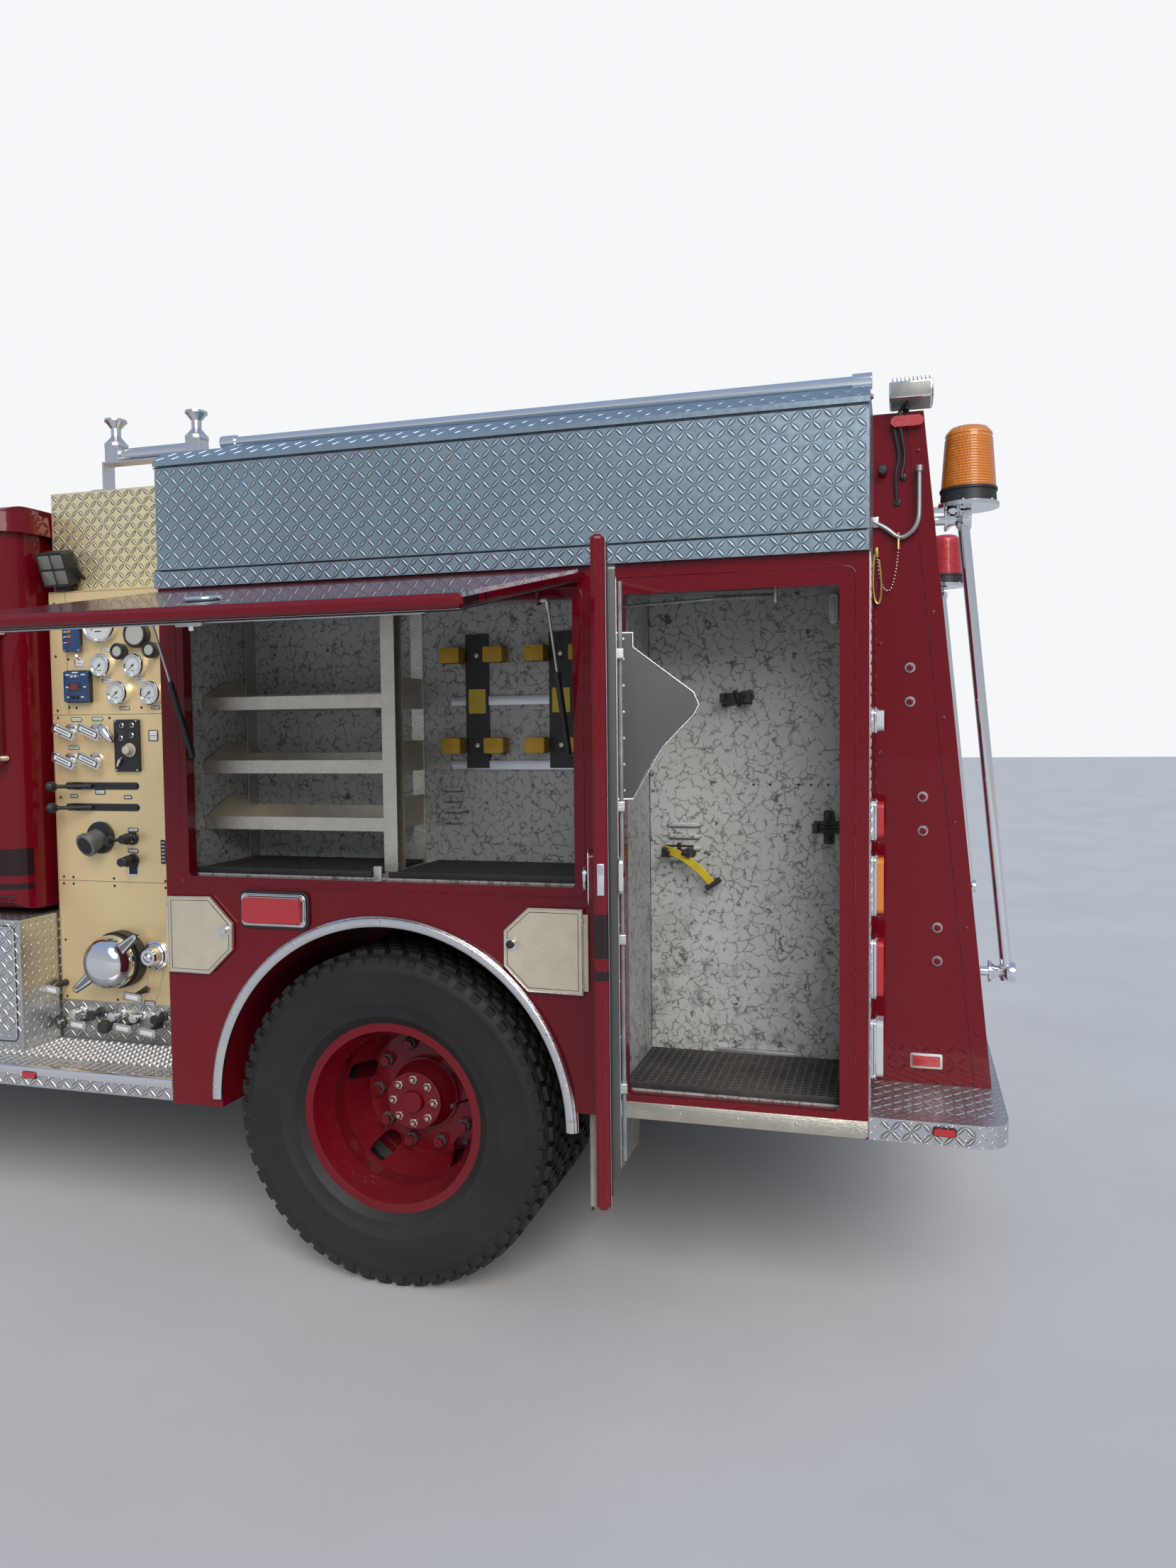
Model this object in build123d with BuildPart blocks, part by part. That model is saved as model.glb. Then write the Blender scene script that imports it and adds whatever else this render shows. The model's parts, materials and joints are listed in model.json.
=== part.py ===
"""A four-wheel-drive brush truck: crew cab chassis, pump house, compartment body and hose bed.

Millimetres. +X runs to the rear, +Y to the truck's right and +Z up. While a piece is drawn,
X is 0 at the front edge of the compartment body, Y is 0 on the centre plane and Z is 0 on
the ground. On export everything moves to the centre of the whole truck's footprint.
"""

from build123d import *
import math
import os

os.makedirs("parts", exist_ok=True)

# Clearances
FIT = 0.3
DOOR_GAP = 8
SEAL_GAP = 6

# Body module, from its front edge
HALF_WIDTH = 1220
BODY_LENGTH = 2169
BODY_TOP = 2168
BODY_DEPTH = 470
SKIN = 40
SKIRT_REAR_Z = 614
SKIRT_FRONT_Z = 528
SKIRT_FRONT_X = 151
LINER = 6

# Compartments of the body: x from, x to, z from, z to
UPPER_X = (85, 1361)
UPPER_Z = (1264, 2083)
TALL_X = (1507, 2094)
TALL_Z = (681, 2085)
CORNER = 14

# Wheels and axles
TYRE_RADIUS = 525
TYRE_WIDTH = 279
REAR_AXLE_X = 745
WHEELBASE = 4545
FRONT_AXLE_X = REAR_AXLE_X - WHEELBASE
REAR_TYRE_INSET = 20
DUAL_SPACING = 330
RIM_RADIUS = 298
RIM_WIDTH = 216
BEAD_RADIUS = 286
BEAD_HALF = 92
FRONT_TYRE_OUT = 1130
KINGPIN_OUT = 850
STEER_ARM = 190

# Rear wheel arch
ARCH_X = 757
ARCH_Z = 558
ARCH_RADIUS = 572
ARCH_TRIM = 35
ARCH_PROFILE = ((-2, 0), (9, 0), (14, 8), (14, 26), (7, ARCH_TRIM), (-2, ARCH_TRIM))
WELL_IN = 530

# Doors of the body: hinge radius and slab thickness
HINGE_RADIUS = 6
DOOR_THICK = 32
DOOR_BEVEL = 9
LIFT_X = (50, 1400)
LIFT_HINGE_Z = 2130
LIFT_HEIGHT = 900
LIFT_OPEN = 79
TALL_HINGE_X = 1462
TALL_DOOR_WIDTH = 679
TALL_DOOR_Z = (644, 2134)
TALL_OPEN = 75
PAN_DEPTH = 22
PAN_INSET = 10
HOLDER_ALONG = 330

# Small eight-sided doors over the bottle tubes
SMALL_DOOR_THICK = 12
TUBE_RADIUS = 92
TUBE_DEPTH = 560

# Gas struts of the lift doors
STRUT_X = (102, 1344)
STRUT_FOOT_Z = 1641
STRUT_FOOT_IN = 12
STRUT_EYE_DOWN = 175
STRUT_EYE_IN = 40
TUBE_R = 9.5
ROD_R = 4

# Upper side boxes and hose bed
STRIP_Z = (2168, 2218)
PANEL_Z = (2218, 2548)
CAP_Z = 2600
UPPER_BOX_IN = 880

# Pump house between cab and body
PUMP_FRONT_X = -732
PUMP_HALF = 875
PUMP_FLOOR_Z = 592
PUMP_SHELF_Z = 2233
PUMP_TOP_Z = 2590
PUMP_SET_BACK = 28
PUMP_WALL = 30

# Running boards
BOARD_TOP_Z = 598
BOARD_THICK = 64
BOARD_FRONT_X = -2700

# Tailboard and rear buttresses
TAIL_REAR_X = 2525
TAIL_TOP_Z = 675
TAIL_THICK = 60
BUTTRESS_OUT = 896
BUTTRESS_THICK = 46
BUTTRESS_FOOT_X = 2501
BUTTRESS_HEAD_X = 2307
BUTTRESS_TOP_Z = 2602
FLANGE_WIDTH = 46
FLANGE_RISE = 3

# Rear handrails: x and z of their upper and lower ends
REAR_RAIL = ((2415, 2295), (2541, 1009))
RAIL_KNOB = 20
KNOB_HALF = 22
RAIL_LEAN = math.atan2(REAR_RAIL[1][0] - REAR_RAIL[0][0], REAR_RAIL[0][1] - REAR_RAIL[1][1])
KNOB_REACH = RAIL_KNOB * math.cos(RAIL_LEAN) + KNOB_HALF * math.sin(RAIL_LEAN)

# Cab
CAB_BACK_X = -760
CAB_HALF = 1020
CAB_FLOOR_Z = 1088
CAB_ROOF_Z = 2530
CAB_WALL = 55
COWL_X = -3010
BELT_Z = 1800
SCREEN_TOP_X = -2480
CAB_CORNER = 110

# Hood, bumper and frame
NOSE_X = -4500
BUMPER_X = -4680
BUMPER_TOP_Z = 830
FENDER_HALF = 1165
HOOD_SKIN = 22
HOOD_PIVOT_X = -4455
HOOD_PIVOT_Z = 905
HOOD_PIN = 14
RAIL_OUT = 432
RAIL_HEIGHT = 250
RAIL_FLANGE = 76
RAIL_THICK = 10
RAIL_BOTTOM_Z = 715
RAIL_FRONT_X = HOOD_PIVOT_X + 55

# Mirrors reach furthest out on the closed side
MIRROR_OUT = 1330

SIDES = ((-1, "left"), (1, "right"))

# The footprint's centre, with the left lift door standing open
DOOR_AXIS_OUT = HALF_WIDTH + HINGE_RADIUS + FIT
DOOR_LOW = SEAL_GAP - HINGE_RADIUS - FIT
LIFT_REACH = (
    DOOR_AXIS_OUT
    + LIFT_HEIGHT * math.sin(math.radians(LIFT_OPEN))
    + (DOOR_LOW + DOOR_THICK - DOOR_BEVEL) * math.cos(math.radians(LIFT_OPEN))
)
CENTRE_X = (BUMPER_X + REAR_RAIL[1][0] + KNOB_REACH) / 2
CENTRE_Y = (MIRROR_OUT - LIFT_REACH) / 2
TO_FOOTPRINT = Location((-CENTRE_X, -CENTRE_Y, 0))


def finish(piece, name):
    """Labels a finished piece and writes it in the footprint's frame."""
    piece.part.label = name
    placed = piece.part.moved(TO_FOOTPRINT)
    placed.label = name
    export_step(placed, f"parts/{name}.step")


def box(xs, ys, zs, mode=Mode.ADD):
    """A block between two places along each axis."""
    low = tuple(min(span) for span in (xs, ys, zs))
    size = [max(span) - min(span) for span in (xs, ys, zs)]
    with Locations(low):
        Box(*size, align=(Align.MIN, Align.MIN, Align.MIN), mode=mode)


def face(side, x=0, z=0, out=0):
    """A plane that looks out of one side. Its own x is x towards the front or the rear."""
    return Plane(origin=(x, side * out, z), x_dir=(-side, 0, 0), z_dir=(0, side, 0))


def outline(side, points, out, thick, corner=0, grow=0, mode=Mode.ADD):
    """A plate on one side with an outline in x and z, from out outwards by thick."""
    with BuildSketch(face(side, out=out)) as sketch:
        Polygon(*[(-side * x, z) for x, z in points], align=None)
        if corner:
            fillet(sketch.vertices(), corner)
        if grow:
            offset(amount=grow, kind=Kind.INTERSECTION)
    extrude(sketch.sketch, amount=thick, mode=mode)


def plate(plane, across, up, out, corner=0, mode=Mode.ADD):
    """A rectangular plate on a plane: spans across it, up it and out of it."""
    wide = max(across) - min(across)
    high = max(up) - min(up)
    with BuildSketch(plane.offset(min(out))) as sketch:
        with Locations((sum(across) / 2, sum(up) / 2)):
            if corner:
                RectangleRounded(wide, high, corner)
            else:
                Rectangle(wide, high)
    extrude(sketch.sketch, amount=max(out) - min(out), mode=mode)


def rod(start, end, radius, mode=Mode.ADD):
    """A round bar from one point to another."""
    line = Vector(*end) - Vector(*start)
    with BuildSketch(Plane(origin=start, z_dir=line)) as section:
        Circle(radius)
    extrude(section.sketch, amount=line.length, mode=mode)


def pipe(start, end, radius, bore):
    """A round tube from one point to another."""
    rod(start, end, radius)
    rod(start, end, bore, mode=Mode.SUBTRACT)


def turned(centre, axis, steps, mode=Mode.ADD):
    """A turned piece on an axis: each step gives along from, along to, radius from, radius to."""
    for low, high, r_low, r_high in steps:
        line = Vector(*axis).normalized()
        start = Vector(*centre) + line * low
        with BuildSketch(Plane(origin=start, z_dir=line)) as first:
            Circle(r_low)
        if r_low == r_high:
            extrude(first.sketch, amount=high - low, mode=mode)
            continue
        with BuildSketch(Plane(origin=start + line * (high - low), z_dir=line)) as second:
            Circle(r_high)
        loft(sections=[first.sketch.face(), second.sketch.face()], mode=mode)


def lift_plane(side, degrees):
    """The plane of a lift door at an opening angle, from its hinge line at the top."""
    turn = math.radians(degrees)
    return Plane(
        origin=(0, side * DOOR_AXIS_OUT, LIFT_HINGE_Z),
        x_dir=(-side, 0, 0),
        z_dir=(0, side * math.cos(turn), math.sin(turn)),
    )


def swing_plane(side, hinge_x, axis_out, degrees, hand):
    """The plane of an upright door: hand is 1 when its hinge is at its front edge, else -1."""
    turn = math.radians(degrees)
    return Plane(
        origin=(hinge_x, side * axis_out, 0),
        x_dir=(-side * math.cos(turn), -hand * math.sin(turn), 0),
        z_dir=(-hand * math.sin(turn), side * math.cos(turn), 0),
    )


# Chassis frame: two channel rails joined by crossmembers
CROSSMEMBERS_X = (-4400, -1600, -640, -60, 620, 1500, 2080)
CROSS_Z = (845, 925)
with BuildPart() as chassis:
    rail_z = (RAIL_BOTTOM_Z, RAIL_BOTTOM_Z + RAIL_HEIGHT)
    rail_x = (RAIL_FRONT_X, BODY_LENGTH - SKIN)
    for side, word in SIDES:
        box(rail_x, (side * RAIL_OUT, side * (RAIL_OUT - RAIL_FLANGE)), rail_z)
        box(
            rail_x,
            (side * (RAIL_OUT - RAIL_THICK), side * (RAIL_OUT - RAIL_FLANGE)),
            (rail_z[0] + RAIL_THICK, rail_z[1] - RAIL_THICK),
            mode=Mode.SUBTRACT,
        )
    for x in CROSSMEMBERS_X:
        web = RAIL_OUT - RAIL_THICK
        box((x - 5, x + 5), (-web - 1, web + 1), CROSS_Z)
        box((x - 35, x + 35), (-web - 1, web + 1), (CROSS_Z[1] - 7, CROSS_Z[1]))
        box((x - 35, x + 35), (-web - 1, web + 1), (CROSS_Z[0], CROSS_Z[0] + 7))
    # Brackets the nose tilts on
    for side, word in SIDES:
        box((HOOD_PIVOT_X - 15, HOOD_PIVOT_X + 90), (side * (RAIL_OUT - 1), side * (RAIL_OUT + 60)),
            (HOOD_PIVOT_Z - 55, HOOD_PIVOT_Z - HOOD_PIN - FIT))
finish(chassis, "chassis_frame")

# Front bumper with its returned ends and two tow hooks on the frame horns
BUMPER_HALF = 1180
BUMPER_DEPTH = 110
BUMPER_BOTTOM_Z = 560
HOOK_OUT = 600
with BuildPart() as bumper:
    with BuildSketch(Plane.XY.offset(BUMPER_BOTTOM_Z)):
        with Locations((BUMPER_X + BUMPER_DEPTH / 2, 0)):
            RectangleRounded(BUMPER_DEPTH, 2 * BUMPER_HALF, 45)
    extrude(amount=BUMPER_TOP_Z - BUMPER_BOTTOM_Z)
    box(
        (BUMPER_X + 12, BUMPER_X + BUMPER_DEPTH + 10),
        (-BUMPER_HALF + 60, BUMPER_HALF - 60),
        (BUMPER_BOTTOM_Z + 12, BUMPER_TOP_Z - 12),
        mode=Mode.SUBTRACT,
    )
    for side, word in SIDES:
        box(
            (BUMPER_X + 11, RAIL_FRONT_X - FIT),
            (side * (RAIL_OUT - 5), side * (RAIL_OUT - RAIL_FLANGE)),
            (RAIL_BOTTOM_Z + 5, BUMPER_TOP_Z - 11),
        )
        box(
            (BUMPER_X + 11, BUMPER_X + 82),
            (side * (HOOK_OUT - 12), side * (HOOK_OUT + 12)),
            (BUMPER_BOTTOM_Z - 9, BUMPER_BOTTOM_Z + 60),
        )
        with BuildSketch(face(side, out=HOOK_OUT - 12)) as ring:
            with Locations((-side * (BUMPER_X + 48), BUMPER_BOTTOM_Z - 35)):
                Circle(42)
                Circle(22, mode=Mode.SUBTRACT)
        extrude(ring.sketch, amount=24)
finish(bumper, "front_bumper")

# Axle dimensions
REAR_TUBE = 54
FRONT_TUBE = 48
SPRING_OUT = 470
SPRING_WIDTH = 76
SPRING_TOP_Z = 690
AXLE_Z = TYRE_RADIUS


def leaf_spring(side, axle_x, half_length, top_z):
    """A leaf spring pack over an axle, with its eyes hung from the frame by brackets."""
    inner = SPRING_OUT - SPRING_WIDTH / 2
    for step in range(3):
        reach = half_length * (1 - 0.25 * step)
        rise = 60 * (reach / half_length) ** 2
        low = top_z - 18 * (step + 1)
        with BuildSketch(face(side, out=inner)) as leaf:
            with BuildLine():
                top = ThreePointArc(
                    (-side * axle_x - reach, low + rise + 17.8),
                    (-side * axle_x, low + 17.8),
                    (-side * axle_x + reach, low + rise + 17.8),
                )
                bottom = ThreePointArc(
                    (-side * axle_x - reach, low + rise),
                    (-side * axle_x, low),
                    (-side * axle_x + reach, low + rise),
                )
                Line(top @ 0, bottom @ 0)
                Line(top @ 1, bottom @ 1)
            make_face()
        extrude(leaf.sketch, amount=SPRING_WIDTH)
    for end in (-1, 1):
        x = axle_x + end * half_length
        rod((x, side * inner, top_z + 52), (x, side * (inner + SPRING_WIDTH), top_z + 52), 24)
        box(
            (x - 40, x + 40),
            (side * (RAIL_OUT + FIT), side * (inner + SPRING_WIDTH + 12)),
            (top_z + 70, top_z + 174),
        )
    box(
        (axle_x - 70, axle_x + 70),
        (side * (inner - 8), side * (inner + SPRING_WIDTH + 8)),
        (AXLE_Z + 30, top_z + 12),
    )


# Rear axle: banjo housing, tubes, springs
with BuildPart() as axles:
    rear_end = 905
    rod((REAR_AXLE_X, -rear_end, AXLE_Z), (REAR_AXLE_X, rear_end, AXLE_Z), REAR_TUBE)
    turned((REAR_AXLE_X, 0, AXLE_Z), (0, 1, 0), ((-150, -60, 90, 168), (-60, 60, 168, 168), (60, 150, 168, 90)))
    turned(
        (REAR_AXLE_X, 0, AXLE_Z),
        (-1, 0, 0),
        ((60, 260, 130, 70), (260, 300, 70, 70)),
    )
    for side, word in SIDES:
        leaf_spring(side, REAR_AXLE_X, 640, SPRING_TOP_Z - 20)
# Front axle: driven housing offset to the right, with a kingpin boss at each end
BOSS_RADIUS = 42
BOSS_HALF = 80
DIFF_Y = 180
with axles:
    rod((FRONT_AXLE_X, -KINGPIN_OUT, AXLE_Z), (FRONT_AXLE_X, KINGPIN_OUT, AXLE_Z), FRONT_TUBE)
    turned(
        (FRONT_AXLE_X, DIFF_Y, AXLE_Z),
        (0, 1, 0),
        ((-130, -50, 80, 148), (-50, 50, 148, 148), (50, 130, 148, 80)),
    )
    turned(
        (FRONT_AXLE_X, DIFF_Y, AXLE_Z),
        (1, 0, 0),
        ((60, 230, 110, 60), (230, 270, 60, 60)),
    )
    for side, word in SIDES:
        rod(
            (FRONT_AXLE_X, side * KINGPIN_OUT, AXLE_Z - BOSS_HALF),
            (FRONT_AXLE_X, side * KINGPIN_OUT, AXLE_Z + BOSS_HALF),
            BOSS_RADIUS,
        )
        leaf_spring(side, FRONT_AXLE_X, 560, SPRING_TOP_Z - 20)
finish(axles, "axles")

# Steering knuckles: a fork round the kingpin boss, the spindle and the steering arm
SPINDLE_END = 1090
FORK = 60
for side, word in SIDES:
    with BuildPart() as knuckle:
        for end in (-1, 1):
            near = AXLE_Z + end * (BOSS_HALF + FIT)
            far = near + end * 24
            rod((FRONT_AXLE_X, side * KINGPIN_OUT, near), (FRONT_AXLE_X, side * KINGPIN_OUT, far), 45)
            box(
                (FRONT_AXLE_X - 45, FRONT_AXLE_X + 45),
                (side * KINGPIN_OUT, side * (KINGPIN_OUT + FORK + 24)),
                (near, far),
            )
        box(
            (FRONT_AXLE_X - 45, FRONT_AXLE_X + 45),
            (side * (KINGPIN_OUT + FORK), side * (KINGPIN_OUT + FORK + 24)),
            (AXLE_Z - BOSS_HALF - 20, AXLE_Z + BOSS_HALF + 20),
        )
        rod(
            (FRONT_AXLE_X, side * (KINGPIN_OUT + FORK), AXLE_Z),
            (FRONT_AXLE_X, side * SPINDLE_END, AXLE_Z),
            36,
        )
        arm_z = AXLE_Z - BOSS_HALF - FIT - 24
        box(
            (FRONT_AXLE_X + 20, FRONT_AXLE_X + STEER_ARM + 22),
            (side * (KINGPIN_OUT - 22), side * (KINGPIN_OUT + 22)),
            (arm_z, arm_z + 20),
        )
    finish(knuckle, f"knuckle_{word}")

# Tie rod between the steering arms, its eyes resting under the arms
with BuildPart() as tie_rod:
    rod_x = FRONT_AXLE_X + STEER_ARM
    rod_z = AXLE_Z - BOSS_HALF - FIT - 24 - 0.5
    rod((rod_x, -KINGPIN_OUT + 10, rod_z - 17), (rod_x, KINGPIN_OUT - 10, rod_z - 17), 15)
    for side, word in SIDES:
        rod((rod_x, side * KINGPIN_OUT, rod_z - 34), (rod_x, side * KINGPIN_OUT, rod_z), 22)
finish(tie_rod, "tie_rod")

# Wheel dimensions, outwards from the rim's centre plane
STUD_CIRCLE = 335
STUD_COUNT = 10
HAND_HOLES = 5
HAND_HOLE_RADIUS = 34
HAND_HOLE_CIRCLE = 432
DISC_OFFSET = DUAL_SPACING / 2
DISC_THICK = 12
HUB_RADIUS = 118
HUB_OUT = 92
FLANGE_RADIUS = 92
FLANGE_STUDS = 8


def ring_face(plane, points):
    """A closed outline in the plane of an axle, given as (along the axle, radius)."""
    with BuildSketch(plane) as profile:
        Polygon(*points, align=None)
    return profile.sketch


def axle_plane(x, y, outwards):
    """A plane through an axle: its own x runs out of the wheel, its own y is the radius."""
    return Plane(origin=(x, y, AXLE_Z), x_dir=(0, outwards, 0), z_dir=(outwards, 0, 0))


def rim(x, y, outwards):
    """A disc wheel whose dish opens outwards and whose disc sits behind its centre plane."""
    plane = axle_plane(x, y, outwards)
    half = RIM_WIDTH / 2
    barrel = (
        (half, RIM_RADIUS),
        (half - 8, RIM_RADIUS),
        (half - 12, BEAD_RADIUS),
        (half - 46, BEAD_RADIUS),
        (20, BEAD_RADIUS - 34),
        (-40, BEAD_RADIUS - 34),
        (-half + 46, BEAD_RADIUS),
        (-half + 12, BEAD_RADIUS),
        (-half + 8, RIM_RADIUS),
        (-half, RIM_RADIUS),
        (-half, BEAD_RADIUS - 16),
        (-42, BEAD_RADIUS - 44),
        (22, BEAD_RADIUS - 44),
        (half, BEAD_RADIUS - 16),
    )
    disc = (
        (-44, BEAD_RADIUS - 43),
        (-58, BEAD_RADIUS - 43),
        (-128, 226),
        (-DISC_OFFSET, 208),
        (-DISC_OFFSET, HUB_RADIUS + FIT),
        (-DISC_OFFSET + DISC_THICK, HUB_RADIUS + FIT),
        (-DISC_OFFSET + DISC_THICK, 204),
        (-122, 214),
    )
    axis = Axis((x, y, AXLE_Z), (0, outwards, 0))
    revolve(ring_face(plane, barrel), axis=axis)
    revolve(ring_face(plane, disc), axis=axis)
    seat = Plane(
        origin=(x, y - outwards * DISC_OFFSET, AXLE_Z), x_dir=(-outwards, 0, 0), z_dir=(0, outwards, 0)
    )
    with BuildSketch(seat) as holes:
        with PolarLocations(HAND_HOLE_CIRCLE / 2, HAND_HOLES, start_angle=90):
            Circle(HAND_HOLE_RADIUS)
    extrude(holes.sketch, amount=110, mode=Mode.SUBTRACT)


def studs(x, y, outwards, count, circle, radius, height):
    """A ring of studs or nuts standing out of a face."""
    seat = Plane(origin=(x, y, AXLE_Z), x_dir=(-outwards, 0, 0), z_dir=(0, outwards, 0))
    with BuildSketch(seat) as ring:
        with PolarLocations(circle / 2, count):
            RegularPolygon(radius, 6)
    extrude(ring.sketch, amount=height)


def tyre(x, y):
    """A radial tyre round its rim: flat tread, square shoulders and bulged side walls."""
    half = TYRE_WIDTH / 2
    profile = ring_face(axle_plane(x, y, 1), (
        (-half + 19, TYRE_RADIUS),
        (half - 19, TYRE_RADIUS),
        (half, 405),
        (BEAD_HALF, BEAD_RADIUS + FIT),
        (-BEAD_HALF, BEAD_RADIUS + FIT),
        (-half, 405),
    ))
    revolve(profile, axis=Axis((x, y, AXLE_Z), (0, 1, 0)))


# Rear wheels: two discs back to back on a hub with its drum, and two tyres
REAR_OUTER = HALF_WIDTH - REAR_TYRE_INSET - TYRE_WIDTH / 2
REAR_INNER = REAR_OUTER - DUAL_SPACING
for side, word in SIDES:
    with BuildPart() as wheel:
        rim(REAR_AXLE_X, side * REAR_OUTER, side)
        rim(REAR_AXLE_X, side * REAR_INNER, -side)
        seat_out = REAR_OUTER - DISC_OFFSET
        centre = (REAR_AXLE_X, side * seat_out, AXLE_Z)
        turned(
            centre,
            (0, side, 0),
            (
                (-150, -12, 200, 200),
                (-12, 30, HUB_RADIUS, HUB_RADIUS),
                (30, HUB_OUT, HUB_RADIUS - 6, 80),
                (HUB_OUT, HUB_OUT + 16, FLANGE_RADIUS, FLANGE_RADIUS),
                (HUB_OUT + 16, HUB_OUT + 34, 38, 32),
            ),
        )
        rod(
            (REAR_AXLE_X, side * (seat_out - 151), AXLE_Z),
            (REAR_AXLE_X, side * (seat_out + 20), AXLE_Z),
            REAR_TUBE + FIT,
            mode=Mode.SUBTRACT,
        )
        face_out = side * (seat_out + DISC_THICK)
        studs(REAR_AXLE_X, face_out, side, STUD_COUNT, STUD_CIRCLE, 17, 34)
        studs(REAR_AXLE_X, side * (seat_out + HUB_OUT + 16), side, FLANGE_STUDS, 142, 11, 16)
    finish(wheel, f"rear_wheel_{word}")
    with BuildPart() as tyres:
        for out in (REAR_OUTER, REAR_INNER):
            tyre(REAR_AXLE_X, side * out)
    finish(tyres, f"rear_tyres_{word}")

# Front wheels: the same disc turned round, so its centre stands out
FRONT_CENTRE = FRONT_TYRE_OUT - TYRE_WIDTH / 2
for side, word in SIDES:
    with BuildPart() as wheel:
        rim(FRONT_AXLE_X, side * FRONT_CENTRE, -side)
        seat_out = FRONT_CENTRE + DISC_OFFSET
        turned(
            (FRONT_AXLE_X, side * seat_out, AXLE_Z),
            (0, side, 0),
            (
                (-200, -DISC_THICK, 198, 198),
                (-DISC_THICK, 20, HUB_RADIUS, HUB_RADIUS),
                (20, 70, 82, 74),
                (70, 96, 60, 52),
            ),
        )
        rod(
            (FRONT_AXLE_X, side * (seat_out - 201), AXLE_Z),
            (FRONT_AXLE_X, side * (seat_out - 40), AXLE_Z),
            110,
            mode=Mode.SUBTRACT,
        )
        rod(
            (FRONT_AXLE_X, side * (SPINDLE_END + FIT), AXLE_Z),
            (FRONT_AXLE_X, side * (seat_out - 39), AXLE_Z),
            36 + FIT,
            mode=Mode.SUBTRACT,
        )
        rod(
            (FRONT_AXLE_X, side * (seat_out - 139), AXLE_Z),
            (FRONT_AXLE_X, side * (seat_out - 38), AXLE_Z),
            112,
        )
        rod(
            (FRONT_AXLE_X, side * (seat_out - 140), AXLE_Z),
            (FRONT_AXLE_X, side * (SPINDLE_END + FIT), AXLE_Z),
            36 + FIT,
            mode=Mode.SUBTRACT,
        )
        studs(FRONT_AXLE_X, side * (seat_out - 1), side, STUD_COUNT, STUD_CIRCLE, 17, 30)
    finish(wheel, f"front_wheel_{word}")
    with BuildPart() as tyres:
        tyre(FRONT_AXLE_X, side * FRONT_CENTRE)
    finish(tyres, f"front_tyre_{word}")

# Engine, as one plain block between the rails, with its mounts
ENGINE_X = (-4180, -3110)
ENGINE_TOP_Z = 1430
with BuildPart() as driveline:
    box(ENGINE_X, (-330, 330), (RAIL_BOTTOM_Z + RAIL_HEIGHT + 20, ENGINE_TOP_Z))
    box(ENGINE_X, (-RAIL_OUT + RAIL_FLANGE + 12, RAIL_OUT - RAIL_FLANGE - 12), (760, 1000))
    for side, word in SIDES:
        box((-3900, -3800), (side * 300, side * RAIL_OUT), (RAIL_BOTTOM_Z + RAIL_HEIGHT + FIT, 1010))

# Gearbox, transfer case, propeller shafts and pump gearbox
TRANSFER_X = -2100
SHAFT_Z = 850
EXHAUST_Y = 540
with driveline:
    shaft_z = SHAFT_Z
    rod((ENGINE_X[1] + FIT, 0, shaft_z), (-2350, 0, shaft_z), 150)
    rod((-2350, 0, shaft_z), (TRANSFER_X - 160, 0, shaft_z), 45)
    box((TRANSFER_X - 160, TRANSFER_X + 160), (-190, 190), (600, 930))
    box((TRANSFER_X - 60, TRANSFER_X + 60), (-RAIL_OUT + RAIL_THICK, RAIL_OUT - RAIL_THICK), (800, 840))
    rod((TRANSFER_X + 160, 0, 760), (-520, 0, 760), 45)
    box((-520, -240), (-160, 160), (640, 900))
    rod((-241, 0, 760), (REAR_AXLE_X - 316, 0, AXLE_Z + 6), 45)
    rod((TRANSFER_X - 150, 110, 680), (FRONT_AXLE_X + 280, DIFF_Y, AXLE_Z + 4), 36)
    # Exhaust down the right side: muffler, then a tail pipe out under the running board
    rod((-2900, EXHAUST_Y, 800), (-2250, EXHAUST_Y, 800), 44)
    rod((-2251, EXHAUST_Y, 800), (-1300, EXHAUST_Y, 800), 88)
    rod((-1301, EXHAUST_Y, 800), (-965, EXHAUST_Y, 800), 44)
    rod((-1000, EXHAUST_Y, 835), (-1000, EXHAUST_Y, 435), 44)
    rod((-1000, EXHAUST_Y - 35, 470), (-1000, HALF_WIDTH - 40, 470), 44)
    for x in (-2150, -1400):
        box((x - 20, x + 20), (RAIL_OUT + FIT, EXHAUST_Y), (790, 810))
finish(driveline, "driveline")


def cab_form(inset):
    """The cab's solid form, drawn in from every face by inset."""
    roof = CAB_ROOF_Z - inset
    floor = CAB_FLOOR_Z + inset
    back = CAB_BACK_X - inset
    side_points = (
        (back, floor),
        (back, roof),
        (SCREEN_TOP_X + inset * 0.6, roof),
        (SCREEN_TOP_X + inset - 90, roof - 60),
        (COWL_X + inset + 60, BELT_Z - 10),
        (COWL_X + inset, BELT_Z - 60),
        (COWL_X + inset, 1300),
        (COWL_X + 120 + inset, floor),
    )
    half = CAB_HALF - inset
    with BuildPart() as form:
        with BuildSketch(Plane.XZ.offset(-half)):
            Polygon(*side_points, align=None)
        extrude(amount=2 * half)
        with BuildSketch(Plane.XY.offset(floor)):
            with Locations(((COWL_X + CAB_BACK_X) / 2, 0)):
                RectangleRounded(
                    CAB_BACK_X - COWL_X - 2 * inset, 2 * half, CAB_CORNER - inset * 0.7
                )
        extrude(amount=roof - floor, mode=Mode.INTERSECT)
        with BuildSketch(Plane.YZ.offset(COWL_X)):
            with Locations((0, (roof + floor) / 2)):
                RectangleRounded(2 * half, roof - floor, 70 - inset * 0.5)
        extrude(amount=CAB_BACK_X - COWL_X, mode=Mode.INTERSECT)
    return form.part


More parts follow.
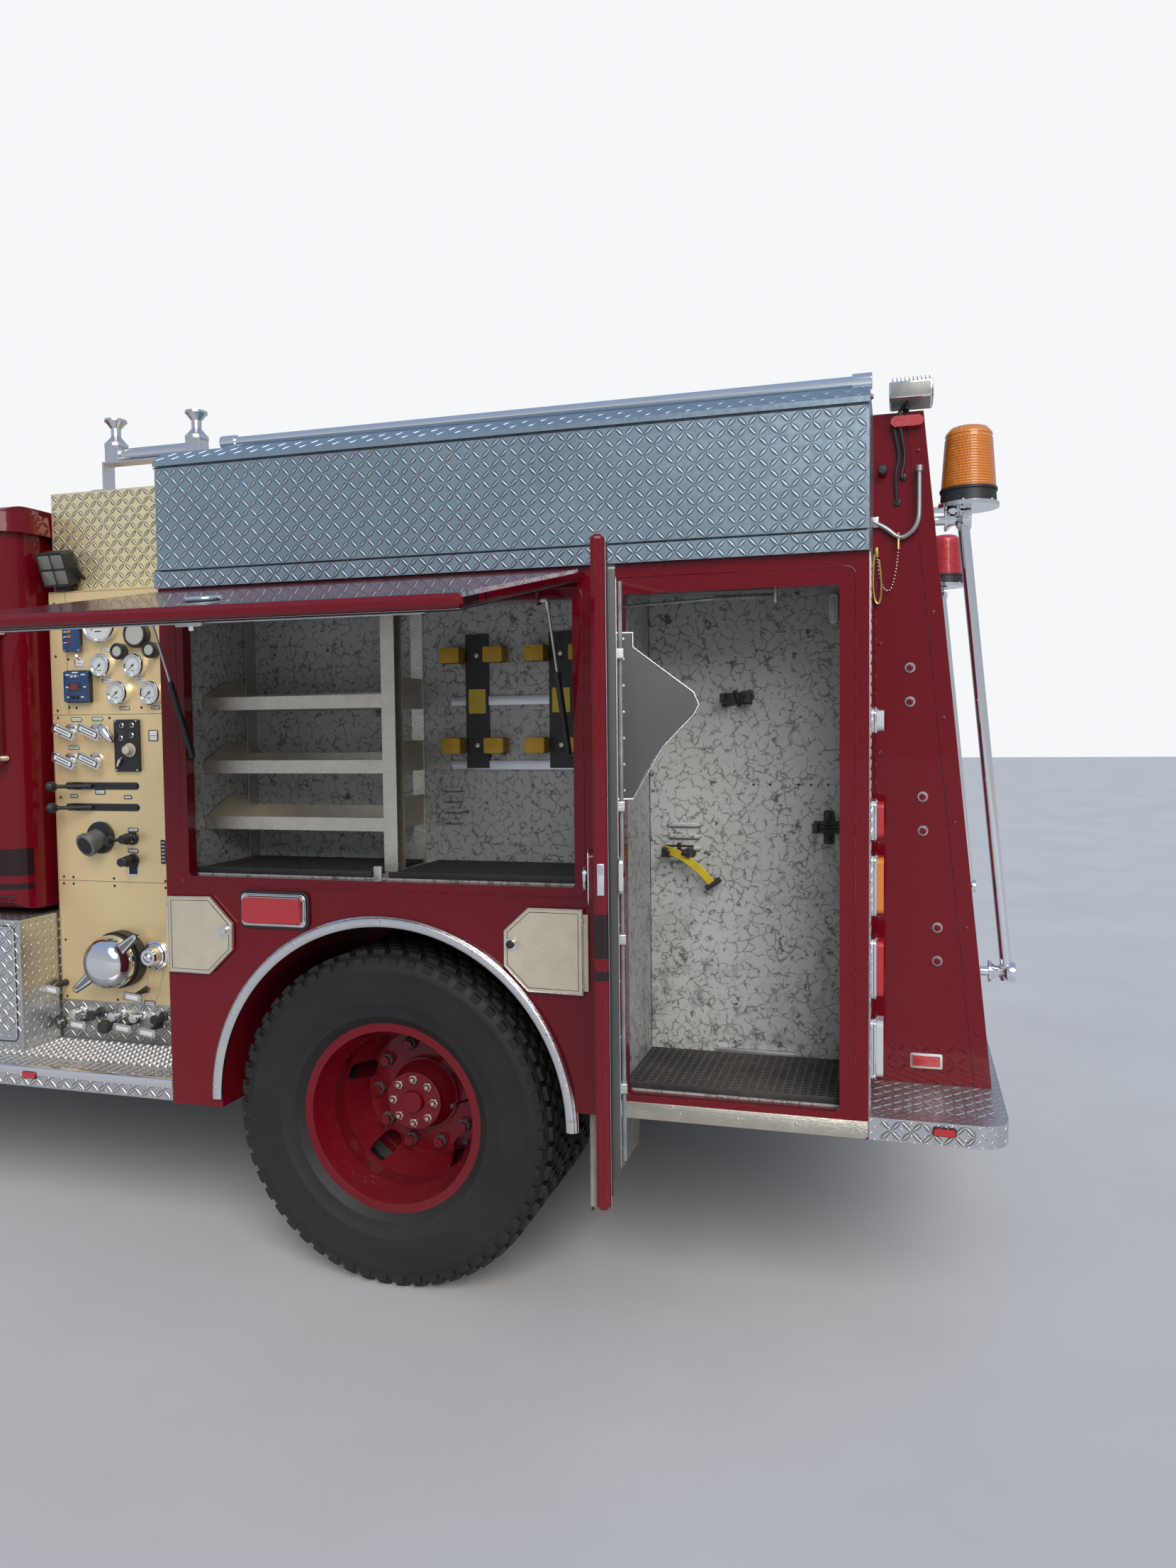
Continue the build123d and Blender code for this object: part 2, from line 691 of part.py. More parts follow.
# Cab door outlines: x of the front edge, front edge at the top, rear edge
DOOR_SILL_Z = 1150
DOOR_TOP_Z = 2420
CAB_DOORS = (
    # name, sill front x, belt front x, top front x, rear x
    ("front", -2888, -2888, -2520, -1960),
    ("rear", -1928, -1928, -1928, -890),
)
WINDOW_RIM = 62
PANE = 6


def door_points(row):
    """The corners of a cab door."""
    name, sill_x, belt_x, top_x, rear_x = row
    if belt_x == top_x:
        return ((sill_x, DOOR_SILL_Z), (top_x, DOOR_TOP_Z), (rear_x, DOOR_TOP_Z), (rear_x, DOOR_SILL_Z))
    return (
        (sill_x, DOOR_SILL_Z),
        (belt_x, BELT_Z),
        (top_x, DOOR_TOP_Z),
        (rear_x, DOOR_TOP_Z),
        (rear_x, DOOR_SILL_Z),
    )


def window_points(row):
    """The corners of the window in a cab door."""
    name, sill_x, belt_x, top_x, rear_x = row
    slope = (top_x - belt_x) / (DOOR_TOP_Z - BELT_Z)
    rise = WINDOW_RIM * 1.2 if slope else WINDOW_RIM
    low_x = belt_x + rise + slope * WINDOW_RIM
    return (
        (low_x, BELT_Z + 30),
        (top_x + rise - slope * WINDOW_RIM, DOOR_TOP_Z - WINDOW_RIM),
        (rear_x - WINDOW_RIM, DOOR_TOP_Z - WINDOW_RIM),
        (rear_x - WINDOW_RIM, BELT_Z + 30),
    )


# Windscreen plane on the sloping front of the cab
screen_low = Vector(COWL_X + 60, 0, BELT_Z - 10)
screen_high = Vector(SCREEN_TOP_X - 90, 0, CAB_ROOF_Z - 60)
screen_up = (screen_high - screen_low).normalized()
screen = Plane(
    origin=(screen_low + screen_high) * 0.5,
    x_dir=(0, -1, 0),
    z_dir=(-screen_up.Z, 0, screen_up.X),
)
SCREEN_HALF = CAB_HALF - 105
SCREEN_HIGH = (screen_high - screen_low).length - 90
REAR_PANE_HALF = 560
REAR_PANE_Z = (1900, 2330)
rear_pane = Plane(origin=(CAB_BACK_X, 0, 0), x_dir=(0, 1, 0), z_dir=(1, 0, 0))

# Cab shell: hollow, with its door openings and windows cut, and an overhanging roof cap
with BuildPart() as cab:
    add(cab_form(0))
    with BuildSketch(Plane.XY.offset(CAB_ROOF_Z - 96)):
        with Locations(((SCREEN_TOP_X - 40 + CAB_BACK_X + 26) / 2, 0)):
            RectangleRounded(CAB_BACK_X + 66 - SCREEN_TOP_X, 2 * CAB_HALF + 36, 130)
    extrude(amount=70, taper=4)
    add(cab_form(CAB_WALL), mode=Mode.SUBTRACT)
    for side, word in SIDES:
        for row in CAB_DOORS:
            outline(side, door_points(row), CAB_HALF - CAB_WALL - 10, CAB_WALL + 40,
                    corner=38, grow=DOOR_GAP, mode=Mode.SUBTRACT)
    plate(screen, (-SCREEN_HALF, SCREEN_HALF), (-SCREEN_HIGH / 2, SCREEN_HIGH / 2), (-90, 30), 60,
          mode=Mode.SUBTRACT)
    plate(rear_pane, (-REAR_PANE_HALF, REAR_PANE_HALF), REAR_PANE_Z, (-90, 30), 50, mode=Mode.SUBTRACT)
    for x in (-2700, -1300):
        for side, word in SIDES:
            box((x - 60, x + 60), (side * (RAIL_OUT - 5), side * (RAIL_OUT - 70)),
                (RAIL_BOTTOM_Z + RAIL_HEIGHT + FIT, CAB_FLOOR_Z + 10))
finish(cab, "cab_shell")

# Fixed glass: the windscreen and the rear pane
with BuildPart() as glass:
    plate(screen, (-SCREEN_HALF + FIT, SCREEN_HALF - FIT),
          (-SCREEN_HIGH / 2 + FIT, SCREEN_HIGH / 2 - FIT), (-24, -24 + PANE), 60)
    plate(rear_pane, (-REAR_PANE_HALF + FIT, REAR_PANE_HALF - FIT),
          (REAR_PANE_Z[0] + FIT, REAR_PANE_Z[1] - FIT), (-24, -24 + PANE), 50)
finish(glass, "cab_glass")

# Cab doors with their hinges, handles and panes. Mirrors ride on the front doors.
CAB_HINGE = 8
CAB_HINGE_SET = 12
CAB_AXIS_OUT = CAB_HALF + CAB_HINGE + FIT
CAB_HINGES_Z = (1330, 1720)
for side, word in SIDES:
    for row in CAB_DOORS:
        name, sill_x, belt_x, top_x, rear_x = row
        with BuildPart() as door:
            outline(side, door_points(row), CAB_HALF - CAB_WALL, CAB_WALL, corner=38)
            outline(side, window_points(row), CAB_HALF - CAB_WALL - 5, CAB_WALL + 10, corner=34,
                    mode=Mode.SUBTRACT)
            axis_x = sill_x - CAB_HINGE_SET
            for z in CAB_HINGES_Z:
                axis_y = side * CAB_AXIS_OUT
                rod((axis_x, axis_y, z - 45), (axis_x, axis_y, z + 45), CAB_HINGE)
                box((axis_x, sill_x + 6), (side * (CAB_HALF + FIT), side * (CAB_HALF + 9)), (z - 38, z + 38))
                box((sill_x + 5, sill_x + 70), (side * (CAB_HALF - 1), side * (CAB_HALF + 9)), (z - 38, z + 38))
            handle_x = (rear_x - 190, rear_x - 50)
            box(handle_x, (side * (CAB_HALF - 1), side * (CAB_HALF + 28)), (1700, 1732))
            if name == "front":
                for z in (1850, 2250):
                    rod((sill_x + 150, side * (CAB_HALF - 2), 1780), (sill_x + 60, side * 1210, z), 11)
                mirror_x = sill_x + 60
                rod((mirror_x, side * 1210, 1830), (mirror_x, side * 1210, 2280), 11)
                plate(face(side, x=mirror_x, out=1210), (-45, 45), (1860, 2250), (-10, MIRROR_OUT - 1210), 26)
        finish(door, f"cab_door_{name}_{word}")
        with BuildPart() as pane:
            outline(side, window_points(row), CAB_HALF - 30, PANE, corner=34, grow=-FIT)
        finish(pane, f"door_glass_{name}_{word}")

# Cab interior: seats and dashboard
SEAT_TOP_Z = 1560
with BuildPart() as seats:
    for x, back_x in ((-2360, -2060), (-1330, -1030)):
        for y in (-520, 0, 520):
            wide = 230 if x < -2000 or y else 250
            box((x - 230, x + 230), (y - wide, y + wide), (1440, SEAT_TOP_Z))
            box((back_x - 130, back_x), (y - wide, y + wide), (SEAT_TOP_Z + FIT, 2180))
            box((x - 200, x + 200), (y - wide + 40, y + wide - 40), (CAB_FLOOR_Z + CAB_WALL + FIT, 1440 - FIT))
            box((back_x - 60, back_x - 10), (y - 150, y + 150), (1300, SEAT_TOP_Z + 40))
finish(seats, "seats")

WHEEL_POINT = Vector(-2640, -520, 1760)
DASH_HALF = CAB_HALF - CAB_WALL - 78
with BuildPart() as dashboard:
    with BuildSketch(Plane.XZ.offset(-DASH_HALF)):
        Polygon(
            (COWL_X + CAB_WALL + FIT, 1300),
            (COWL_X + CAB_WALL + FIT, 1715),
            (COWL_X + 250, 1770),
            (COWL_X + 330, 1700),
            (COWL_X + 250, 1480),
            (COWL_X + 180, 1300),
            align=None,
        )
    extrude(amount=2 * DASH_HALF)
    rod((COWL_X + 200, WHEEL_POINT.Y, 1560), tuple(WHEEL_POINT), 24)
    tilt = Plane(origin=WHEEL_POINT, z_dir=(WHEEL_POINT - Vector(COWL_X + 200, WHEEL_POINT.Y, 1560)))
    with BuildSketch(tilt) as hub:
        Circle(225)
        Circle(200, mode=Mode.SUBTRACT)
        Circle(60)
        Rectangle(410, 34)
    extrude(hub.sketch, amount=24)
finish(dashboard, "dashboard")


def hood_form(inset):
    """The tilting nose's solid form: a crowned hood between two front fenders."""
    half = 640 - inset
    top = 1790 - inset
    with BuildPart() as form:
        with BuildSketch(Plane.YZ.offset(NOSE_X + inset)):
            with BuildLine():
                left = Line((-half, HOOD_PIVOT_Z - 16), (-half, top - 190))
                right = Line((half, top - 190), (half, HOOD_PIVOT_Z - 16))
                ThreePointArc((-half, top - 190), (-half + 70, top - 70), (-half + 220, top - 25))
                ThreePointArc((-half + 220, top - 25), (0, top), (half - 220, top - 25))
                ThreePointArc((half - 220, top - 25), (half - 70, top - 70), (half, top - 190))
                Line(left @ 0, right @ 1)
            make_face()
        extrude(amount=COWL_X - 12 - NOSE_X - inset)
        with BuildSketch(Plane.XZ.offset(-half - 10)):
            Polygon(
                (NOSE_X + inset, HOOD_PIVOT_Z - 16),
                (NOSE_X + inset, 1200),
                (NOSE_X + 50 + inset, 1440 - inset),
                (NOSE_X + 120 + inset, 1520 - inset),
                (NOSE_X + 260, 1570 - inset),
                (COWL_X - 12, top + 4),
                (COWL_X - 12, HOOD_PIVOT_Z - 16),
                align=None,
            )
        extrude(amount=2 * (half + 10), mode=Mode.INTERSECT)
    return form.part


# Front fenders: outline in x and z, then drawn in for the hollow behind
FENDER_IN = 560
FENDER_TOP = 1330
FRONT_ARCH = 630


def fender_points(inset):
    """The side outline of a front fender."""
    return (
        (NOSE_X + 10 + inset, 800),
        (NOSE_X + 10 + inset, FENDER_TOP - 200 - inset),
        (NOSE_X + 90 + inset, FENDER_TOP - 70 - inset),
        (NOSE_X + 260, FENDER_TOP - inset),
        (COWL_X - 140, FENDER_TOP + 40 - inset),
        (COWL_X - 60 - inset, FENDER_TOP - 60 - inset),
        (COWL_X - 60 - inset, 800),
    )


with BuildPart() as hood:
    add(hood_form(0))
    for side, word in SIDES:
        outline(side, fender_points(0), FENDER_IN, FENDER_HALF - FENDER_IN, corner=50)
    add(hood_form(HOOD_SKIN), mode=Mode.SUBTRACT)
    box((NOSE_X + 60, COWL_X + 10), (-618, 618), (HOOD_PIVOT_Z - 40, 1240), mode=Mode.SUBTRACT)
    box((COWL_X - 60, COWL_X + 10), (-618, 618), (HOOD_PIVOT_Z - 40, 1560), mode=Mode.SUBTRACT)
    box((NOSE_X - 1, NOSE_X + 61), (-500, 500), (HOOD_PIVOT_Z - 40, HOOD_PIVOT_Z + 20), mode=Mode.SUBTRACT)
    for side, word in SIDES:
        outline(side, fender_points(HOOD_SKIN), FENDER_IN - 1, FENDER_HALF - HOOD_SKIN - FENDER_IN + 1, corner=30,
                mode=Mode.SUBTRACT)
        box((NOSE_X + 40, COWL_X), (side * (FENDER_IN - 1), side * (FENDER_HALF - HOOD_SKIN)), (780, 880),
            mode=Mode.SUBTRACT)
        rod((FRONT_AXLE_X, side * 600, AXLE_Z + 40), (FRONT_AXLE_X, side * 1300, AXLE_Z + 40), FRONT_ARCH,
            mode=Mode.SUBTRACT)
    grille_window = Plane(origin=(NOSE_X, 0, 0), x_dir=(0, -1, 0), z_dir=(-1, 0, 0))
    plate(grille_window, (-430, 430), (985, 1190), (-40, 20), 20, mode=Mode.SUBTRACT)
    for side, word in SIDES:
        rod((HOOD_PIVOT_X, side * (RAIL_OUT + FIT), HOOD_PIVOT_Z), (HOOD_PIVOT_X, side * 625, HOOD_PIVOT_Z),
            HOOD_PIN)
finish(hood, "hood")

# Grille of upright bars in its frame, and the headlamps
with BuildPart() as grille:
    plate(grille_window, (-430 + FIT, 430 - FIT), (985 + FIT, 1190 - FIT), (-18, 8), 20)
    plate(grille_window, (-405, 405), (1008, 1167), (-20, 10), 8, mode=Mode.SUBTRACT)
    for step in range(13):
        y = -390 + 65 * step
        plate(grille_window, (y - 7, y + 7), (1004, 1171), (-14, 4))
    plate(grille_window, (-408, 408), (1080, 1094), (-12, 2))

LAMP_OUT = 860
with grille:
    for side, word in SIDES:
        lamp = Plane(origin=(NOSE_X + 10, side * LAMP_OUT, 0), x_dir=(0, -1, 0), z_dir=(-1, 0, 0))
        plate(lamp, (-130, 130), (960, 1110), (FIT, 20), 24)
        with BuildSketch(lamp.offset(20)) as lens:
            with Locations((-62, 1035), (62, 1035)):
                Circle(56)
        extrude(lens.sketch, amount=9)
finish(grille, "grille")

# Pump house: stainless lower box and set-back upper box, hollow and open underneath
with BuildPart() as pump_house:
    box((PUMP_FRONT_X, -FIT), (-PUMP_HALF, PUMP_HALF), (PUMP_FLOOR_Z + 8, PUMP_SHELF_Z))
    box((PUMP_FRONT_X, -FIT), (-PUMP_HALF + PUMP_SET_BACK, PUMP_HALF - PUMP_SET_BACK),
        (PUMP_SHELF_Z, PUMP_TOP_Z))
    box((PUMP_FRONT_X + PUMP_WALL, -PUMP_WALL), (-PUMP_HALF + PUMP_WALL, PUMP_HALF - PUMP_WALL),
        (PUMP_FLOOR_Z - 1, PUMP_SHELF_Z - 40), mode=Mode.SUBTRACT)
    box((PUMP_FRONT_X + PUMP_WALL, -PUMP_WALL), (-PUMP_HALF + 80, PUMP_HALF - 80),
        (PUMP_SHELF_Z - 50, PUMP_TOP_Z - PUMP_WALL), mode=Mode.SUBTRACT)
    box((PUMP_FRONT_X - 1, 1), (-RAIL_OUT - 40, RAIL_OUT + 40), (PUMP_FLOOR_Z - 1, 990), mode=Mode.SUBTRACT)
    for x in (-560, -160):
        for side, word in SIDES:
            box((x - 50, x + 50), (side * RAIL_OUT, side * (RAIL_OUT - 70)),
                (RAIL_BOTTOM_Z + RAIL_HEIGHT + FIT, RAIL_BOTTOM_Z + RAIL_HEIGHT + 60))
            box((x - 50, x + 50), (side * (RAIL_OUT - 70), side * (PUMP_HALF - 10)),
                (RAIL_BOTTOM_Z + RAIL_HEIGHT + 40, RAIL_BOTTOM_Z + RAIL_HEIGHT + 60))
finish(pump_house, "pump_house")

# Pump panel fittings. Gauges: x, z, bezel radius. Measured on the left panel.
GAUGES = (
    (-500, 2112, 68),
    (-347, 2067, 62),
    (-423, 2009, 38),
    (-290, 2010, 38),
    (-499, 1961, 40),
    (-359, 1957, 40),
    (-431, 1862, 40),
    (-294, 1859, 40),
)
PULLS = ((-651, 1726), (-542, 1725), (-655, 1622), (-547, 1622))
DRAINS = (-640, -560, -470, -380, -290, -200, -120)
with BuildPart() as fittings:
    for side, word in SIDES:
        panel = face(side, out=PUMP_HALF)
        for x, z, radius in GAUGES if side < 0 else GAUGES[:2]:
            centre = (x, side * PUMP_HALF, z)
            turned(centre, (0, side, 0), ((FIT, 22, radius, radius), (22, 27, radius, radius - 7)))
        for x, z in PULLS if side < 0 else PULLS[:2]:
            rod((x, side * (PUMP_HALF + FIT), z), (x, side * (PUMP_HALF + 40), z), 11)
            plate(face(side, x=x, z=z, out=PUMP_HALF), (-52, 52), (-15, 15), (36, 56), 14)
        # Suction inlet: black ring, domed cap and two long handles
        inlet = (-456, side * PUMP_HALF, 905)
        turned(inlet, (0, side, 0), ((41, 90, 92, 92), (90, 120, 92, 76), (120, 138, 76, 40)))
        for angle in (35, 215):
            turn = math.radians(angle)
            reach = Vector(math.cos(turn), 0, math.sin(turn))
            start = Vector(*inlet) + Vector(0, side * 80, 0) + reach * 60
            rod(tuple(start), tuple(start + reach * 110 + Vector(0, side * 18, 0)), 13)
        # Discharge elbow, pointing out and down, with its own swivel ring
        elbow = Vector(-536, side * PUMP_HALF, 1342)
        turned(tuple(elbow), (0, side, 0), ((FIT, 10, 58, 58), (10, 50, 42, 42)))
        mouth = Vector(-0.35, side * 0.86, -0.37).normalized()
        turned(tuple(elbow + Vector(0, side * 44, 0)), tuple(mouth), (
            (-16, 0, 26, 39), (0, 101, 39, 39), (101, 124, 47, 47)))
        # Small capped outlet
        turned((-307, side * PUMP_HALF, 925), (0, side, 0), ((FIT, 26, 44, 44), (26, 60, 34, 30)))
        for x in DRAINS:
            turned((x, side * PUMP_HALF, 702), (0, side, 0), ((FIT, 12, 18, 18), (12, 48, 9, 9), (48, 62, 17, 17)))
    # Teardrop throttle lever
    plate(face(-1, x=-470, z=1712, out=PUMP_HALF), (-22, 22), (-46, 46), (30, 44), 20)
    rod((-470, -PUMP_HALF - FIT, 1690), (-470, -PUMP_HALF - 34, 1690), 9)
finish(fittings, "pump_fittings")

# Black controls: level gauge, controller, lever plate, slotted levers and ball valves
LEVERS_Z = (1529, 1452)
with BuildPart() as controls:
    for side, word in SIDES:
        turned((-456, side * PUMP_HALF, 905), (0, side, 0), ((FIT, 40.7, 102, 102),))
        if side < 0:
            plate(face(side, out=PUMP_HALF), (-660, -590), (2040, 2170), (FIT, 20), 6)
            plate(face(side, out=PUMP_HALF), (-650, -552), (1830, 1946), (FIT, 26), 8)
            plate(face(side, out=PUMP_HALF), (-457, -355), (1581, 1767), (FIT, 14), 4)
        for z in LEVERS_Z:
            span = (-681, -372)
            lever = sorted((-side * span[0], -side * span[1]))
            plate(face(side, out=PUMP_HALF), lever, (z - 9, z + 9), (FIT, 6), 4)
            rod((-560, side * (PUMP_HALF + 13), z), (-690, side * (PUMP_HALF + 66), z), 7)
            turned((-690, side * (PUMP_HALF + 66), z), (-1, side * 0.4, 0), ((-18, -8, 11, 19), (-8, 8, 19, 19), (8, 18, 19, 11)))
        for z in (1262, 1342):
            turned((-400, side * PUMP_HALF, z), (0, side, 0), ((FIT, 10, 24, 24), (10, 34, 8, 8), (34, 62, 21, 15)))

# Running boards, with the boxes and the fuel tank that hang over them under the cab
BOX_OUT = 1060
BOX_TOP_Z = 1062
with BuildPart() as boards:
    for side, word in SIDES:
        box((BOARD_FRONT_X, -FIT), (side * (BOX_OUT - 260), side * HALF_WIDTH),
            (BOARD_TOP_Z - BOARD_THICK, BOARD_TOP_Z))
        box((BOARD_FRONT_X - 1, 1), (side * (BOX_OUT - 261), side * (HALF_WIDTH - 5)),
            (BOARD_TOP_Z - BOARD_THICK - 1, BOARD_TOP_Z - 6), mode=Mode.SUBTRACT)
        box((BOARD_FRONT_X + 6, -6), (side * (HALF_WIDTH - 30), side * HALF_WIDTH),
            (BOARD_TOP_Z - BOARD_THICK, BOARD_TOP_Z - BOARD_THICK + 5))
        for x in (-2500, -1500, -850, -100):
            box((x - 25, x + 25), (side * (RAIL_OUT + FIT), side * (RAIL_OUT + 12)), (BOARD_TOP_Z - 50, 900))
            box((x - 25, x + 25), (side * (RAIL_OUT + FIT), side * (HALF_WIDTH - 6)),
                (BOARD_TOP_Z - 50, BOARD_TOP_Z - 5))
    for side, word in SIDES:
        box((-2600, PUMP_FRONT_X - 6), (side * 640, side * BOX_OUT), (BOARD_TOP_Z - 1, BOX_TOP_Z))
finish(boards, "running_boards")

# Body: one module per side, with two compartments, a wheel well and two bottle tubes
TUBES = ((122, 1082), (1275, 1082))
SMALL_DOORS = (
    # name, hinge x, hand, corners in x and z
    ("front", 4, 1, ((14, 1200), (166, 1203), (247, 1120), (245, 1037), (161, 958), (14, 959))),
    ("rear", 1397, -1, ((1225, 1205), (1387, 1205), (1387, 960), (1221, 962), (1149, 1034), (1150, 1137))),
)
module_in = HALF_WIDTH - BODY_DEPTH
well_z = ARCH_Z
for side, word in SIDES:
    with BuildPart() as module:
        outline(side, (
            (0, SKIRT_FRONT_Z), (0, BODY_TOP), (BODY_LENGTH, BODY_TOP), (BODY_LENGTH, SKIRT_REAR_Z),
            (ARCH_X, SKIRT_REAR_Z), (ARCH_X, SKIRT_FRONT_Z)), module_in, BODY_DEPTH)
        with BuildSketch(face(side, out=WELL_IN)) as barrel:
            with Locations((-side * ARCH_X, ARCH_Z)):
                Circle(ARCH_RADIUS + 24)
            with Locations((-side * ARCH_X, ARCH_Z - 1000)):
                Rectangle(3000, 2000 - 60, mode=Mode.SUBTRACT)
        extrude(barrel.sketch, amount=module_in - WELL_IN + 1)
        rod((ARCH_X, side * (WELL_IN + 14), ARCH_Z), (ARCH_X, side * (HALF_WIDTH + 1), ARCH_Z), ARCH_RADIUS,
            mode=Mode.SUBTRACT)
        box((ARCH_X - ARCH_RADIUS, ARCH_X + ARCH_RADIUS), (side * (WELL_IN + 14), side * (HALF_WIDTH + 1)),
            (SKIRT_FRONT_Z - 50, ARCH_Z), mode=Mode.SUBTRACT)
        # Passage of the axle through the well's inner wall
        box((REAR_AXLE_X - 150, REAR_AXLE_X + 150), (side * (WELL_IN - 1), side * (WELL_IN + 15)),
            (SKIRT_FRONT_Z - 50, AXLE_Z + 130), mode=Mode.SUBTRACT)
        for xs, zs in ((UPPER_X, UPPER_Z), (TALL_X, TALL_Z)):
            plate(face(side, out=module_in + SKIN), sorted((-side * xs[0], -side * xs[1])), zs,
                  (0, BODY_DEPTH), CORNER, mode=Mode.SUBTRACT)
            box((xs[0] - 30, xs[1] + 30), (side * (module_in + SKIN), side * (HALF_WIDTH - SKIN)),
                (zs[0] - 0.5, zs[1] + 45), mode=Mode.SUBTRACT)
        for x, z in TUBES:
            rod((x, side * (HALF_WIDTH - TUBE_DEPTH + 130), z), (x, side * (HALF_WIDTH + 1), z), TUBE_RADIUS,
                mode=Mode.SUBTRACT)
        # Half-round trim round the arch
        arch_plane = Plane(origin=(ARCH_X, 0, ARCH_Z), x_dir=(0, side, 0), z_dir=(side, 0, 0))
        with BuildSketch(arch_plane) as trim:
            Polygon(*[(HALF_WIDTH + out, ARCH_RADIUS + along) for out, along in ARCH_PROFILE], align=None)
        with BuildPart(mode=Mode.PRIVATE) as bead:
            revolve(trim.sketch, axis=Axis((ARCH_X, 0, ARCH_Z), (0, side, 0)))
            box((ARCH_X - 900, ARCH_X + 900), (side * 1100, side * 1300), (ARCH_Z - 900, ARCH_Z), mode=Mode.SUBTRACT)
        add(bead.part)
    finish(module, f"body_{word}")

# Compartment liners, pale inside the two compartments of each module
with BuildPart() as liners:
    for side, word in SIDES:
        for xs, zs in ((UPPER_X, UPPER_Z), (TALL_X, TALL_Z)):
            x0, x1 = xs[0] - 30 + FIT, xs[1] + 30 - FIT
            z0, z1 = zs[0] - 0.5 + FIT, zs[1] + 45 - FIT
            y0, y1 = module_in + SKIN + FIT, HALF_WIDTH - SKIN - FIT
            box((x0, x1), (side * y0, side * y1), (z0, z1))
            box((x0 + LINER, x1 - LINER), (side * (y0 + LINER), side * (y1 + 1)), (z0 + LINER, z1 - LINER),
                mode=Mode.SUBTRACT)
finish(liners, "compartment_liners")

# Shelves of the upper compartments: three trays, an upright divider, bottle brackets
TRAYS_Z = (1788, 1584, 1403)
TRAY_X = (UPPER_X[0] - 20, 700)
DIVIDER_X = (706, 752)
with BuildPart() as shelves:
    inner = module_in + SKIN + FIT + LINER + FIT
    floor_z = UPPER_Z[0] - 0.5 + FIT + LINER + FIT
    for side, word in SIDES:
        for z in TRAYS_Z:
            xs = (TRAY_X[0], DIVIDER_X[0] + 1)
            box(xs, (side * inner, side * (inner + 300)), (z, z + 3))
            box(xs, (side * (inner + 297), side * (inner + 300)), (z, z + 42))
            box(xs, (side * inner, side * (inner + 3)), (z, z + 60))
            for x in (xs[0], DIVIDER_X[0] - 2):
                outline_points = ((0, z), (0, z + 42), (120, z + 100), (297, z + 100), (297, z))
                with BuildSketch(Plane.YZ.offset(x)) as end:
                    Polygon(*[(side * (inner + 300 - out), up) for out, up in outline_points], align=None)
                extrude(end.sketch, amount=3)
        box(DIVIDER_X, (side * (inner + 250), side * (inner + 304)), (floor_z, UPPER_Z[1] + 30))
        box((DIVIDER_X[0] + 4, DIVIDER_X[1] + 1), (side * (inner + 254), side * (inner + 300)),
            (floor_z - 1, UPPER_Z[1] + 31), mode=Mode.SUBTRACT)
        box((TRAY_X[0], TRAY_X[0] + 4), (side * inner, side * (inner + 60)), (floor_z, UPPER_Z[1] + 30))
        box((DIVIDER_X[0] - 40, DIVIDER_X[0] + 4), (side * inner, side * (inner + 4)),
            (floor_z, UPPER_Z[1] + 30))
finish(shelves, "shelves")

# Bottle brackets and clips in the compartments, and the mud flaps, also black
BRACKETS_X = (905, 1195)
with controls:
    for side, word in SIDES:
        for x in BRACKETS_X:
            box((x - 40, x + 40), (side * inner, side * (inner + 8)), (1590, 2030))
            for z in (1665, 1960):
                box((x - 105, x - 45), (side * inner, side * (inner + 60)), (z - 22, z + 22))
                box((x - 46, x - 39), (side * inner, side * (inner + 8)), (z - 22, z + 22))
                box((x + 45, x + 105), (side * inner, side * (inner + 60)), (z - 22, z + 22))
                box((x + 39, x + 46), (side * inner, side * (inner + 8)), (z - 22, z + 22))
        for x, z in ((1764, 1804), (1580, 1329), (2040, 1410)):
            box((x - 45, x + 45), (side * inner, side * (inner + 10)), (z - 18, z + 18))
            box((x - 45, x - 30), (side * inner, side * (inner + 70)), (z - 14, z + 14))
            box((x + 30, x + 45), (side * inner, side * (inner + 70)), (z - 14, z + 14))
    for side, word in SIDES:
        box((1388, 1396), (side * 620, side * 1180), (315, SKIRT_REAR_Z - FIT))

# Gas strut geometry: the foot on the jamb, the eye on the door, closed and open


def strut_eye(degrees):
    """Where a door's strut eye is, as (out, z), at an opening angle."""
    turn = math.radians(degrees)
    down, inward = STRUT_EYE_DOWN, STRUT_EYE_IN
    out = DOOR_AXIS_OUT + down * math.sin(turn) - inward * math.cos(turn)
    z = LIFT_HINGE_Z - down * math.cos(turn) - inward * math.sin(turn)
    return out, z


STRUT_FOOT_OUT = HALF_WIDTH - STRUT_FOOT_IN
closed_out, closed_z = strut_eye(0)
STRUT_CLOSED = math.hypot(closed_out - STRUT_FOOT_OUT, closed_z - STRUT_FOOT_Z)
TUBE_LENGTH = STRUT_CLOSED - 62

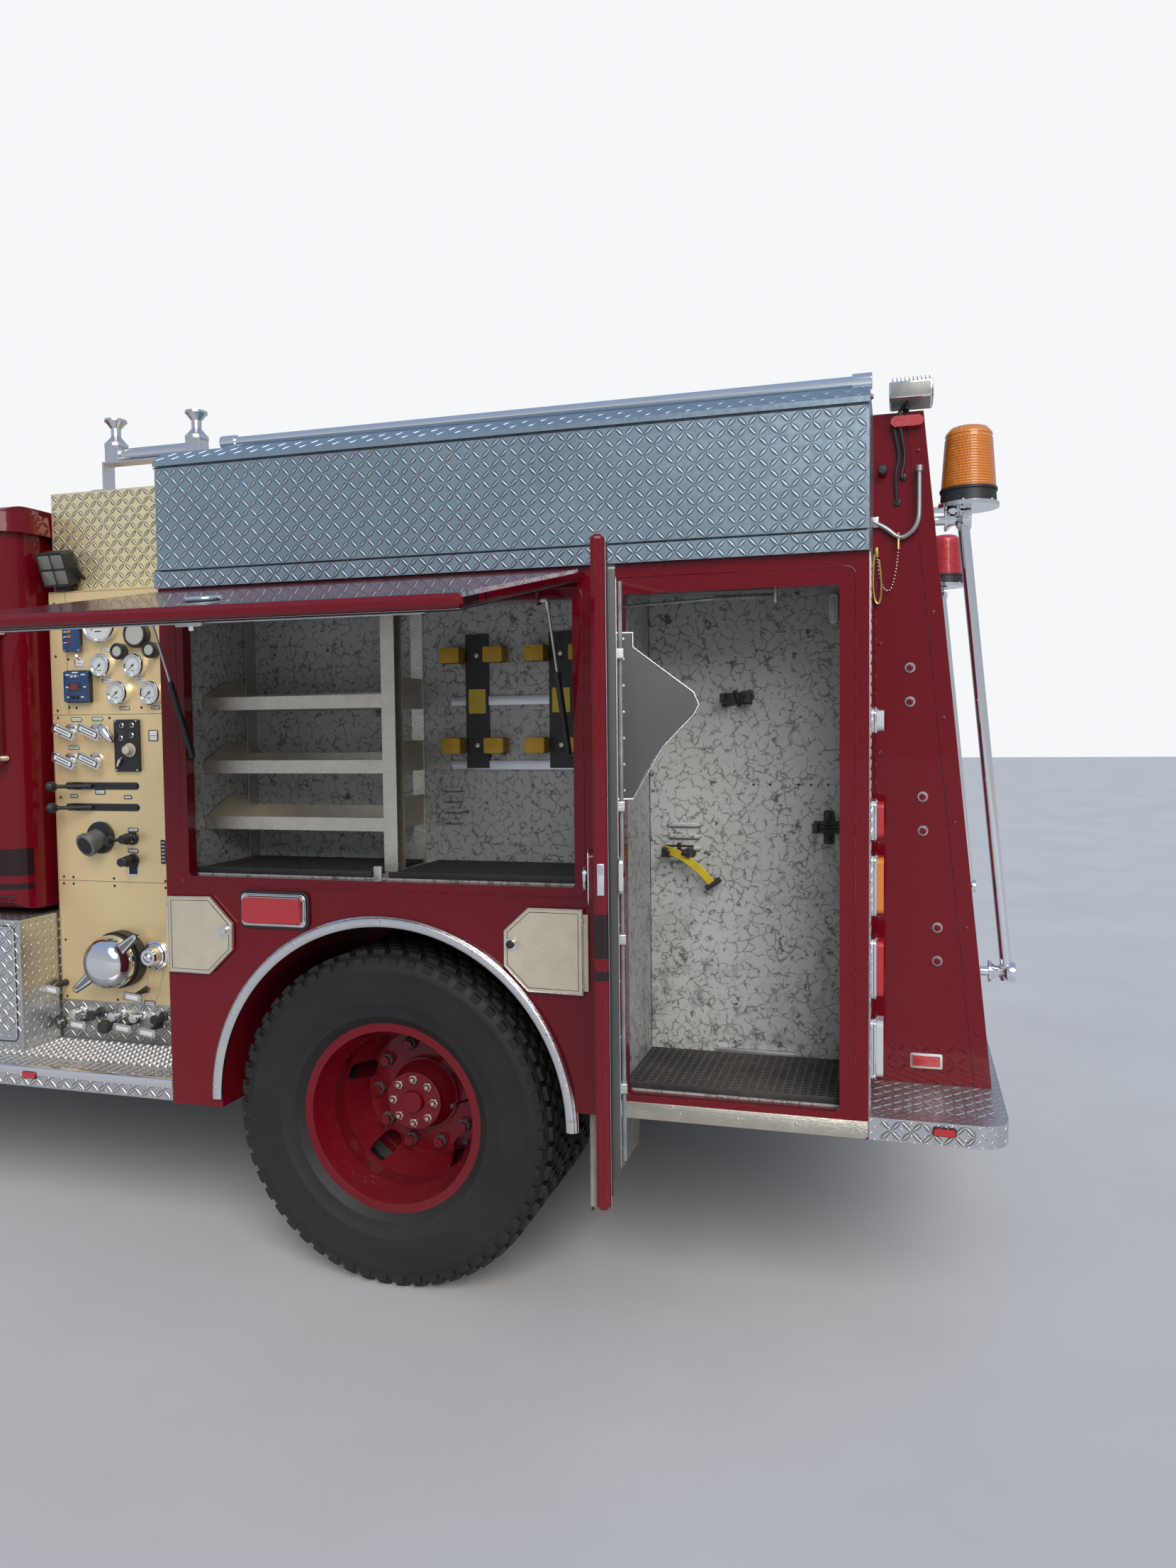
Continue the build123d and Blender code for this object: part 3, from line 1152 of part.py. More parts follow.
# Lift doors: the left one stands open and the right one is shut
LIFT_DOORS = ((-1, "left", LIFT_OPEN), (1, "right", 0))
for side, word, degrees in LIFT_DOORS:
    plane = lift_plane(side, degrees)
    span = sorted((-side * LIFT_X[0], -side * LIFT_X[1]))
    low_n = DOOR_LOW
    with BuildPart() as lift_door:
        plate(plane, span, (-LIFT_HEIGHT, -14), (low_n, low_n + DOOR_THICK), 12)
        chamfer(lift_door.faces().sort_by(SortBy.AREA)[-2:].edges(), DOOR_BEVEL)
        leaf = (span[0] + 20, span[1] - 20)
        plate(plane, leaf, (-40, 0), (low_n, low_n + 5))
        start = plane.from_local_coords((leaf[0], 0, 0))
        end = plane.from_local_coords((leaf[1], 0, 0))
        rod(tuple(start), tuple(end), HINGE_RADIUS)
        for x in STRUT_X:
            inwards = 1 if x < 700 else -1
            lx = -side * (x + inwards * 23)
            plate(plane, (lx - 3, lx + 3), (-STRUT_EYE_DOWN - 14, -STRUT_EYE_DOWN + 14),
                  (-STRUT_EYE_IN - 12, low_n + 1))
    finish(lift_door, f"lift_door_{word}")
    out, z = strut_eye(degrees)
    foot = Vector(0, side * STRUT_FOOT_OUT, STRUT_FOOT_Z)
    eye = Vector(0, side * out, z)
    line = (eye - foot).normalized()
    with BuildPart() as tubes:
        for x in STRUT_X:
            base = foot + Vector(x, 0, 0)
            pipe(tuple(base + line * 12), tuple(base + line * TUBE_LENGTH), TUBE_R, ROD_R + 1)
            rod(tuple(base), tuple(base + line * 30), TUBE_R - 1)
            jamb = UPPER_X[0] + FIT if x < 700 else UPPER_X[1] - FIT
            rod((jamb, foot.Y, foot.Z), (x, foot.Y, foot.Z), TUBE_R - 2)
    finish(tubes, f"strut_tubes_{word}")
    with BuildPart() as rods:
        for x in STRUT_X:
            tip = eye + Vector(x, 0, 0)
            length = (eye - foot).length
            reach = TUBE_LENGTH - 36 if degrees == 0 else 60
            start = tip - line * (length - TUBE_LENGTH + reach)
            rod(tuple(start), tuple(tip), ROD_R)
            rod(tuple(tip - line * 24), tuple(tip), TUBE_R - 2)
            inwards = 1 if x < 700 else -1
            rod(tuple(tip), tuple(tip + Vector(inwards * (20 - FIT), 0, 0)), TUBE_R - 3)
    finish(rods, f"strut_rods_{word}")

# Tall rear doors: the left one stands open and the right one is shut
TALL_DOORS = ((-1, "left", TALL_OPEN), (1, "right", 0))
for side, word, degrees in TALL_DOORS:
    plane = swing_plane(side, TALL_HINGE_X, DOOR_AXIS_OUT, degrees, 1)
    low_n = DOOR_LOW
    span = sorted((-side * 14, -side * TALL_DOOR_WIDTH))
    with BuildPart() as tall_door:
        plate(plane, span, TALL_DOOR_Z, (low_n, low_n + DOOR_THICK), 12)
        chamfer(tall_door.faces().sort_by(SortBy.AREA)[-2:].edges(), DOOR_BEVEL)
        pan = sorted((
            -side * (TALL_X[0] + PAN_INSET - TALL_HINGE_X), -side * (TALL_X[1] - PAN_INSET - TALL_HINGE_X)))
        plate(plane, pan, (TALL_Z[0] + PAN_INSET, TALL_Z[1] - PAN_INSET), (low_n - PAN_DEPTH, low_n + 1), 10)
        plate(plane, sorted((0, -side * 40)), (TALL_DOOR_Z[0] + 20, TALL_DOOR_Z[1] - 20), (low_n, low_n + 5))
        start = plane.from_local_coords((0, TALL_DOOR_Z[0] + 20, 0))
        end = plane.from_local_coords((0, TALL_DOOR_Z[1] - 20, 0))
        rod(tuple(start), tuple(end), HINGE_RADIUS)
        grip = sorted((-side * (TALL_DOOR_WIDTH - 130), -side * (TALL_DOOR_WIDTH - 30)))
        plate(plane, grip, (1330, 1440), (low_n + DOOR_THICK - 1, low_n + DOOR_THICK + 12), 12)
        if side < 0:
            origin = plane.from_local_coords((HOLDER_ALONG, 0, low_n - PAN_DEPTH + 1))
            stands = Plane(origin=origin, x_dir=-plane.z_dir, z_dir=(-plane.z_dir).cross(Vector(0, 0, 1)))
            with BuildSketch(stands) as holder:
                with BuildLine():
                    Polyline((0, 1539), (0, 1950), (43, 1950), (43, 1915), (193, 1802))
                    ThreePointArc((193, 1802), (206, 1772), (193, 1747))
                    ThreePointArc((193, 1747), (116, 1668), (43, 1544))
                    Polyline((43, 1544), (43, 1539), (0, 1539))
                make_face()
            extrude(holder.sketch, amount=3)
    finish(tall_door, f"rear_door_{word}")

# Small doors over the bottle tubes, all shut
SMALL_AXIS = HALF_WIDTH + 5 + FIT
for side, word in SIDES:
    for name, hinge_x, hand, points in SMALL_DOORS:
        with BuildPart() as small_door:
            outline(side, points, HALF_WIDTH + SEAL_GAP, SMALL_DOOR_THICK)
            rod((hinge_x, side * SMALL_AXIS, 970), (hinge_x, side * SMALL_AXIS, 1190), 5)
            box((hinge_x, hinge_x + hand * 16), (side * (SMALL_AXIS + 1), side * (SMALL_AXIS + 4.5)), (970, 1190))
            tip = points[2][0] if hand > 0 else points[5][0]
            rod((tip - hand * 24, side * (HALF_WIDTH + SEAL_GAP + SMALL_DOOR_THICK - 1), 1100),
                (tip - hand * 24, side * (HALF_WIDTH + SEAL_GAP + SMALL_DOOR_THICK + 14), 1100), 12)
        finish(small_door, f"small_door_{name}_{word}")

# Water tank between the modules, on its cradle over the frame
with BuildPart() as tank:
    tank_half = WELL_IN - 30
    box((SKIN, BODY_LENGTH - 60), (-tank_half, tank_half), (RAIL_BOTTOM_Z + RAIL_HEIGHT + 40, BODY_TOP - 60))
    for x in (200, 1300, 1900):
        box((x - 40, x + 40), (-tank_half, tank_half),
            (RAIL_BOTTOM_Z + RAIL_HEIGHT + FIT, RAIL_BOTTOM_Z + RAIL_HEIGHT + 41))
finish(tank, "water_tank")

# Hose bed: side boxes with drip strip and bevelled cap, floor, front wall and rear panel
with BuildPart() as bed:
    for side, word in SIDES:
        box((FIT, BODY_LENGTH), (side * (HALF_WIDTH - 60), side * (HALF_WIDTH + 18)),
            (STRIP_Z[0] + FIT, STRIP_Z[1]))
        box((0, BODY_LENGTH), (side * UPPER_BOX_IN, side * (HALF_WIDTH - 4)), (STRIP_Z[0] + FIT, PANEL_Z[1]))
        box((6, BODY_LENGTH - 6), (side * (HALF_WIDTH - 6), side * (HALF_WIDTH + 8)),
            (PANEL_Z[0] + 8, PANEL_Z[1] - 8))
        with BuildSketch(Plane.YZ) as cap:
            Polygon(
                (side * UPPER_BOX_IN, PANEL_Z[1] - 1),
                (side * UPPER_BOX_IN, CAP_Z),
                (side * (HALF_WIDTH - 42), CAP_Z),
                (side * (HALF_WIDTH + 10), PANEL_Z[1] + 14),
                (side * (HALF_WIDTH + 10), PANEL_Z[1] - 1),
                align=None,
            )
        extrude(cap.sketch, amount=BODY_LENGTH)
    box((0, BODY_LENGTH), (-UPPER_BOX_IN - 1, UPPER_BOX_IN + 1), (STRIP_Z[0] + FIT, STRIP_Z[0] + 30))
    box((0, 30), (-UPPER_BOX_IN - 1, UPPER_BOX_IN + 1), (STRIP_Z[0] + FIT, PANEL_Z[1]))
    box((BODY_LENGTH - 30, BODY_LENGTH), (-module_in + FIT, module_in - FIT), (700, STRIP_Z[0] + 1))
finish(bed, "hose_bed")

# Tailboard with rounded rear corners
with BuildPart() as tail:
    with BuildSketch(Plane.XY.offset(TAIL_TOP_Z - TAIL_THICK)):
        with BuildLine():
            x0, x1, r = BODY_LENGTH + FIT, TAIL_REAR_X, 80
            Line((x0, -HALF_WIDTH), (x1 - r, -HALF_WIDTH))
            RadiusArc((x1 - r, -HALF_WIDTH), (x1, -HALF_WIDTH + r), -r)
            Line((x1, -HALF_WIDTH + r), (x1, HALF_WIDTH - r))
            RadiusArc((x1, HALF_WIDTH - r), (x1 - r, HALF_WIDTH), -r)
            Line((x1 - r, HALF_WIDTH), (x0, HALF_WIDTH))
            Line((x0, HALF_WIDTH), (x0, -HALF_WIDTH))
        make_face()
    extrude(amount=TAIL_THICK)
    box((BODY_LENGTH - 1, TAIL_REAR_X - 60), (-HALF_WIDTH + 6, HALF_WIDTH - 6),
        (TAIL_TOP_Z - TAIL_THICK - 1, TAIL_TOP_Z - 6), mode=Mode.SUBTRACT)
    box((BODY_LENGTH + FIT, BODY_LENGTH + 6), (-HALF_WIDTH + 5, HALF_WIDTH - 5),
        (TAIL_TOP_Z - TAIL_THICK, TAIL_TOP_Z - 1))
finish(tail, "tailboard")


def buttress_edge(z):
    """Where the sloping rear edge of a buttress is at a height."""
    slope = (BUTTRESS_FOOT_X - BUTTRESS_HEAD_X) / (BUTTRESS_TOP_Z - TAIL_TOP_Z - FIT)
    return BUTTRESS_HEAD_X + (BUTTRESS_TOP_Z - z) * slope


# Rear buttresses: a folded plate each side, standing on the tailboard against the body
with BuildPart() as buttresses:
    for side, word in SIDES:
        outline(side, (
            (BODY_LENGTH + FIT, TAIL_TOP_Z + FIT),
            (BODY_LENGTH + FIT, BUTTRESS_TOP_Z),
            (BUTTRESS_HEAD_X, BUTTRESS_TOP_Z),
            (BUTTRESS_FOOT_X, TAIL_TOP_Z + FIT),
        ), BUTTRESS_OUT - BUTTRESS_THICK, BUTTRESS_THICK)
        outline(side, (
            (BODY_LENGTH - 1, TAIL_TOP_Z - 1),
            (BODY_LENGTH - 1, BUTTRESS_TOP_Z - 24),
            (BUTTRESS_HEAD_X - 44, BUTTRESS_TOP_Z - 24),
            (BUTTRESS_FOOT_X - 46, TAIL_TOP_Z - 1),
        ), BUTTRESS_OUT - BUTTRESS_THICK - 1, BUTTRESS_THICK - 5, mode=Mode.SUBTRACT)
        outline(side, (
            (BUTTRESS_HEAD_X - FLANGE_WIDTH, BUTTRESS_TOP_Z),
            (BUTTRESS_HEAD_X, BUTTRESS_TOP_Z),
            (BUTTRESS_FOOT_X, TAIL_TOP_Z + FIT),
            (BUTTRESS_FOOT_X - FLANGE_WIDTH, TAIL_TOP_Z + FIT),
        ), BUTTRESS_OUT - 1, FLANGE_RISE + 1)
finish(buttresses, "buttresses")

# Chrome rails: rear rails on the buttresses, top rails on the caps, cab grab handles
RAIL_R = 16
TOP_RAIL_Z = 2646
TOP_RAIL_OUT = 1070
GRAB_X = -815
GRAB_Z = (1633, 2079)
with BuildPart() as rails:
    for side, word in SIDES:
        y = side * (BUTTRESS_OUT - BUTTRESS_THICK / 2)
        (x0, z0), (x1, z1) = REAR_RAIL
        rod((x0, y, z0), (x1, y, z1), RAIL_R)
        for x, z in REAR_RAIL:
            rod((buttress_edge(z - 13) + FIT, y, z), (x, y, z), 13)
        line = (Vector(x1, y, z1) - Vector(x0, y, z0)).normalized()
        for x, z in REAR_RAIL:
            turned((x, y, z), tuple(line), ((-KNOB_HALF, KNOB_HALF, RAIL_KNOB, RAIL_KNOB),))
        ends = (175, 2145)
        rod((ends[0], side * TOP_RAIL_OUT, TOP_RAIL_Z), (ends[1], side * TOP_RAIL_OUT, TOP_RAIL_Z), RAIL_R)
        for x in ends:
            turned((x, side * TOP_RAIL_OUT, CAP_Z), (0, 0, 1), ((FIT, 8, 30, 30), (7, 40, 14, 14)))
            rod((x - 26, side * TOP_RAIL_OUT, TOP_RAIL_Z), (x + 26, side * TOP_RAIL_OUT, TOP_RAIL_Z), 22)
        grab = side * (CAB_HALF + 44)
        rod((GRAB_X, grab, GRAB_Z[0]), (GRAB_X, grab, GRAB_Z[1]), 14)
        for z in GRAB_Z:
            rod((GRAB_X, grab, z - 20), (GRAB_X, grab, z + 20), 18)
            start_out = CAB_HALF - 8
            rod((GRAB_X, side * start_out, z), (GRAB_X, grab, z), 13)
finish(rails, "handrails")

# Hose roller on the pump house: two waisted spools, their blocks and a level roller
SPOOLS_X = (-474, -137)
SPOOL_Y = -PUMP_HALF + PUMP_SET_BACK + 40
with BuildPart() as roller:
    box((SPOOLS_X[0] - 40, SPOOLS_X[1] + 30), (SPOOL_Y - 30, SPOOL_Y + 30), (2687, 2692))
    box((SPOOLS_X[0] - 40, SPOOLS_X[0] - 35), (SPOOL_Y - 30, SPOOL_Y + 30), (PUMP_TOP_Z + FIT, 2692))
    box((SPOOLS_X[0] - 90, SPOOLS_X[0] - 35), (SPOOL_Y - 30, SPOOL_Y + 30), (PUMP_TOP_Z + FIT, PUMP_TOP_Z + 6))
    box((SPOOLS_X[1] - 30, SPOOLS_X[1] - 24), (SPOOL_Y - 30, SPOOL_Y + 30), (PUMP_TOP_Z + FIT, 2692))
    for x in SPOOLS_X:
        box((x - 28, x + 28), (SPOOL_Y - 28, SPOOL_Y + 28), (2691, 2747))
        turned((x, SPOOL_Y, 2746), (0, 0, 1), (
            (0, 12, 40, 40), (12, 38, 38, 17), (38, 66, 17, 17), (66, 90, 17, 36), (90, 98, 38, 38)))
    rod((SPOOLS_X[0] + 27, SPOOL_Y, 2719), (SPOOLS_X[1] - 27, SPOOL_Y, 2719), 21)
finish(roller, "hose_roller")

# Rear lamp stack: lens colour, z from, z to
REAR_LAMPS = (
    ("clear", 1691, 1766),
    ("red", 1399, 1516),
    ("amber", 1191, 1364),
    ("red", 963, 1135),
    ("clear", 738, 913),
)
BEZEL = 13
LAMP_STACK_OUT = 1068
BEACON_X = 2428
BEACON_Z = 2368
BEACON_BASE = 36
tail_face = Plane(origin=(BODY_LENGTH, 0, 0), x_dir=(0, 1, 0), z_dir=(1, 0, 0))


def lens_stack(colour):
    """The rear lenses of one colour, both sides."""
    for side, word in SIDES:
        for name, low, high in REAR_LAMPS:
            if name == colour:
                y = side * LAMP_STACK_OUT
                plate(tail_face, (y - 40, y + 40), (low + 9, high - 9), (BEZEL + FIT, 36), 16)


with BuildPart() as housings:
    for side, word in SIDES:
        y = side * LAMP_STACK_OUT
        for colour, low, high in REAR_LAMPS:
            plate(tail_face, (y - 50, y + 50), (low, high), (FIT, BEZEL), 22)
        # Bright plate under the beacon, bolted to the buttress
        turned((BEACON_X, side * BUTTRESS_OUT, BEACON_Z - BEACON_BASE - 12), (0, 0, 1), ((0, 12 - FIT, 82, 82),))
        box((buttress_edge(BEACON_Z - BEACON_BASE - 12) + FIT, BEACON_X - 40), (side * (BUTTRESS_OUT - 40), side * (BUTTRESS_OUT - 4)),
            (BEACON_Z - BEACON_BASE - 12, BEACON_Z - BEACON_BASE - FIT))
        plate(face(side, out=HALF_WIDTH + FIT), sorted((-side * 281, -side * 505)), (1118, 1218), (0, 14), 16)
finish(housings, "lamp_housings")

# Black lamp bodies: beacon bases, flood lamps, tilted work light and the light bar's base
with controls:
    for side, word in SIDES:
        turned((BEACON_X, side * BUTTRESS_OUT, BEACON_Z - BEACON_BASE), (0, 0, 1), ((0, BEACON_BASE, 76, 74),))
        box((2215, 2330), (side * (BUTTRESS_OUT - 75), side * (BUTTRESS_OUT + 55)), (2628, 2672))
        box((2250, 2268), (side * (BUTTRESS_OUT - 30), side * (BUTTRESS_OUT - 10)), (BUTTRESS_TOP_Z + FIT, 2630))
    box((-690, -640), (-PUMP_HALF - 10, -PUMP_HALF + 16), (PUMP_SHELF_Z + FIT, PUMP_SHELF_Z + 38))
    tilt = Plane(origin=(-665, -PUMP_HALF - 26, PUMP_SHELF_Z + 78), x_dir=(1, 0, 0), z_dir=(0, -0.94, -0.34))
    plate(tilt, (-58, 58), (-60, 60), (-30, 22), 10)
    box((-2200, -1900), (-720, 720), (CAB_ROOF_Z + FIT, CAB_ROOF_Z + 40))
finish(controls, "black_fittings")

with BuildPart() as red:
    lens_stack("red")
    for side, word in SIDES:
        plate(face(side, out=HALF_WIDTH + FIT), sorted((-side * 293, -side * 493)), (1130, 1206), (14 + FIT, 32), 12)
        for x, z, out in ((2362, 653, HALF_WIDTH), (-562, 575, HALF_WIDTH)):
            plate(face(side, x=x, z=z, out=out + FIT), (-26, 26), (-9, 9), (0, 9), 4)
        plate(face(side, x=2262, z=2572, out=BUTTRESS_OUT + FLANGE_RISE + FIT), (-44, 44), (-15, 15), (0, 22), 14)
    turned((BEACON_X, BUTTRESS_OUT, BEACON_Z), (0, 0, 1), ((FIT, 150, 73, 62), (150, 172, 62, 50)))
    box((-2190, -1910), (-710, -260), (CAB_ROOF_Z + 40 + FIT, CAB_ROOF_Z + 150))
    box((-2190, -1910), (260, 710), (CAB_ROOF_Z + 40 + FIT, CAB_ROOF_Z + 150))
finish(red, "lenses_red")

with BuildPart() as amber:
    lens_stack("amber")
    turned((BEACON_X, -BUTTRESS_OUT, BEACON_Z), (0, 0, 1), ((FIT, 150, 73, 62), (150, 172, 62, 50)))
    for y in (-420, -210, 0, 210, 420):
        box((SCREEN_TOP_X + 60, SCREEN_TOP_X + 150), (y - 26, y + 26), (CAB_ROOF_Z + FIT, CAB_ROOF_Z + 30))
finish(amber, "lenses_amber")

with BuildPart() as clear:
    lens_stack("clear")
    box((-2190, -1910), (-258, 258), (CAB_ROOF_Z + 40 + FIT, CAB_ROOF_Z + 150))
finish(clear, "lenses_clear")
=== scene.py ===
"""Looks of a four-wheel-drive brush truck, laid out as an add-on and run as a script."""

import json
import math

import bmesh
import bpy
from mathutils import Matrix, Vector

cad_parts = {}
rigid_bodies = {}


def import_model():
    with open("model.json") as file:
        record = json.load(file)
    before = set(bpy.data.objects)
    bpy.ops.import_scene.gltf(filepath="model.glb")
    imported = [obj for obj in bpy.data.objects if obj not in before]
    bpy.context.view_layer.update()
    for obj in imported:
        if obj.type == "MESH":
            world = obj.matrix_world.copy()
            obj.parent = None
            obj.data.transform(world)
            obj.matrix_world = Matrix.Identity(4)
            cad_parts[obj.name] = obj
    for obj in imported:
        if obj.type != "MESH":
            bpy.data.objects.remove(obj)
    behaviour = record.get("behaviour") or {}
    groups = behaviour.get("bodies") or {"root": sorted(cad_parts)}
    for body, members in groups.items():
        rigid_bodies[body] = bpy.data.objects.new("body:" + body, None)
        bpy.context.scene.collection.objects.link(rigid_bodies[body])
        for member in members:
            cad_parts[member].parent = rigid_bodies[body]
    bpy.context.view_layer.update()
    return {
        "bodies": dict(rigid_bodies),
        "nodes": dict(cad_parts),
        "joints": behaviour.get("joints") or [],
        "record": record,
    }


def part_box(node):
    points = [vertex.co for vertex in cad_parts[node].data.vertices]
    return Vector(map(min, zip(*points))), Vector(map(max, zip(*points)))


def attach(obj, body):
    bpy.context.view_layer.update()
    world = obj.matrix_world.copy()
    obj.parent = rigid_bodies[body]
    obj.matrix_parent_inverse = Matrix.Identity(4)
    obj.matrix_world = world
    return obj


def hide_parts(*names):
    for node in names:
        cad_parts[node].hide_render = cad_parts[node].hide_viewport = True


bl_info = {
    "name": "Brush truck looks",
    "version": (1, 0, 0),
    "blender": (4, 5, 0),
    "location": "3D View > Sidebar > Brush truck",
    "description": "Finishes, fittings and studio for a brush truck",
    "category": "Object",
}

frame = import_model()
NODES = frame["nodes"]

# The truck's own place: front edge of the body, centre plane, ground
BODY_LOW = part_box("body_left")[0]
BODY_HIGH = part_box("body_right")[1]
ORIGIN = Vector((BODY_LOW.x, (BODY_LOW.y + BODY_HIGH.y) / 2, 0))
MM = 0.001
SIDES = ((-1, "left"), (1, "right"))

# Faces, by their distance from the centre plane
HALF_WIDTH = 1220
PANEL_OUT = 875
UPPER_OUT = 847
BOX_OUT = 1060
BED_OUT = 1228
SKIN_OUT = 1238
DOOR_OUT = 1226.3
CAB_OUT = 1020
BUTTRESS_OUT = 896
FENDER_OUT = 1165
WALL_OUT = 796.6

# Other places: end of the body, top of the running boards, hinge of the tall doors, axles
BODY_END = 2169
BOARD_TOP = 598
TALL_HINGE = 1462
FRONT_X, REAR_X = -3800, 745

# Degrees that the doors of each side stand open
LIFT_OPEN = {-1: 79, 1: 0}
TALL_OPEN = {-1: 75, 1: 0}


def at(x, y, z):
    """A point given in millimetres from the body's front edge, centre plane and the ground."""
    return ORIGIN + Vector((x, y, z)) * MM


# Shader building


class Tree:
    """Adds nodes to a tree. Inputs are values or the sockets that feed them."""

    def __init__(self, tree):
        self.tree = tree

    def add(self, kind, inputs=None, **settings):
        node = self.tree.nodes.new(kind)
        for key, value in settings.items():
            setattr(node, key, value)
        for key, value in (inputs or {}).items():
            self.feed(node.inputs[key], value)
        return node

    def feed(self, socket, value):
        if isinstance(value, bpy.types.NodeSocket):
            self.tree.links.new(value, socket)
        elif value is not None:
            socket.default_value = value

    def math(self, operation, *values, clamp=False):
        node = self.add("ShaderNodeMath", operation=operation, use_clamp=clamp)
        for index, value in enumerate(values):
            self.feed(node.inputs[index], value)
        return node.outputs[0]

    def vector(self, operation, *values):
        node = self.add("ShaderNodeVectorMath", operation=operation)
        for index, value in enumerate(values):
            self.feed(node.inputs["Scale" if operation == "SCALE" and index == 1 else index], value)
        return node.outputs["Value" if operation in ("DOT_PRODUCT", "LENGTH") else "Vector"]

    def mix(self, factor, first, second):
        node = self.add("ShaderNodeMix", data_type="RGBA")
        for index, value in ((0, factor), (6, first), (7, second)):
            self.feed(node.inputs[index], value)
        return node.outputs[2]

    def ramp(self, value, low, high, start=0.0, end=1.0):
        """Value mapped from low..high to start..end, clamped."""
        node = self.add("ShaderNodeMapRange", clamp=True)
        for index, given in enumerate((value, low, high, start, end)):
            self.feed(node.inputs[index], given)
        return node.outputs[0]

    def noise(self, vector, scale, detail=3.0, rough=0.55):
        node = self.add("ShaderNodeTexNoise",
                        {"Vector": vector, "Scale": scale, "Detail": detail, "Roughness": rough})
        return node.outputs[0]

    def parts(self, vector):
        return self.add("ShaderNodeSeparateXYZ", {0: vector}).outputs


GROUPS = {}


def shader_group(name, inputs, outputs):
    """A shader node group under a name, made by the function it decorates."""

    def wrap(build):
        def make():
            tree = bpy.data.node_groups.new(name, "ShaderNodeTree")
            for kind, rows in (("INPUT", inputs), ("OUTPUT", outputs)):
                for label, socket, value in rows:
                    made = tree.interface.new_socket(label, in_out=kind, socket_type="NodeSocket" + socket)
                    if kind == "INPUT" and value is not None:
                        made.default_value = value
            nodes = Tree(tree)
            given = nodes.add("NodeGroupInput").outputs
            end = nodes.add("NodeGroupOutput").inputs
            for label, result in build(nodes, given).items():
                nodes.feed(end[label], result)
            return tree

        GROUPS[name] = make
        return build

    return wrap


def group(tree, name, **inputs):
    """Places a shared group in a material's tree and returns its outputs."""
    if callable(GROUPS[name]):
        GROUPS[name] = GROUPS[name]()
    node = tree.add("ShaderNodeGroup", node_tree=GROUPS[name])
    for key, value in inputs.items():
        tree.feed(node.inputs[key.replace("_", " ")], value)
    return node.outputs


def place(tree):
    return tree.add("ShaderNodeTexCoord").outputs["Object"]


@shader_group(
    "Road dust",
    (("Colour", "Color", (0.5, 0.5, 0.5, 1)), ("Dust colour", "Color", (0.30, 0.26, 0.21, 1)),
     ("Amount", "Float", 0.5), ("Top", "Float", 1.4), ("Roughness", "Float", 0.4)),
    (("Colour", "Color", None), ("Roughness", "Float", None)),
)
def build_dust(tree, given):
    """Dust that thins out with height, in soft patches."""
    spot = place(tree)
    height = tree.parts(spot)[2]
    low = tree.ramp(height, 0.0, given["Top"], 1.0, 0.0)
    patch = tree.ramp(tree.noise(spot, 3.1, 5.0), 0.35, 0.72)
    fine = tree.ramp(tree.noise(spot, 41.0, 3.0), 0.3, 0.8, 0.5, 1.0)
    facing = tree.ramp(tree.parts(tree.add("ShaderNodeTexCoord").outputs["Normal"])[2], 0.2, 1.0, 0.0, 0.45)
    mask = tree.math("MULTIPLY", tree.math("ADD", tree.math("MULTIPLY", low, patch), facing), fine)
    mask = tree.math("MULTIPLY", mask, given["Amount"], clamp=True)
    return {
        "Colour": tree.mix(mask, given["Colour"], given["Dust colour"]),
        "Roughness": tree.math("ADD", given["Roughness"], tree.math("MULTIPLY", mask, 0.5), clamp=True),
    }


@shader_group(
    "Soft edges",
    (("Radius", "Float", 0.002), ("Wear scale", "Float", 60.0), ("Height", "Float", 0.0),
     ("Depth", "Float", 0.001)),
    (("Normal", "Vector", None), ("Edge", "Float", None)),
)
def build_edges(tree, given):
    """Rounded edges for crisp solids, a mask of worn edges, and a surface height on top."""
    rounded = tree.add("ShaderNodeBevel", {"Radius": given["Radius"]}, samples=4).outputs[0]
    true = tree.add("ShaderNodeNewGeometry").outputs["True Normal"]
    apart = tree.math("SUBTRACT", 1.0, tree.vector("DOT_PRODUCT", rounded, true))
    spot = place(tree)
    ragged = tree.ramp(tree.noise(spot, given["Wear scale"], 4.0, 0.7), 0.42, 0.62)
    bumped = tree.add("ShaderNodeBump",
                      {"Height": given["Height"], "Distance": given["Depth"], "Normal": rounded})
    return {
        "Normal": bumped.outputs[0],
        "Edge": tree.math("MULTIPLY", tree.ramp(apart, 0.02, 0.22), ragged),
    }


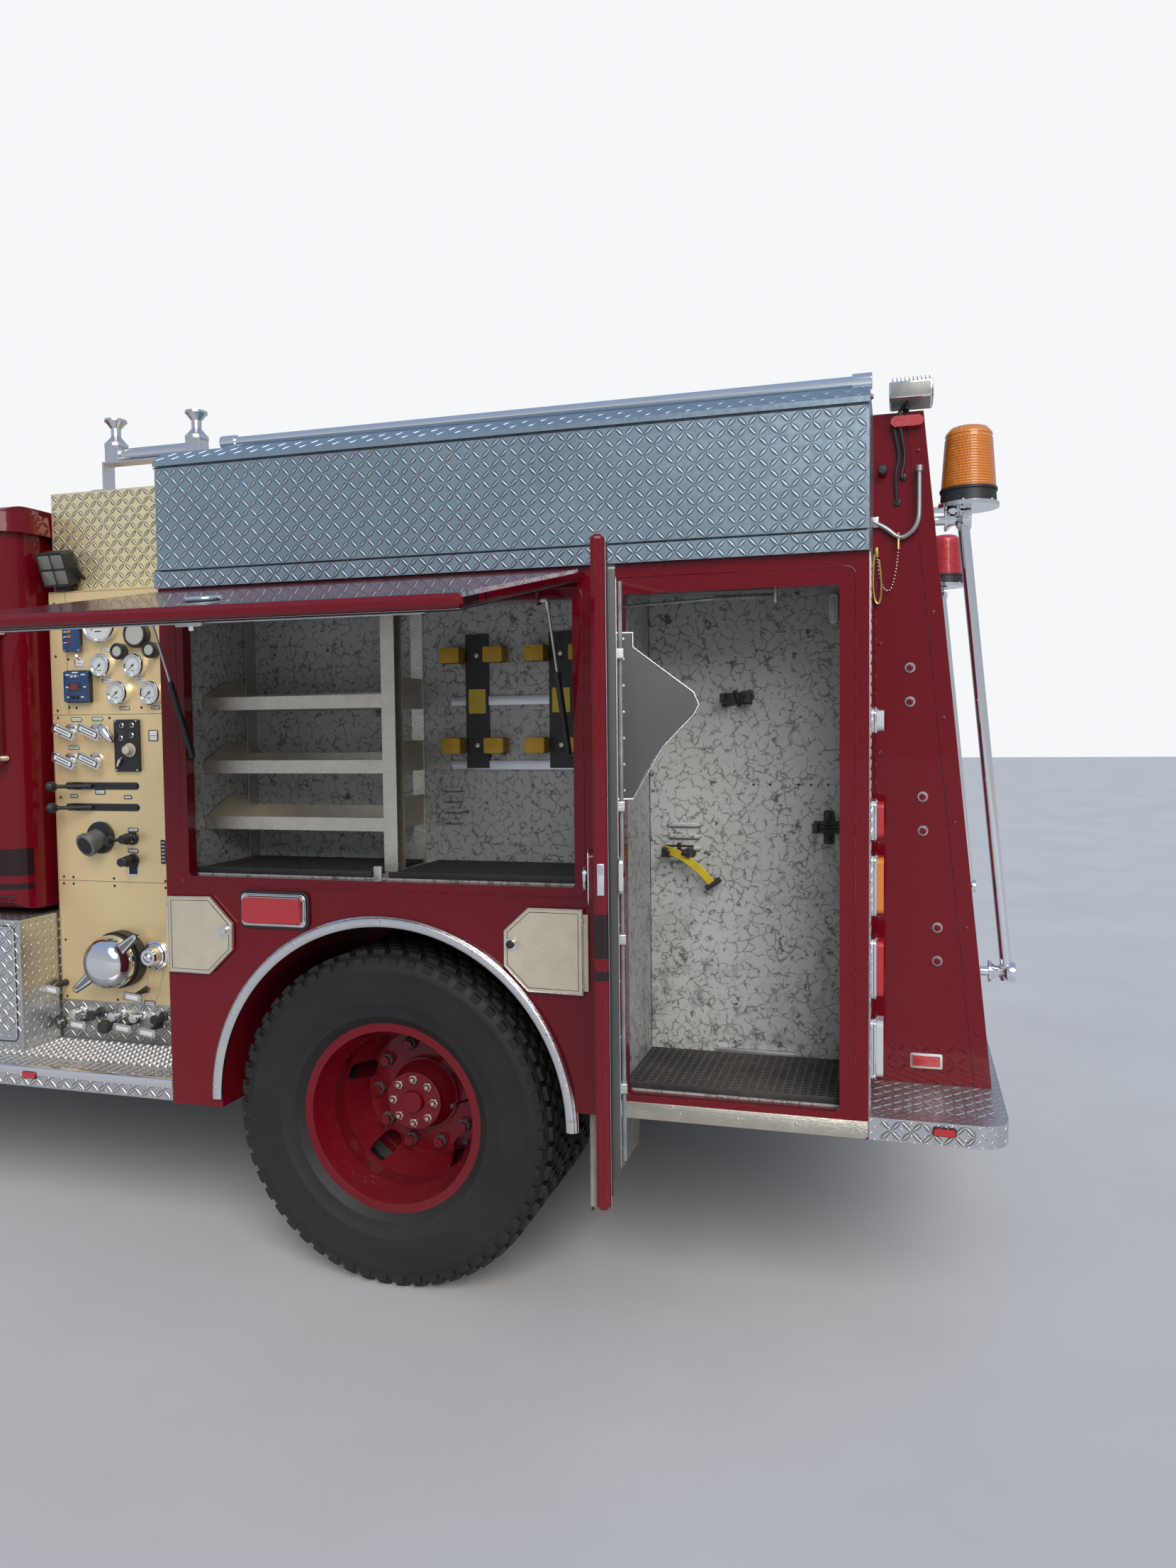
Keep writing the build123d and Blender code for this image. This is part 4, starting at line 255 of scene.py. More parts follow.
@shader_group(
    "Tread plate",
    (("Pitch", "Float", 0.034), ("Length", "Float", 0.44), ("Width", "Float", 0.13)),
    (("Height", "Float", None), ("Bar", "Float", None)),
)
def build_tread(tree, given):
    """Raised bars in alternating directions, laid over whichever plane the surface faces."""
    spot = tree.parts(place(tree))
    turn = tree.parts(tree.vector("ABSOLUTE", tree.add("ShaderNodeTexCoord").outputs["Normal"]))
    side_on = tree.math("GREATER_THAN", turn[1], turn[0])
    flat = tree.math("GREATER_THAN", turn[2], 0.75)

    def choose(mask, yes, no):
        return tree.math("ADD", tree.math("MULTIPLY", mask, yes),
                         tree.math("MULTIPLY", tree.math("SUBTRACT", 1.0, mask), no))

    def part(way, size):
        return tree.math("POWER", tree.math("DIVIDE", tree.math("ABSOLUTE", way), size), 2.0)

    across = choose(side_on, spot[0], choose(flat, spot[0], spot[1]))
    up = choose(flat, spot[1], spot[2])
    along = tree.math("DIVIDE", tree.math("ADD", across, up), given["Pitch"])
    other = tree.math("DIVIDE", tree.math("SUBTRACT", across, up), given["Pitch"])
    cell_a = tree.math("FLOOR", along)
    cell_b = tree.math("FLOOR", other)
    odd = tree.math("ABSOLUTE", tree.math("MODULO", tree.math("ADD", cell_a, cell_b), 2.0))
    a = tree.math("SUBTRACT", tree.math("SUBTRACT", along, cell_a), 0.5)
    b = tree.math("SUBTRACT", tree.math("SUBTRACT", other, cell_b), 0.5)
    long = choose(odd, a, b)
    short = choose(odd, b, a)
    bar = tree.ramp(tree.math("ADD", part(long, given["Length"]), part(short, given["Width"])), 1.0, 0.35)
    return {"Height": bar, "Bar": bar}


@shader_group(
    "Grain",
    (("Stretch", "Vector", (1.0, 1.0, 40.0)), ("Scale", "Float", 30.0)),
    (("Streak", "Float", None), ("Patch", "Float", None)),
)
def build_grain(tree, given):
    """Brushed streaks along one axis and broad uneven patches."""
    spot = place(tree)
    drawn = tree.vector("MULTIPLY", spot, given["Stretch"])
    return {
        "Streak": tree.noise(drawn, given["Scale"], 2.0, 0.5),
        "Patch": tree.noise(spot, 2.3, 5.0, 0.6),
    }


@shader_group(
    "Chips",
    (("Scale", "Float", 9.0), ("Amount", "Float", 0.5), ("Stretch", "Vector", (1.0, 1.0, 1.0))),
    (("Chip", "Float", None), ("Scratch", "Float", None)),
)
def build_chips(tree, given):
    """Small ragged chips and a few long scratches."""
    spot = tree.vector("MULTIPLY", place(tree), given["Stretch"])
    blot = tree.noise(spot, given["Scale"], 8.0, 0.78)
    edge = tree.math("SUBTRACT", 0.76, tree.math("MULTIPLY", given["Amount"], 0.18))
    chip = tree.ramp(blot, edge, tree.math("ADD", edge, 0.012))
    drawn = tree.vector("MULTIPLY", spot, (1.0, 1.0, 14.0))
    line = tree.ramp(tree.noise(drawn, 7.0, 6.0, 0.7), 0.70, 0.72)
    return {"Chip": chip, "Scratch": tree.math("MULTIPLY", line, given["Amount"])}


MATERIALS = {}


def material(name):
    """Registers a material builder; the material is made when first asked for."""

    def wrap(build):
        MATERIALS[name] = build
        return build

    return wrap


MADE = {}


def get(name):
    """A finish by name, made when it is first asked for."""
    if name in MADE:
        return MADE[name]
    made = MADE[name] = bpy.data.materials.new("truck_" + name)
    made.use_nodes = True
    made.node_tree.nodes.clear()
    tree = Tree(made.node_tree)
    out = tree.add("ShaderNodeOutputMaterial")
    shader = tree.add("ShaderNodeBsdfPrincipled")
    tree.feed(out.inputs[0], shader.outputs[0])
    for key, value in MATERIALS[name](tree).items():
        tree.feed(shader.inputs[key], value)
    return made


PAINT_RED = (0.165, 0.0025, 0.010, 1)
STRIPE_BLACK = (0.010, 0.010, 0.011, 1)
BANDS = ((1.210, 1.308), (1.161, 1.182))
EVEN = (1.0, 1.0, 1.0)


def surface(dusty, edges, metal=0.0, **more):
    """Inputs of the surface shader: a dusted colour and roughness, a normal and the metal."""
    return {
        "Base Color": dusty["Colour"],
        "Roughness": dusty["Roughness"],
        "Normal": edges["Normal"],
        "Metallic": metal,
        **more,
    }


def paint(tree, colour, dust=0.07, wear=0.25, top=1.1, rough=0.2):
    """Clear-coated vehicle paint with dust low down and a little wear on its edges."""
    edges = group(tree, "Soft edges", Radius=0.003)
    chips = group(tree, "Chips", Scale=14.0, Amount=wear * 0.5)
    colour = tree.mix(tree.ramp(tree.noise(place(tree), 1.7, 3.0), 0.2, 0.8, 0.0, 0.25), colour,
                      (0.085, 0.0015, 0.005, 1))
    worn = tree.math("MAXIMUM", tree.math("MULTIPLY", edges["Edge"], wear),
                     tree.math("MULTIPLY", chips["Chip"], wear))
    colour = tree.mix(worn, colour, (0.42, 0.30, 0.27, 1))
    dusty = group(tree, "Road dust", Colour=colour, Amount=dust, Top=top, Roughness=rough)
    return surface(dusty, edges, **{"Specular IOR Level": 0.12, "Coat Weight": 0.45, "Coat Roughness": 0.03})


def painted(colour, *worn):
    """Builds a paint of one colour."""
    return lambda tree: paint(tree, colour, *worn)


# Paints: finish, then colour, dust, wear, height of the dust, roughness
for row in (
    ("red_paint", PAINT_RED),
    ("wheel_red", (0.17, 0.004, 0.014, 1), 0.15, 0.8, 1.6, 0.3),
    ("buttress_red", PAINT_RED, 0.12, 0.5, 1.3, 0.2),
    ("red_chipped", PAINT_RED, 0.2, 1.6, 1.3, 0.3),
):
    MATERIALS[row[0]] = painted(*row[1:])


@material("chrome")
def chrome(tree):
    edges = group(tree, "Soft edges", Radius=0.001)
    smear = tree.ramp(tree.noise(place(tree), 9.0, 5.0), 0.3, 0.8, 0.04, 0.16)
    dusty = group(tree, "Road dust", Colour=(0.86, 0.86, 0.87, 1), Amount=0.2, Top=1.5, Roughness=smear)
    return surface(dusty, edges, 1.0)


@material("treadplate")
def treadplate(tree):
    bars = group(tree, "Tread plate")
    grain = group(tree, "Grain", Stretch=EVEN, Scale=60.0)
    edges = group(tree, "Soft edges", Radius=0.002, Height=bars["Height"], Depth=0.0022)
    # The bars are painted lighter than the plate between them: a painted highlight on the raised bars
    base = tree.mix(bars["Bar"], (0.60, 0.61, 0.62, 1), (0.80, 0.81, 0.83, 1))
    base = tree.mix(tree.ramp(grain["Patch"], 0.35, 0.7, 0.0, 0.3), base, (0.52, 0.51, 0.49, 1))
    rough = tree.ramp(grain["Streak"], 0.2, 0.8, 0.22, 0.38)
    dusty = group(tree, "Road dust", Colour=base, Amount=0.5, Top=1.1, Roughness=rough)
    return surface(dusty, edges, 0.92)


@material("aluminium")
def aluminium(tree):
    grain = group(tree, "Grain", Stretch=(1.0, 1.0, 60.0), Scale=14.0)
    edges = group(tree, "Soft edges", Radius=0.001, Height=grain["Streak"], Depth=0.0003)
    base = tree.mix(tree.ramp(grain["Patch"], 0.3, 0.7), (0.60, 0.60, 0.60, 1), (0.68, 0.68, 0.69, 1))
    dusty = group(tree, "Road dust", Colour=base, Amount=0.3, Top=1.4, Roughness=0.34)
    return surface(dusty, edges, 0.9)


@material("panel_warm_reflection")
def panel_warm_reflection(tree):
    grain = group(tree, "Grain", Stretch=(1.0, 1.0, 30.0), Scale=9.0)
    edges = group(tree, "Soft edges", Radius=0.0015, Height=grain["Streak"], Depth=0.0002)
    spots = group(tree, "Chips", Scale=42.0, Amount=0.2)
    # The warm gold colour is a painted reflection of sunlit ground; the streaks, patches and dark spots are
    # the panel's own
    base = tree.mix(tree.ramp(grain["Patch"], 0.3, 0.72), (0.90, 0.70, 0.38, 1), (0.80, 0.61, 0.32, 1))
    base = tree.mix(tree.math("MULTIPLY", spots["Chip"], 0.6), base, (0.16, 0.12, 0.09, 1))
    rough = tree.ramp(grain["Streak"], 0.2, 0.8, 0.3, 0.46)
    dusty = group(tree, "Road dust", Colour=base, Amount=0.35, Top=1.3, Roughness=rough)
    return surface(dusty, edges, 0.5)


@material("pale_speckle")
def pale_speckle(tree):
    spot = place(tree)
    base = tree.mix(tree.ramp(tree.noise(spot, 2.0, 6.0), 0.3, 0.75), (0.50, 0.51, 0.49, 1),
                    (0.40, 0.40, 0.37, 1))
    web = tree.add("ShaderNodeTexVoronoi", {"Vector": tree.vector("ADD", spot, tree.vector("SCALE", tree.add(
        "ShaderNodeTexNoise", {"Vector": spot, "Scale": 26.0, "Detail": 3.0}).outputs[1], 0.05)),
        "Scale": 30.0},
        feature="DISTANCE_TO_EDGE").outputs[0]
    broken = tree.ramp(tree.noise(spot, 34.0, 3.0), 0.42, 0.50)
    thread = tree.math("MULTIPLY", tree.ramp(web, 0.02, 0.075, 1.0, 0.0), broken)
    base = tree.mix(tree.math("MULTIPLY", thread, 0.8), base, (0.13, 0.115, 0.095, 1))
    chips = group(tree, "Chips", Scale=24.0, Amount=0.9)
    base = tree.mix(chips["Chip"], base, (0.10, 0.095, 0.09, 1))
    base = tree.mix(tree.math("MULTIPLY", chips["Scratch"], 0.8), base, (0.33, 0.25, 0.18, 1))
    # Darker towards the bottom, in patches
    low = tree.ramp(tree.parts(spot)[2], 0.66, 1.5, 0.75, 0.0)
    darker_low = tree.math("MULTIPLY", low, tree.ramp(tree.noise(spot, 13.0, 8.0, 0.8), 0.5, 0.62))
    base = tree.mix(darker_low, base, (0.12, 0.115, 0.11, 1))
    return {"Base Color": base, "Roughness": 0.42}


@material("tyre")
def tyre(tree):
    spot = place(tree)
    base = tree.mix(tree.ramp(tree.noise(spot, 7.0, 6.0), 0.3, 0.8), (0.006, 0.006, 0.007, 1),
                    (0.012, 0.011, 0.011, 1))
    dusty = group(tree, "Road dust", Colour=base, Amount=0.05, Top=1.5, Roughness=0.6)
    bump = tree.add("ShaderNodeBump", {"Height": tree.noise(spot, 260.0, 2.0), "Distance": 0.0004})
    return {"Base Color": dusty["Colour"], "Roughness": dusty["Roughness"], "Normal": bump.outputs[0]}


def dark(colour, rough, dust):
    """Builds a plain finish with a little wear on its edges."""

    def build(tree):
        edges = group(tree, "Soft edges", Radius=0.0015)
        base = tree.mix(tree.math("MULTIPLY", edges["Edge"], 0.35), colour + (1,), (0.20, 0.19, 0.18, 1))
        return surface(group(tree, "Road dust", Colour=base, Amount=dust, Top=1.5, Roughness=rough), edges)

    return build


# Plastics and dark metals: finish, then colour, roughness, dust
for row in (
    ("frame_black", (0.022, 0.022, 0.023), 0.45, 0.5),
    ("cast_black", (0.045, 0.043, 0.040), 0.62, 0.6),
    ("black_steel", (0.012, 0.012, 0.012), 0.3, 0.1),
    ("black_plastic", (0.018, 0.018, 0.019), 0.45, 0.2),
    ("grey_plastic", (0.13, 0.13, 0.14), 0.6, 0.1),
    ("tank_plastic", (0.62, 0.61, 0.57), 0.5, 0.4),
):
    MATERIALS[row[0]] = dark(*row[1:])


@material("seat_vinyl")
def seat_vinyl(tree):
    spot = place(tree)
    cells = tree.add("ShaderNodeTexVoronoi", {"Vector": spot, "Scale": 420.0}).outputs[0]
    bump = tree.add("ShaderNodeBump", {"Height": cells, "Distance": 0.0005, "Strength": 0.6})
    base = tree.mix(tree.ramp(tree.noise(spot, 6.0, 4.0), 0.3, 0.8), (0.055, 0.056, 0.062, 1),
                    (0.085, 0.085, 0.092, 1))
    return {"Base Color": base, "Roughness": 0.48, "Normal": bump.outputs[0]}


@material("glass")
def glass(tree):
    smear = tree.ramp(tree.noise(place(tree), 3.0, 5.0), 0.4, 0.9, 0.02, 0.12)
    return {"Base Color": (0.82, 0.88, 0.88, 1), "Roughness": smear, "Transmission Weight": 1.0, "IOR": 1.45}


def lens(colour):
    """Builds a moulded lens: small crossed ribs under a clear coat."""

    def build(tree):
        spot = tree.parts(place(tree))
        ribs = tree.math("SINE", tree.math("MULTIPLY", tree.math("ADD", spot[0], spot[1]), RIBS))
        rows = tree.math("SINE", tree.math("MULTIPLY", spot[2], RIBS))
        crossed = tree.math("MULTIPLY", ribs, rows)
        bump = tree.add("ShaderNodeBump", {"Height": crossed, "Distance": 0.0008, "Strength": 0.5})
        deep = tuple(c * 0.55 for c in colour) + (1,)
        return {"Base Color": tree.mix(tree.ramp(crossed, -1.0, 1.0), deep, colour + (1,)), "Roughness": 0.12,
                "Normal": bump.outputs[0], "Coat Weight": 1.0, "Coat Roughness": 0.03}

    return build


RIBS = 900.0
MATERIALS["red_lens"] = lens((0.62, 0.010, 0.018))
MATERIALS["amber_lens"] = lens((0.90, 0.27, 0.012))
MATERIALS["clear_lens"] = lens((0.72, 0.74, 0.75))


# Shapes in millimetres from the truck's own place

PLAIN = Matrix.Identity(4)


def frame_of(origin, u, v, n):
    made = Matrix.Identity(4)
    for column, axis in enumerate((u, v, n, origin)):
        for row in range(3):
            made[row][column] = axis[row]
    return made


def side_frame(side, x=0, z=0, out=HALF_WIDTH):
    """On a side face: u rearwards, v up, n outwards."""
    return frame_of((x, side * out, z), (1, 0, 0), (0, 0, 1), (0, side, 0))


def axis_frame(origin, axis, up=(0, 0, 1)):
    """With n along an axis."""
    n = Vector(axis).normalized()
    u = Vector(up).cross(n)
    u = u.normalized() if u.length > 0.01 else Vector((1, 0, 0))
    return frame_of(origin, u, n.cross(u), n)


def lift_frame(side):
    """On a lift door as it stands: u rearwards, v up the closed door, n outwards."""
    turn = math.radians(LIFT_OPEN[side])
    n = (0, side * math.cos(turn), math.sin(turn))
    return frame_of((0, side * DOOR_OUT, 2130), (1, 0, 0), (0, -side * math.sin(turn), math.cos(turn)), n)


def tall_frame(side):
    """On a tall door as it stands: u from its hinge, v up, n outwards."""
    turn = math.radians(TALL_OPEN[side])
    u = (math.cos(turn), side * math.sin(turn), 0)
    return frame_of((TALL_HINGE, side * DOOR_OUT, 0), u, (0, 0, 1),
                    (-math.sin(turn), side * math.cos(turn), 0))


def rear_frame(x, y=0, z=0):
    """On a face that looks rearwards: u to the right, v up."""
    return frame_of((x, y, z), (0, 1, 0), (0, 0, 1), (1, 0, 0))


def front_frame(x, y=0, z=0):
    """On a face that looks forwards: u to the left, v up."""
    return frame_of((x, y, z), (0, -1, 0), (0, 0, 1), (-1, 0, 0))


def moved(frame, u, v, n=0):
    """A frame shifted along its own axes."""
    return frame @ Matrix.Translation((u, v, n))


def turned(frame, angle):
    """A frame turned about its own n, by an angle in radians."""
    return frame @ Matrix.Rotation(angle, 4, "Z")


def circle(radius, sides=24, centre=(0, 0), start=0.0, end=math.tau):
    count = sides if end - start >= math.tau else sides + 1
    return [
        (centre[0] + radius * math.cos(start + (end - start) * i / sides),
         centre[1] + radius * math.sin(start + (end - start) * i / sides))
        for i in range(count)
    ]


def rounded(u, v, radius, steps=5):
    """Corners of a rounded rectangle over the spans u and v."""
    points = []
    for cu, cv, start in (
        (u[1] - radius, v[1] - radius, 0), (u[0] + radius, v[1] - radius, 90),
        (u[0] + radius, v[0] + radius, 180), (u[1] - radius, v[0] + radius, 270),
    ):
        points += circle(radius, steps, (cu, cv), math.radians(start), math.radians(start + 90))
    return points


def smooth_path(points, steps=6):
    """A curve through the given points."""
    points = [Vector(p) for p in points]
    ends = [points[0] * 2 - points[1]] + points + [points[-1] * 2 - points[-2]]
    path = []
    for a, b, c, d in zip(ends, ends[1:], ends[2:], ends[3:]):
        for i in range(steps):
            t = i / steps
            path.append(0.5 * (2 * b + (c - a) * t + (2 * a - 5 * b + 4 * c - d) * t**2
                               + (3 * b - a - 3 * c + d) * t**3))
    return path + [points[-1]]


class Shape:
    """One piece's mesh, gathered from solids that each have their own finish."""

    def __init__(self, name, body="chassis"):
        self.name = name
        self.body = body
        self.mesh = bmesh.new()
        self.finishes = []

    def solid(self, points, faces, finish, frame=PLAIN, bevel=0.0):
        if finish not in self.finishes:
            self.finishes.append(finish)
        verts = [self.mesh.verts.new(frame @ Vector(p)) for p in points]
        made = []
        for row in faces:
            face = self.mesh.faces.new([verts[i] for i in row])
            face.material_index = self.finishes.index(finish)
            made.append(face)
        if bevel:
            edges = list({edge for face in made for edge in face.edges})
            bmesh.ops.bevel(self.mesh, geom=edges, offset=bevel, segments=2, profile=0.5, affect="EDGES",
                            clamp_overlap=True)

    def block(self, u, v, n, finish, frame=PLAIN, bevel=1.0):
        self.prism([(u[0], v[0]), (u[1], v[0]), (u[1], v[1]), (u[0], v[1])], n, finish, frame, bevel)

    def prism(self, outline, n, finish, frame=PLAIN, bevel=0.0):
        count = len(outline)
        points = [(u, v, depth) for depth in n for u, v in outline]
        faces = [tuple(range(count))[::-1], tuple(range(count, 2 * count))]
        faces += [(i, (i + 1) % count, (i + 1) % count + count, i + count) for i in range(count)]
        self.solid(points, faces, finish, frame, bevel)

    def lathe(self, rows, finish, frame=PLAIN, sides=32, start=0.0, end=math.tau):
        """Turned from rows of radius and distance along n. Equal first and last rows close a ring."""
        ring = rows[0] == rows[-1]
        rows = rows[:-1] if ring else rows
        whole = end - start >= math.tau
        cuts = sides if whole else sides + 1
        points, index = [], []
        for radius, along in rows:
            if radius < 0.01:
                index.append([len(points)] * cuts)
                points.append((0, 0, along))
                continue
            index.append(list(range(len(points), len(points) + cuts)))
            points += [(a, b, along) for a, b in circle(radius, sides, (0, 0), start, end)]
        faces = []
        pairs = list(zip(index, index[1:])) + ([(index[-1], index[0])] if ring else [])
        for low, high in pairs:
            for i in range(cuts if whole else cuts - 1):
                j = (i + 1) % cuts
                row = list(dict.fromkeys((low[i], low[j], high[j], high[i])))
                if len(row) > 2:
                    faces.append(row)
        if not whole:
            faces += [[row[0] for row in index], [row[-1] for row in index][::-1]]
        elif not ring:
            faces += [row for row in (index[0][::-1], index[-1]) if len(set(row)) > 2]
        self.solid(points, faces, finish, frame)

    def tube(self, path, radius, finish, frame=PLAIN, sides=8, loop=False):
        """A round bar along a path; radius is one number or one per point."""
        path = [Vector(p) for p in path]
        count = len(path)
        radii = radius if isinstance(radius, (list, tuple)) else [radius] * count
        points = []
        across = None
        for i, spot in enumerate(path):
            ahead = path[(i + 1) % count] if loop or i + 1 < count else spot
            behind = path[i - 1] if loop or i else spot
            line = (ahead - behind).normalized()
            if across is None:
                across = line.orthogonal().normalized()
            across = (across - line * across.dot(line)).normalized()
            other = line.cross(across)
            points += [tuple(spot + (across * a + other * b)) for a, b in circle(radii[i], sides)]
        faces = []
        for i in range(count if loop else count - 1):
            j = (i + 1) % count
            for k in range(sides):
                m = (k + 1) % sides
                faces.append((i * sides + k, i * sides + m, j * sides + m, j * sides + k))
        if not loop:
            faces += [tuple(range(sides))[::-1], tuple(range((count - 1) * sides, count * sides))]
        self.solid(points, faces, finish, frame)

    def plate(self, u, v, radius, n, finish, frame=PLAIN, bevel=0.0):
        """A slab with rounded corners over the spans u, v and n."""
        self.prism(rounded(u, v, radius), n, finish, frame, bevel)

    def rim(self, outline, n, radius, finish, frame=PLAIN, sides=8):
        """A closed round bar along an outline, at the height n."""
        self.tube([(u, v, n) for u, v in outline], radius, finish, frame, sides, loop=True)

    def head(self, radii, heights, finish, frame=PLAIN, sides=32):
        """A low head: radii of its foot and shoulder, heights of foot, shoulder and crown."""
        (foot, shoulder), (low, high, crown) = radii, heights
        self.lathe([(0, low), (foot, low), (shoulder, high), (0, crown)], finish, frame, sides)

    def loose(self):
        """The shape as an object that rides on nothing, in millimetres."""
        bmesh.ops.recalc_face_normals(self.mesh, faces=self.mesh.faces)
        mesh = bpy.data.meshes.new(self.name)
        self.mesh.to_mesh(mesh)
        self.mesh.free()
        for finish in self.finishes:
            mesh.materials.append(get(finish))
        return bpy.data.objects.new(self.name, mesh)

    def done(self):
        """Puts the piece on its body, in the frame's metres."""
        piece = self.loose()
        piece.data.transform(Matrix.Translation(ORIGIN) @ Matrix.Scale(MM, 4))
        return settle(piece, self.body)


def settle(piece, body):
    """Shades a piece, and gives it its body."""
    piece.data.polygons.foreach_set("use_smooth", [True] * len(piece.data.polygons))
    piece.data.set_sharp_from_angle(angle=math.radians(32))
    bpy.context.scene.collection.objects.link(piece)
    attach(piece, body)
    return piece


def copies_tree():
    """Copies of one small shape on points, each turned by its own "turn"."""
    tree = bpy.data.node_groups.new("Copies on points", "GeometryNodeTree")
    for label, kind, way in (
        ("Geometry", "Geometry", "INPUT"), ("Copy", "Object", "INPUT"), ("Finish", "Material", "INPUT"),
        ("Geometry", "Geometry", "OUTPUT"),
    ):
        tree.interface.new_socket(label, in_out=way, socket_type="NodeSocket" + kind)
    nodes = Tree(tree)
    given = nodes.add("NodeGroupInput").outputs
    copy = nodes.add("GeometryNodeObjectInfo", {"Object": given["Copy"]}).outputs["Geometry"]
    turn = nodes.add("GeometryNodeInputNamedAttribute", {"Name": "turn"}, data_type="FLOAT_VECTOR").outputs[0]
    turned = nodes.add("FunctionNodeEulerToRotation", {0: turn}).outputs[0]
    points = nodes.add("GeometryNodeMeshToPoints", {"Mesh": given["Geometry"]}).outputs[0]
    placed = nodes.add("GeometryNodeInstanceOnPoints",
                       {"Points": points, "Instance": copy, "Rotation": turned})
    real = nodes.add("GeometryNodeRealizeInstances", {0: placed.outputs[0]}).outputs[0]
    painted = nodes.add("GeometryNodeSetMaterial", {"Geometry": real, "Material": given["Finish"]}).outputs[0]
    nodes.add("NodeGroupOutput", {0: painted})
    return tree


def copies(name, body, source, frames, finish):
    """A piece made of copies of a small shape, one in each frame."""
    small = source.loose()
    points = bpy.data.meshes.new(name + "_points")
    points.from_pydata([tuple(f.translation) for f in frames], [], [])
    turns = points.attributes.new("turn", "FLOAT_VECTOR", "POINT")
    for row, f in zip(turns.data, frames):
        turn = f.to_3x3()
        if turn.determinant() < 0:
            turn.col[0] = -turn.col[0]
        row.vector = turn.to_euler()
    carrier = bpy.data.objects.new(name + "_points", points)
    for thing in (small, carrier):
        bpy.context.scene.collection.objects.link(thing)
    tree = bpy.data.node_groups.get("Copies on points") or copies_tree()
    maker = carrier.modifiers.new("copies", "NODES")
    maker.node_group = tree
    ids = {item.name: item.identifier for item in tree.interface.items_tree if item.in_out == "INPUT"}
    maker[ids["Copy"]] = small
    maker[ids["Finish"]] = get(finish)
    ready = carrier.evaluated_get(bpy.context.evaluated_depsgraph_get())
    mesh = bpy.data.meshes.new_from_object(ready)
    mesh.name = name
    for thing in (small, carrier):
        bpy.data.objects.remove(thing)
    mesh.transform(Matrix.Translation(ORIGIN) @ Matrix.Scale(MM, 4))
    return settle(bpy.data.objects.new(name, mesh), body)


def spread(frame, us, vs, n=0.0, keep=None, flip=False, roll=0.0):
    """Frames over a grid in a frame. With flip, they alternate between a quarter turn and none."""
    made = []
    for i, u in enumerate(us):
        for j, v in enumerate(vs):
            if keep and not keep(u, v):
                continue
            turn = roll + (math.pi / 2 if flip and (i + j) % 2 else 0.0)
            made.append(turned(moved(frame, u, v, n), turn))
    return made


def bead_chain(name, path, face):
    """Small balls strung along a path on a face."""
    beads = []
    for spot in path:
        if not beads or (spot - beads[-1]).length > 6.5:
            beads.append(spot)
    ball = Shape("bead")
    ball.lathe([(0, -2.8), (2, -2), (2.8, 0), (2, 2), (0, 2.8)], "brushed", sides=8)
    copies(name, "chassis", ball, [moved(face, *spot) for spot in beads], "brushed")


def handle(made, door, spot, across, down, half):
    """A pull: a half ring, across and down from its spot, under a straight bar."""
    u, v, n = spot
    turns = [math.pi * i / 12 for i in range(13)]
    made.tube([(u + across * math.cos(a), v - down * math.sin(a), n) for a in turns], 5, "chrome", door, 10)
    made.tube([(u - half, v, n), (u + half, v, n)], 5.5, "chrome", door, 10)


def steps(low, high, pitch):
    """Even steps of about a pitch, kept half a pitch off both ends."""
    count = max(1, round((high - low) / pitch))
    return [low + (high - low) * (i + 0.5) / count for i in range(count)]


# Outline of one raised bar
BAR_RIM = ((-18, 0), (-9, -3), (0, -3.8), (9, -3), (18, 0), (9, 3), (0, 3.8), (-9, 3))


def tread_bar():
    """One raised bar of tread plate: a lens with a rounded back."""
    bar = Shape("tread_bar")
    crown = [(u * 0.78, v * 0.4, 1.9) for u, v in BAR_RIM]
    points = [(u, v, -0.3) for u, v in BAR_RIM] + crown
    faces = [tuple(range(8))[::-1], tuple(range(8, 16))]
    faces += [(i, (i + 1) % 8, (i + 1) % 8 + 8, i + 8) for i in range(8)]
    # The bar's finish is the treadplate's lighter copy, a painted highlight
    bar.solid(points, faces, "treadplate_bar")
    return bar


def tread(name, frames, finish, dirt):
    """Bars of tread plate, each with a painted shadow line round its foot."""
    copies(name, "chassis", tread_bar(), frames, finish)
    # A dark outline a little wider than the bar, just over the plate: a painted shadow round the bar's foot
    line = Shape("tread_line")
    line.solid([(u * 1.06, v * 1.75, 0.12) for u, v in BAR_RIM], [tuple(range(8))], dirt)
    copies(name + "_foot", "chassis", line, frames, dirt)


def screw(radius=5.0, height=2.4):
    """A round-headed screw with a recess."""
    made = Shape("screw")
    made.lathe([(0, height * 0.6), (radius * 0.3, height * 0.6), (radius * 0.36, height),
                (radius * 0.75, height * 0.8), (radius, 0.4), (radius, -1), (0, -1)], "black_steel", sides=12)
    return made


def hexagon(radius, height):
    """A six-sided nut with a domed stud through it."""
    made = Shape("nut")
    made.prism(circle(radius, 6), (0, height), "cast_black", bevel=1.2)
    made.lathe([(radius * 0.52, height - 1), (radius * 0.52, height + 5), (radius * 0.4, height + 8),
                (0, height + 8)], "cast_black", sides=12)
    return made


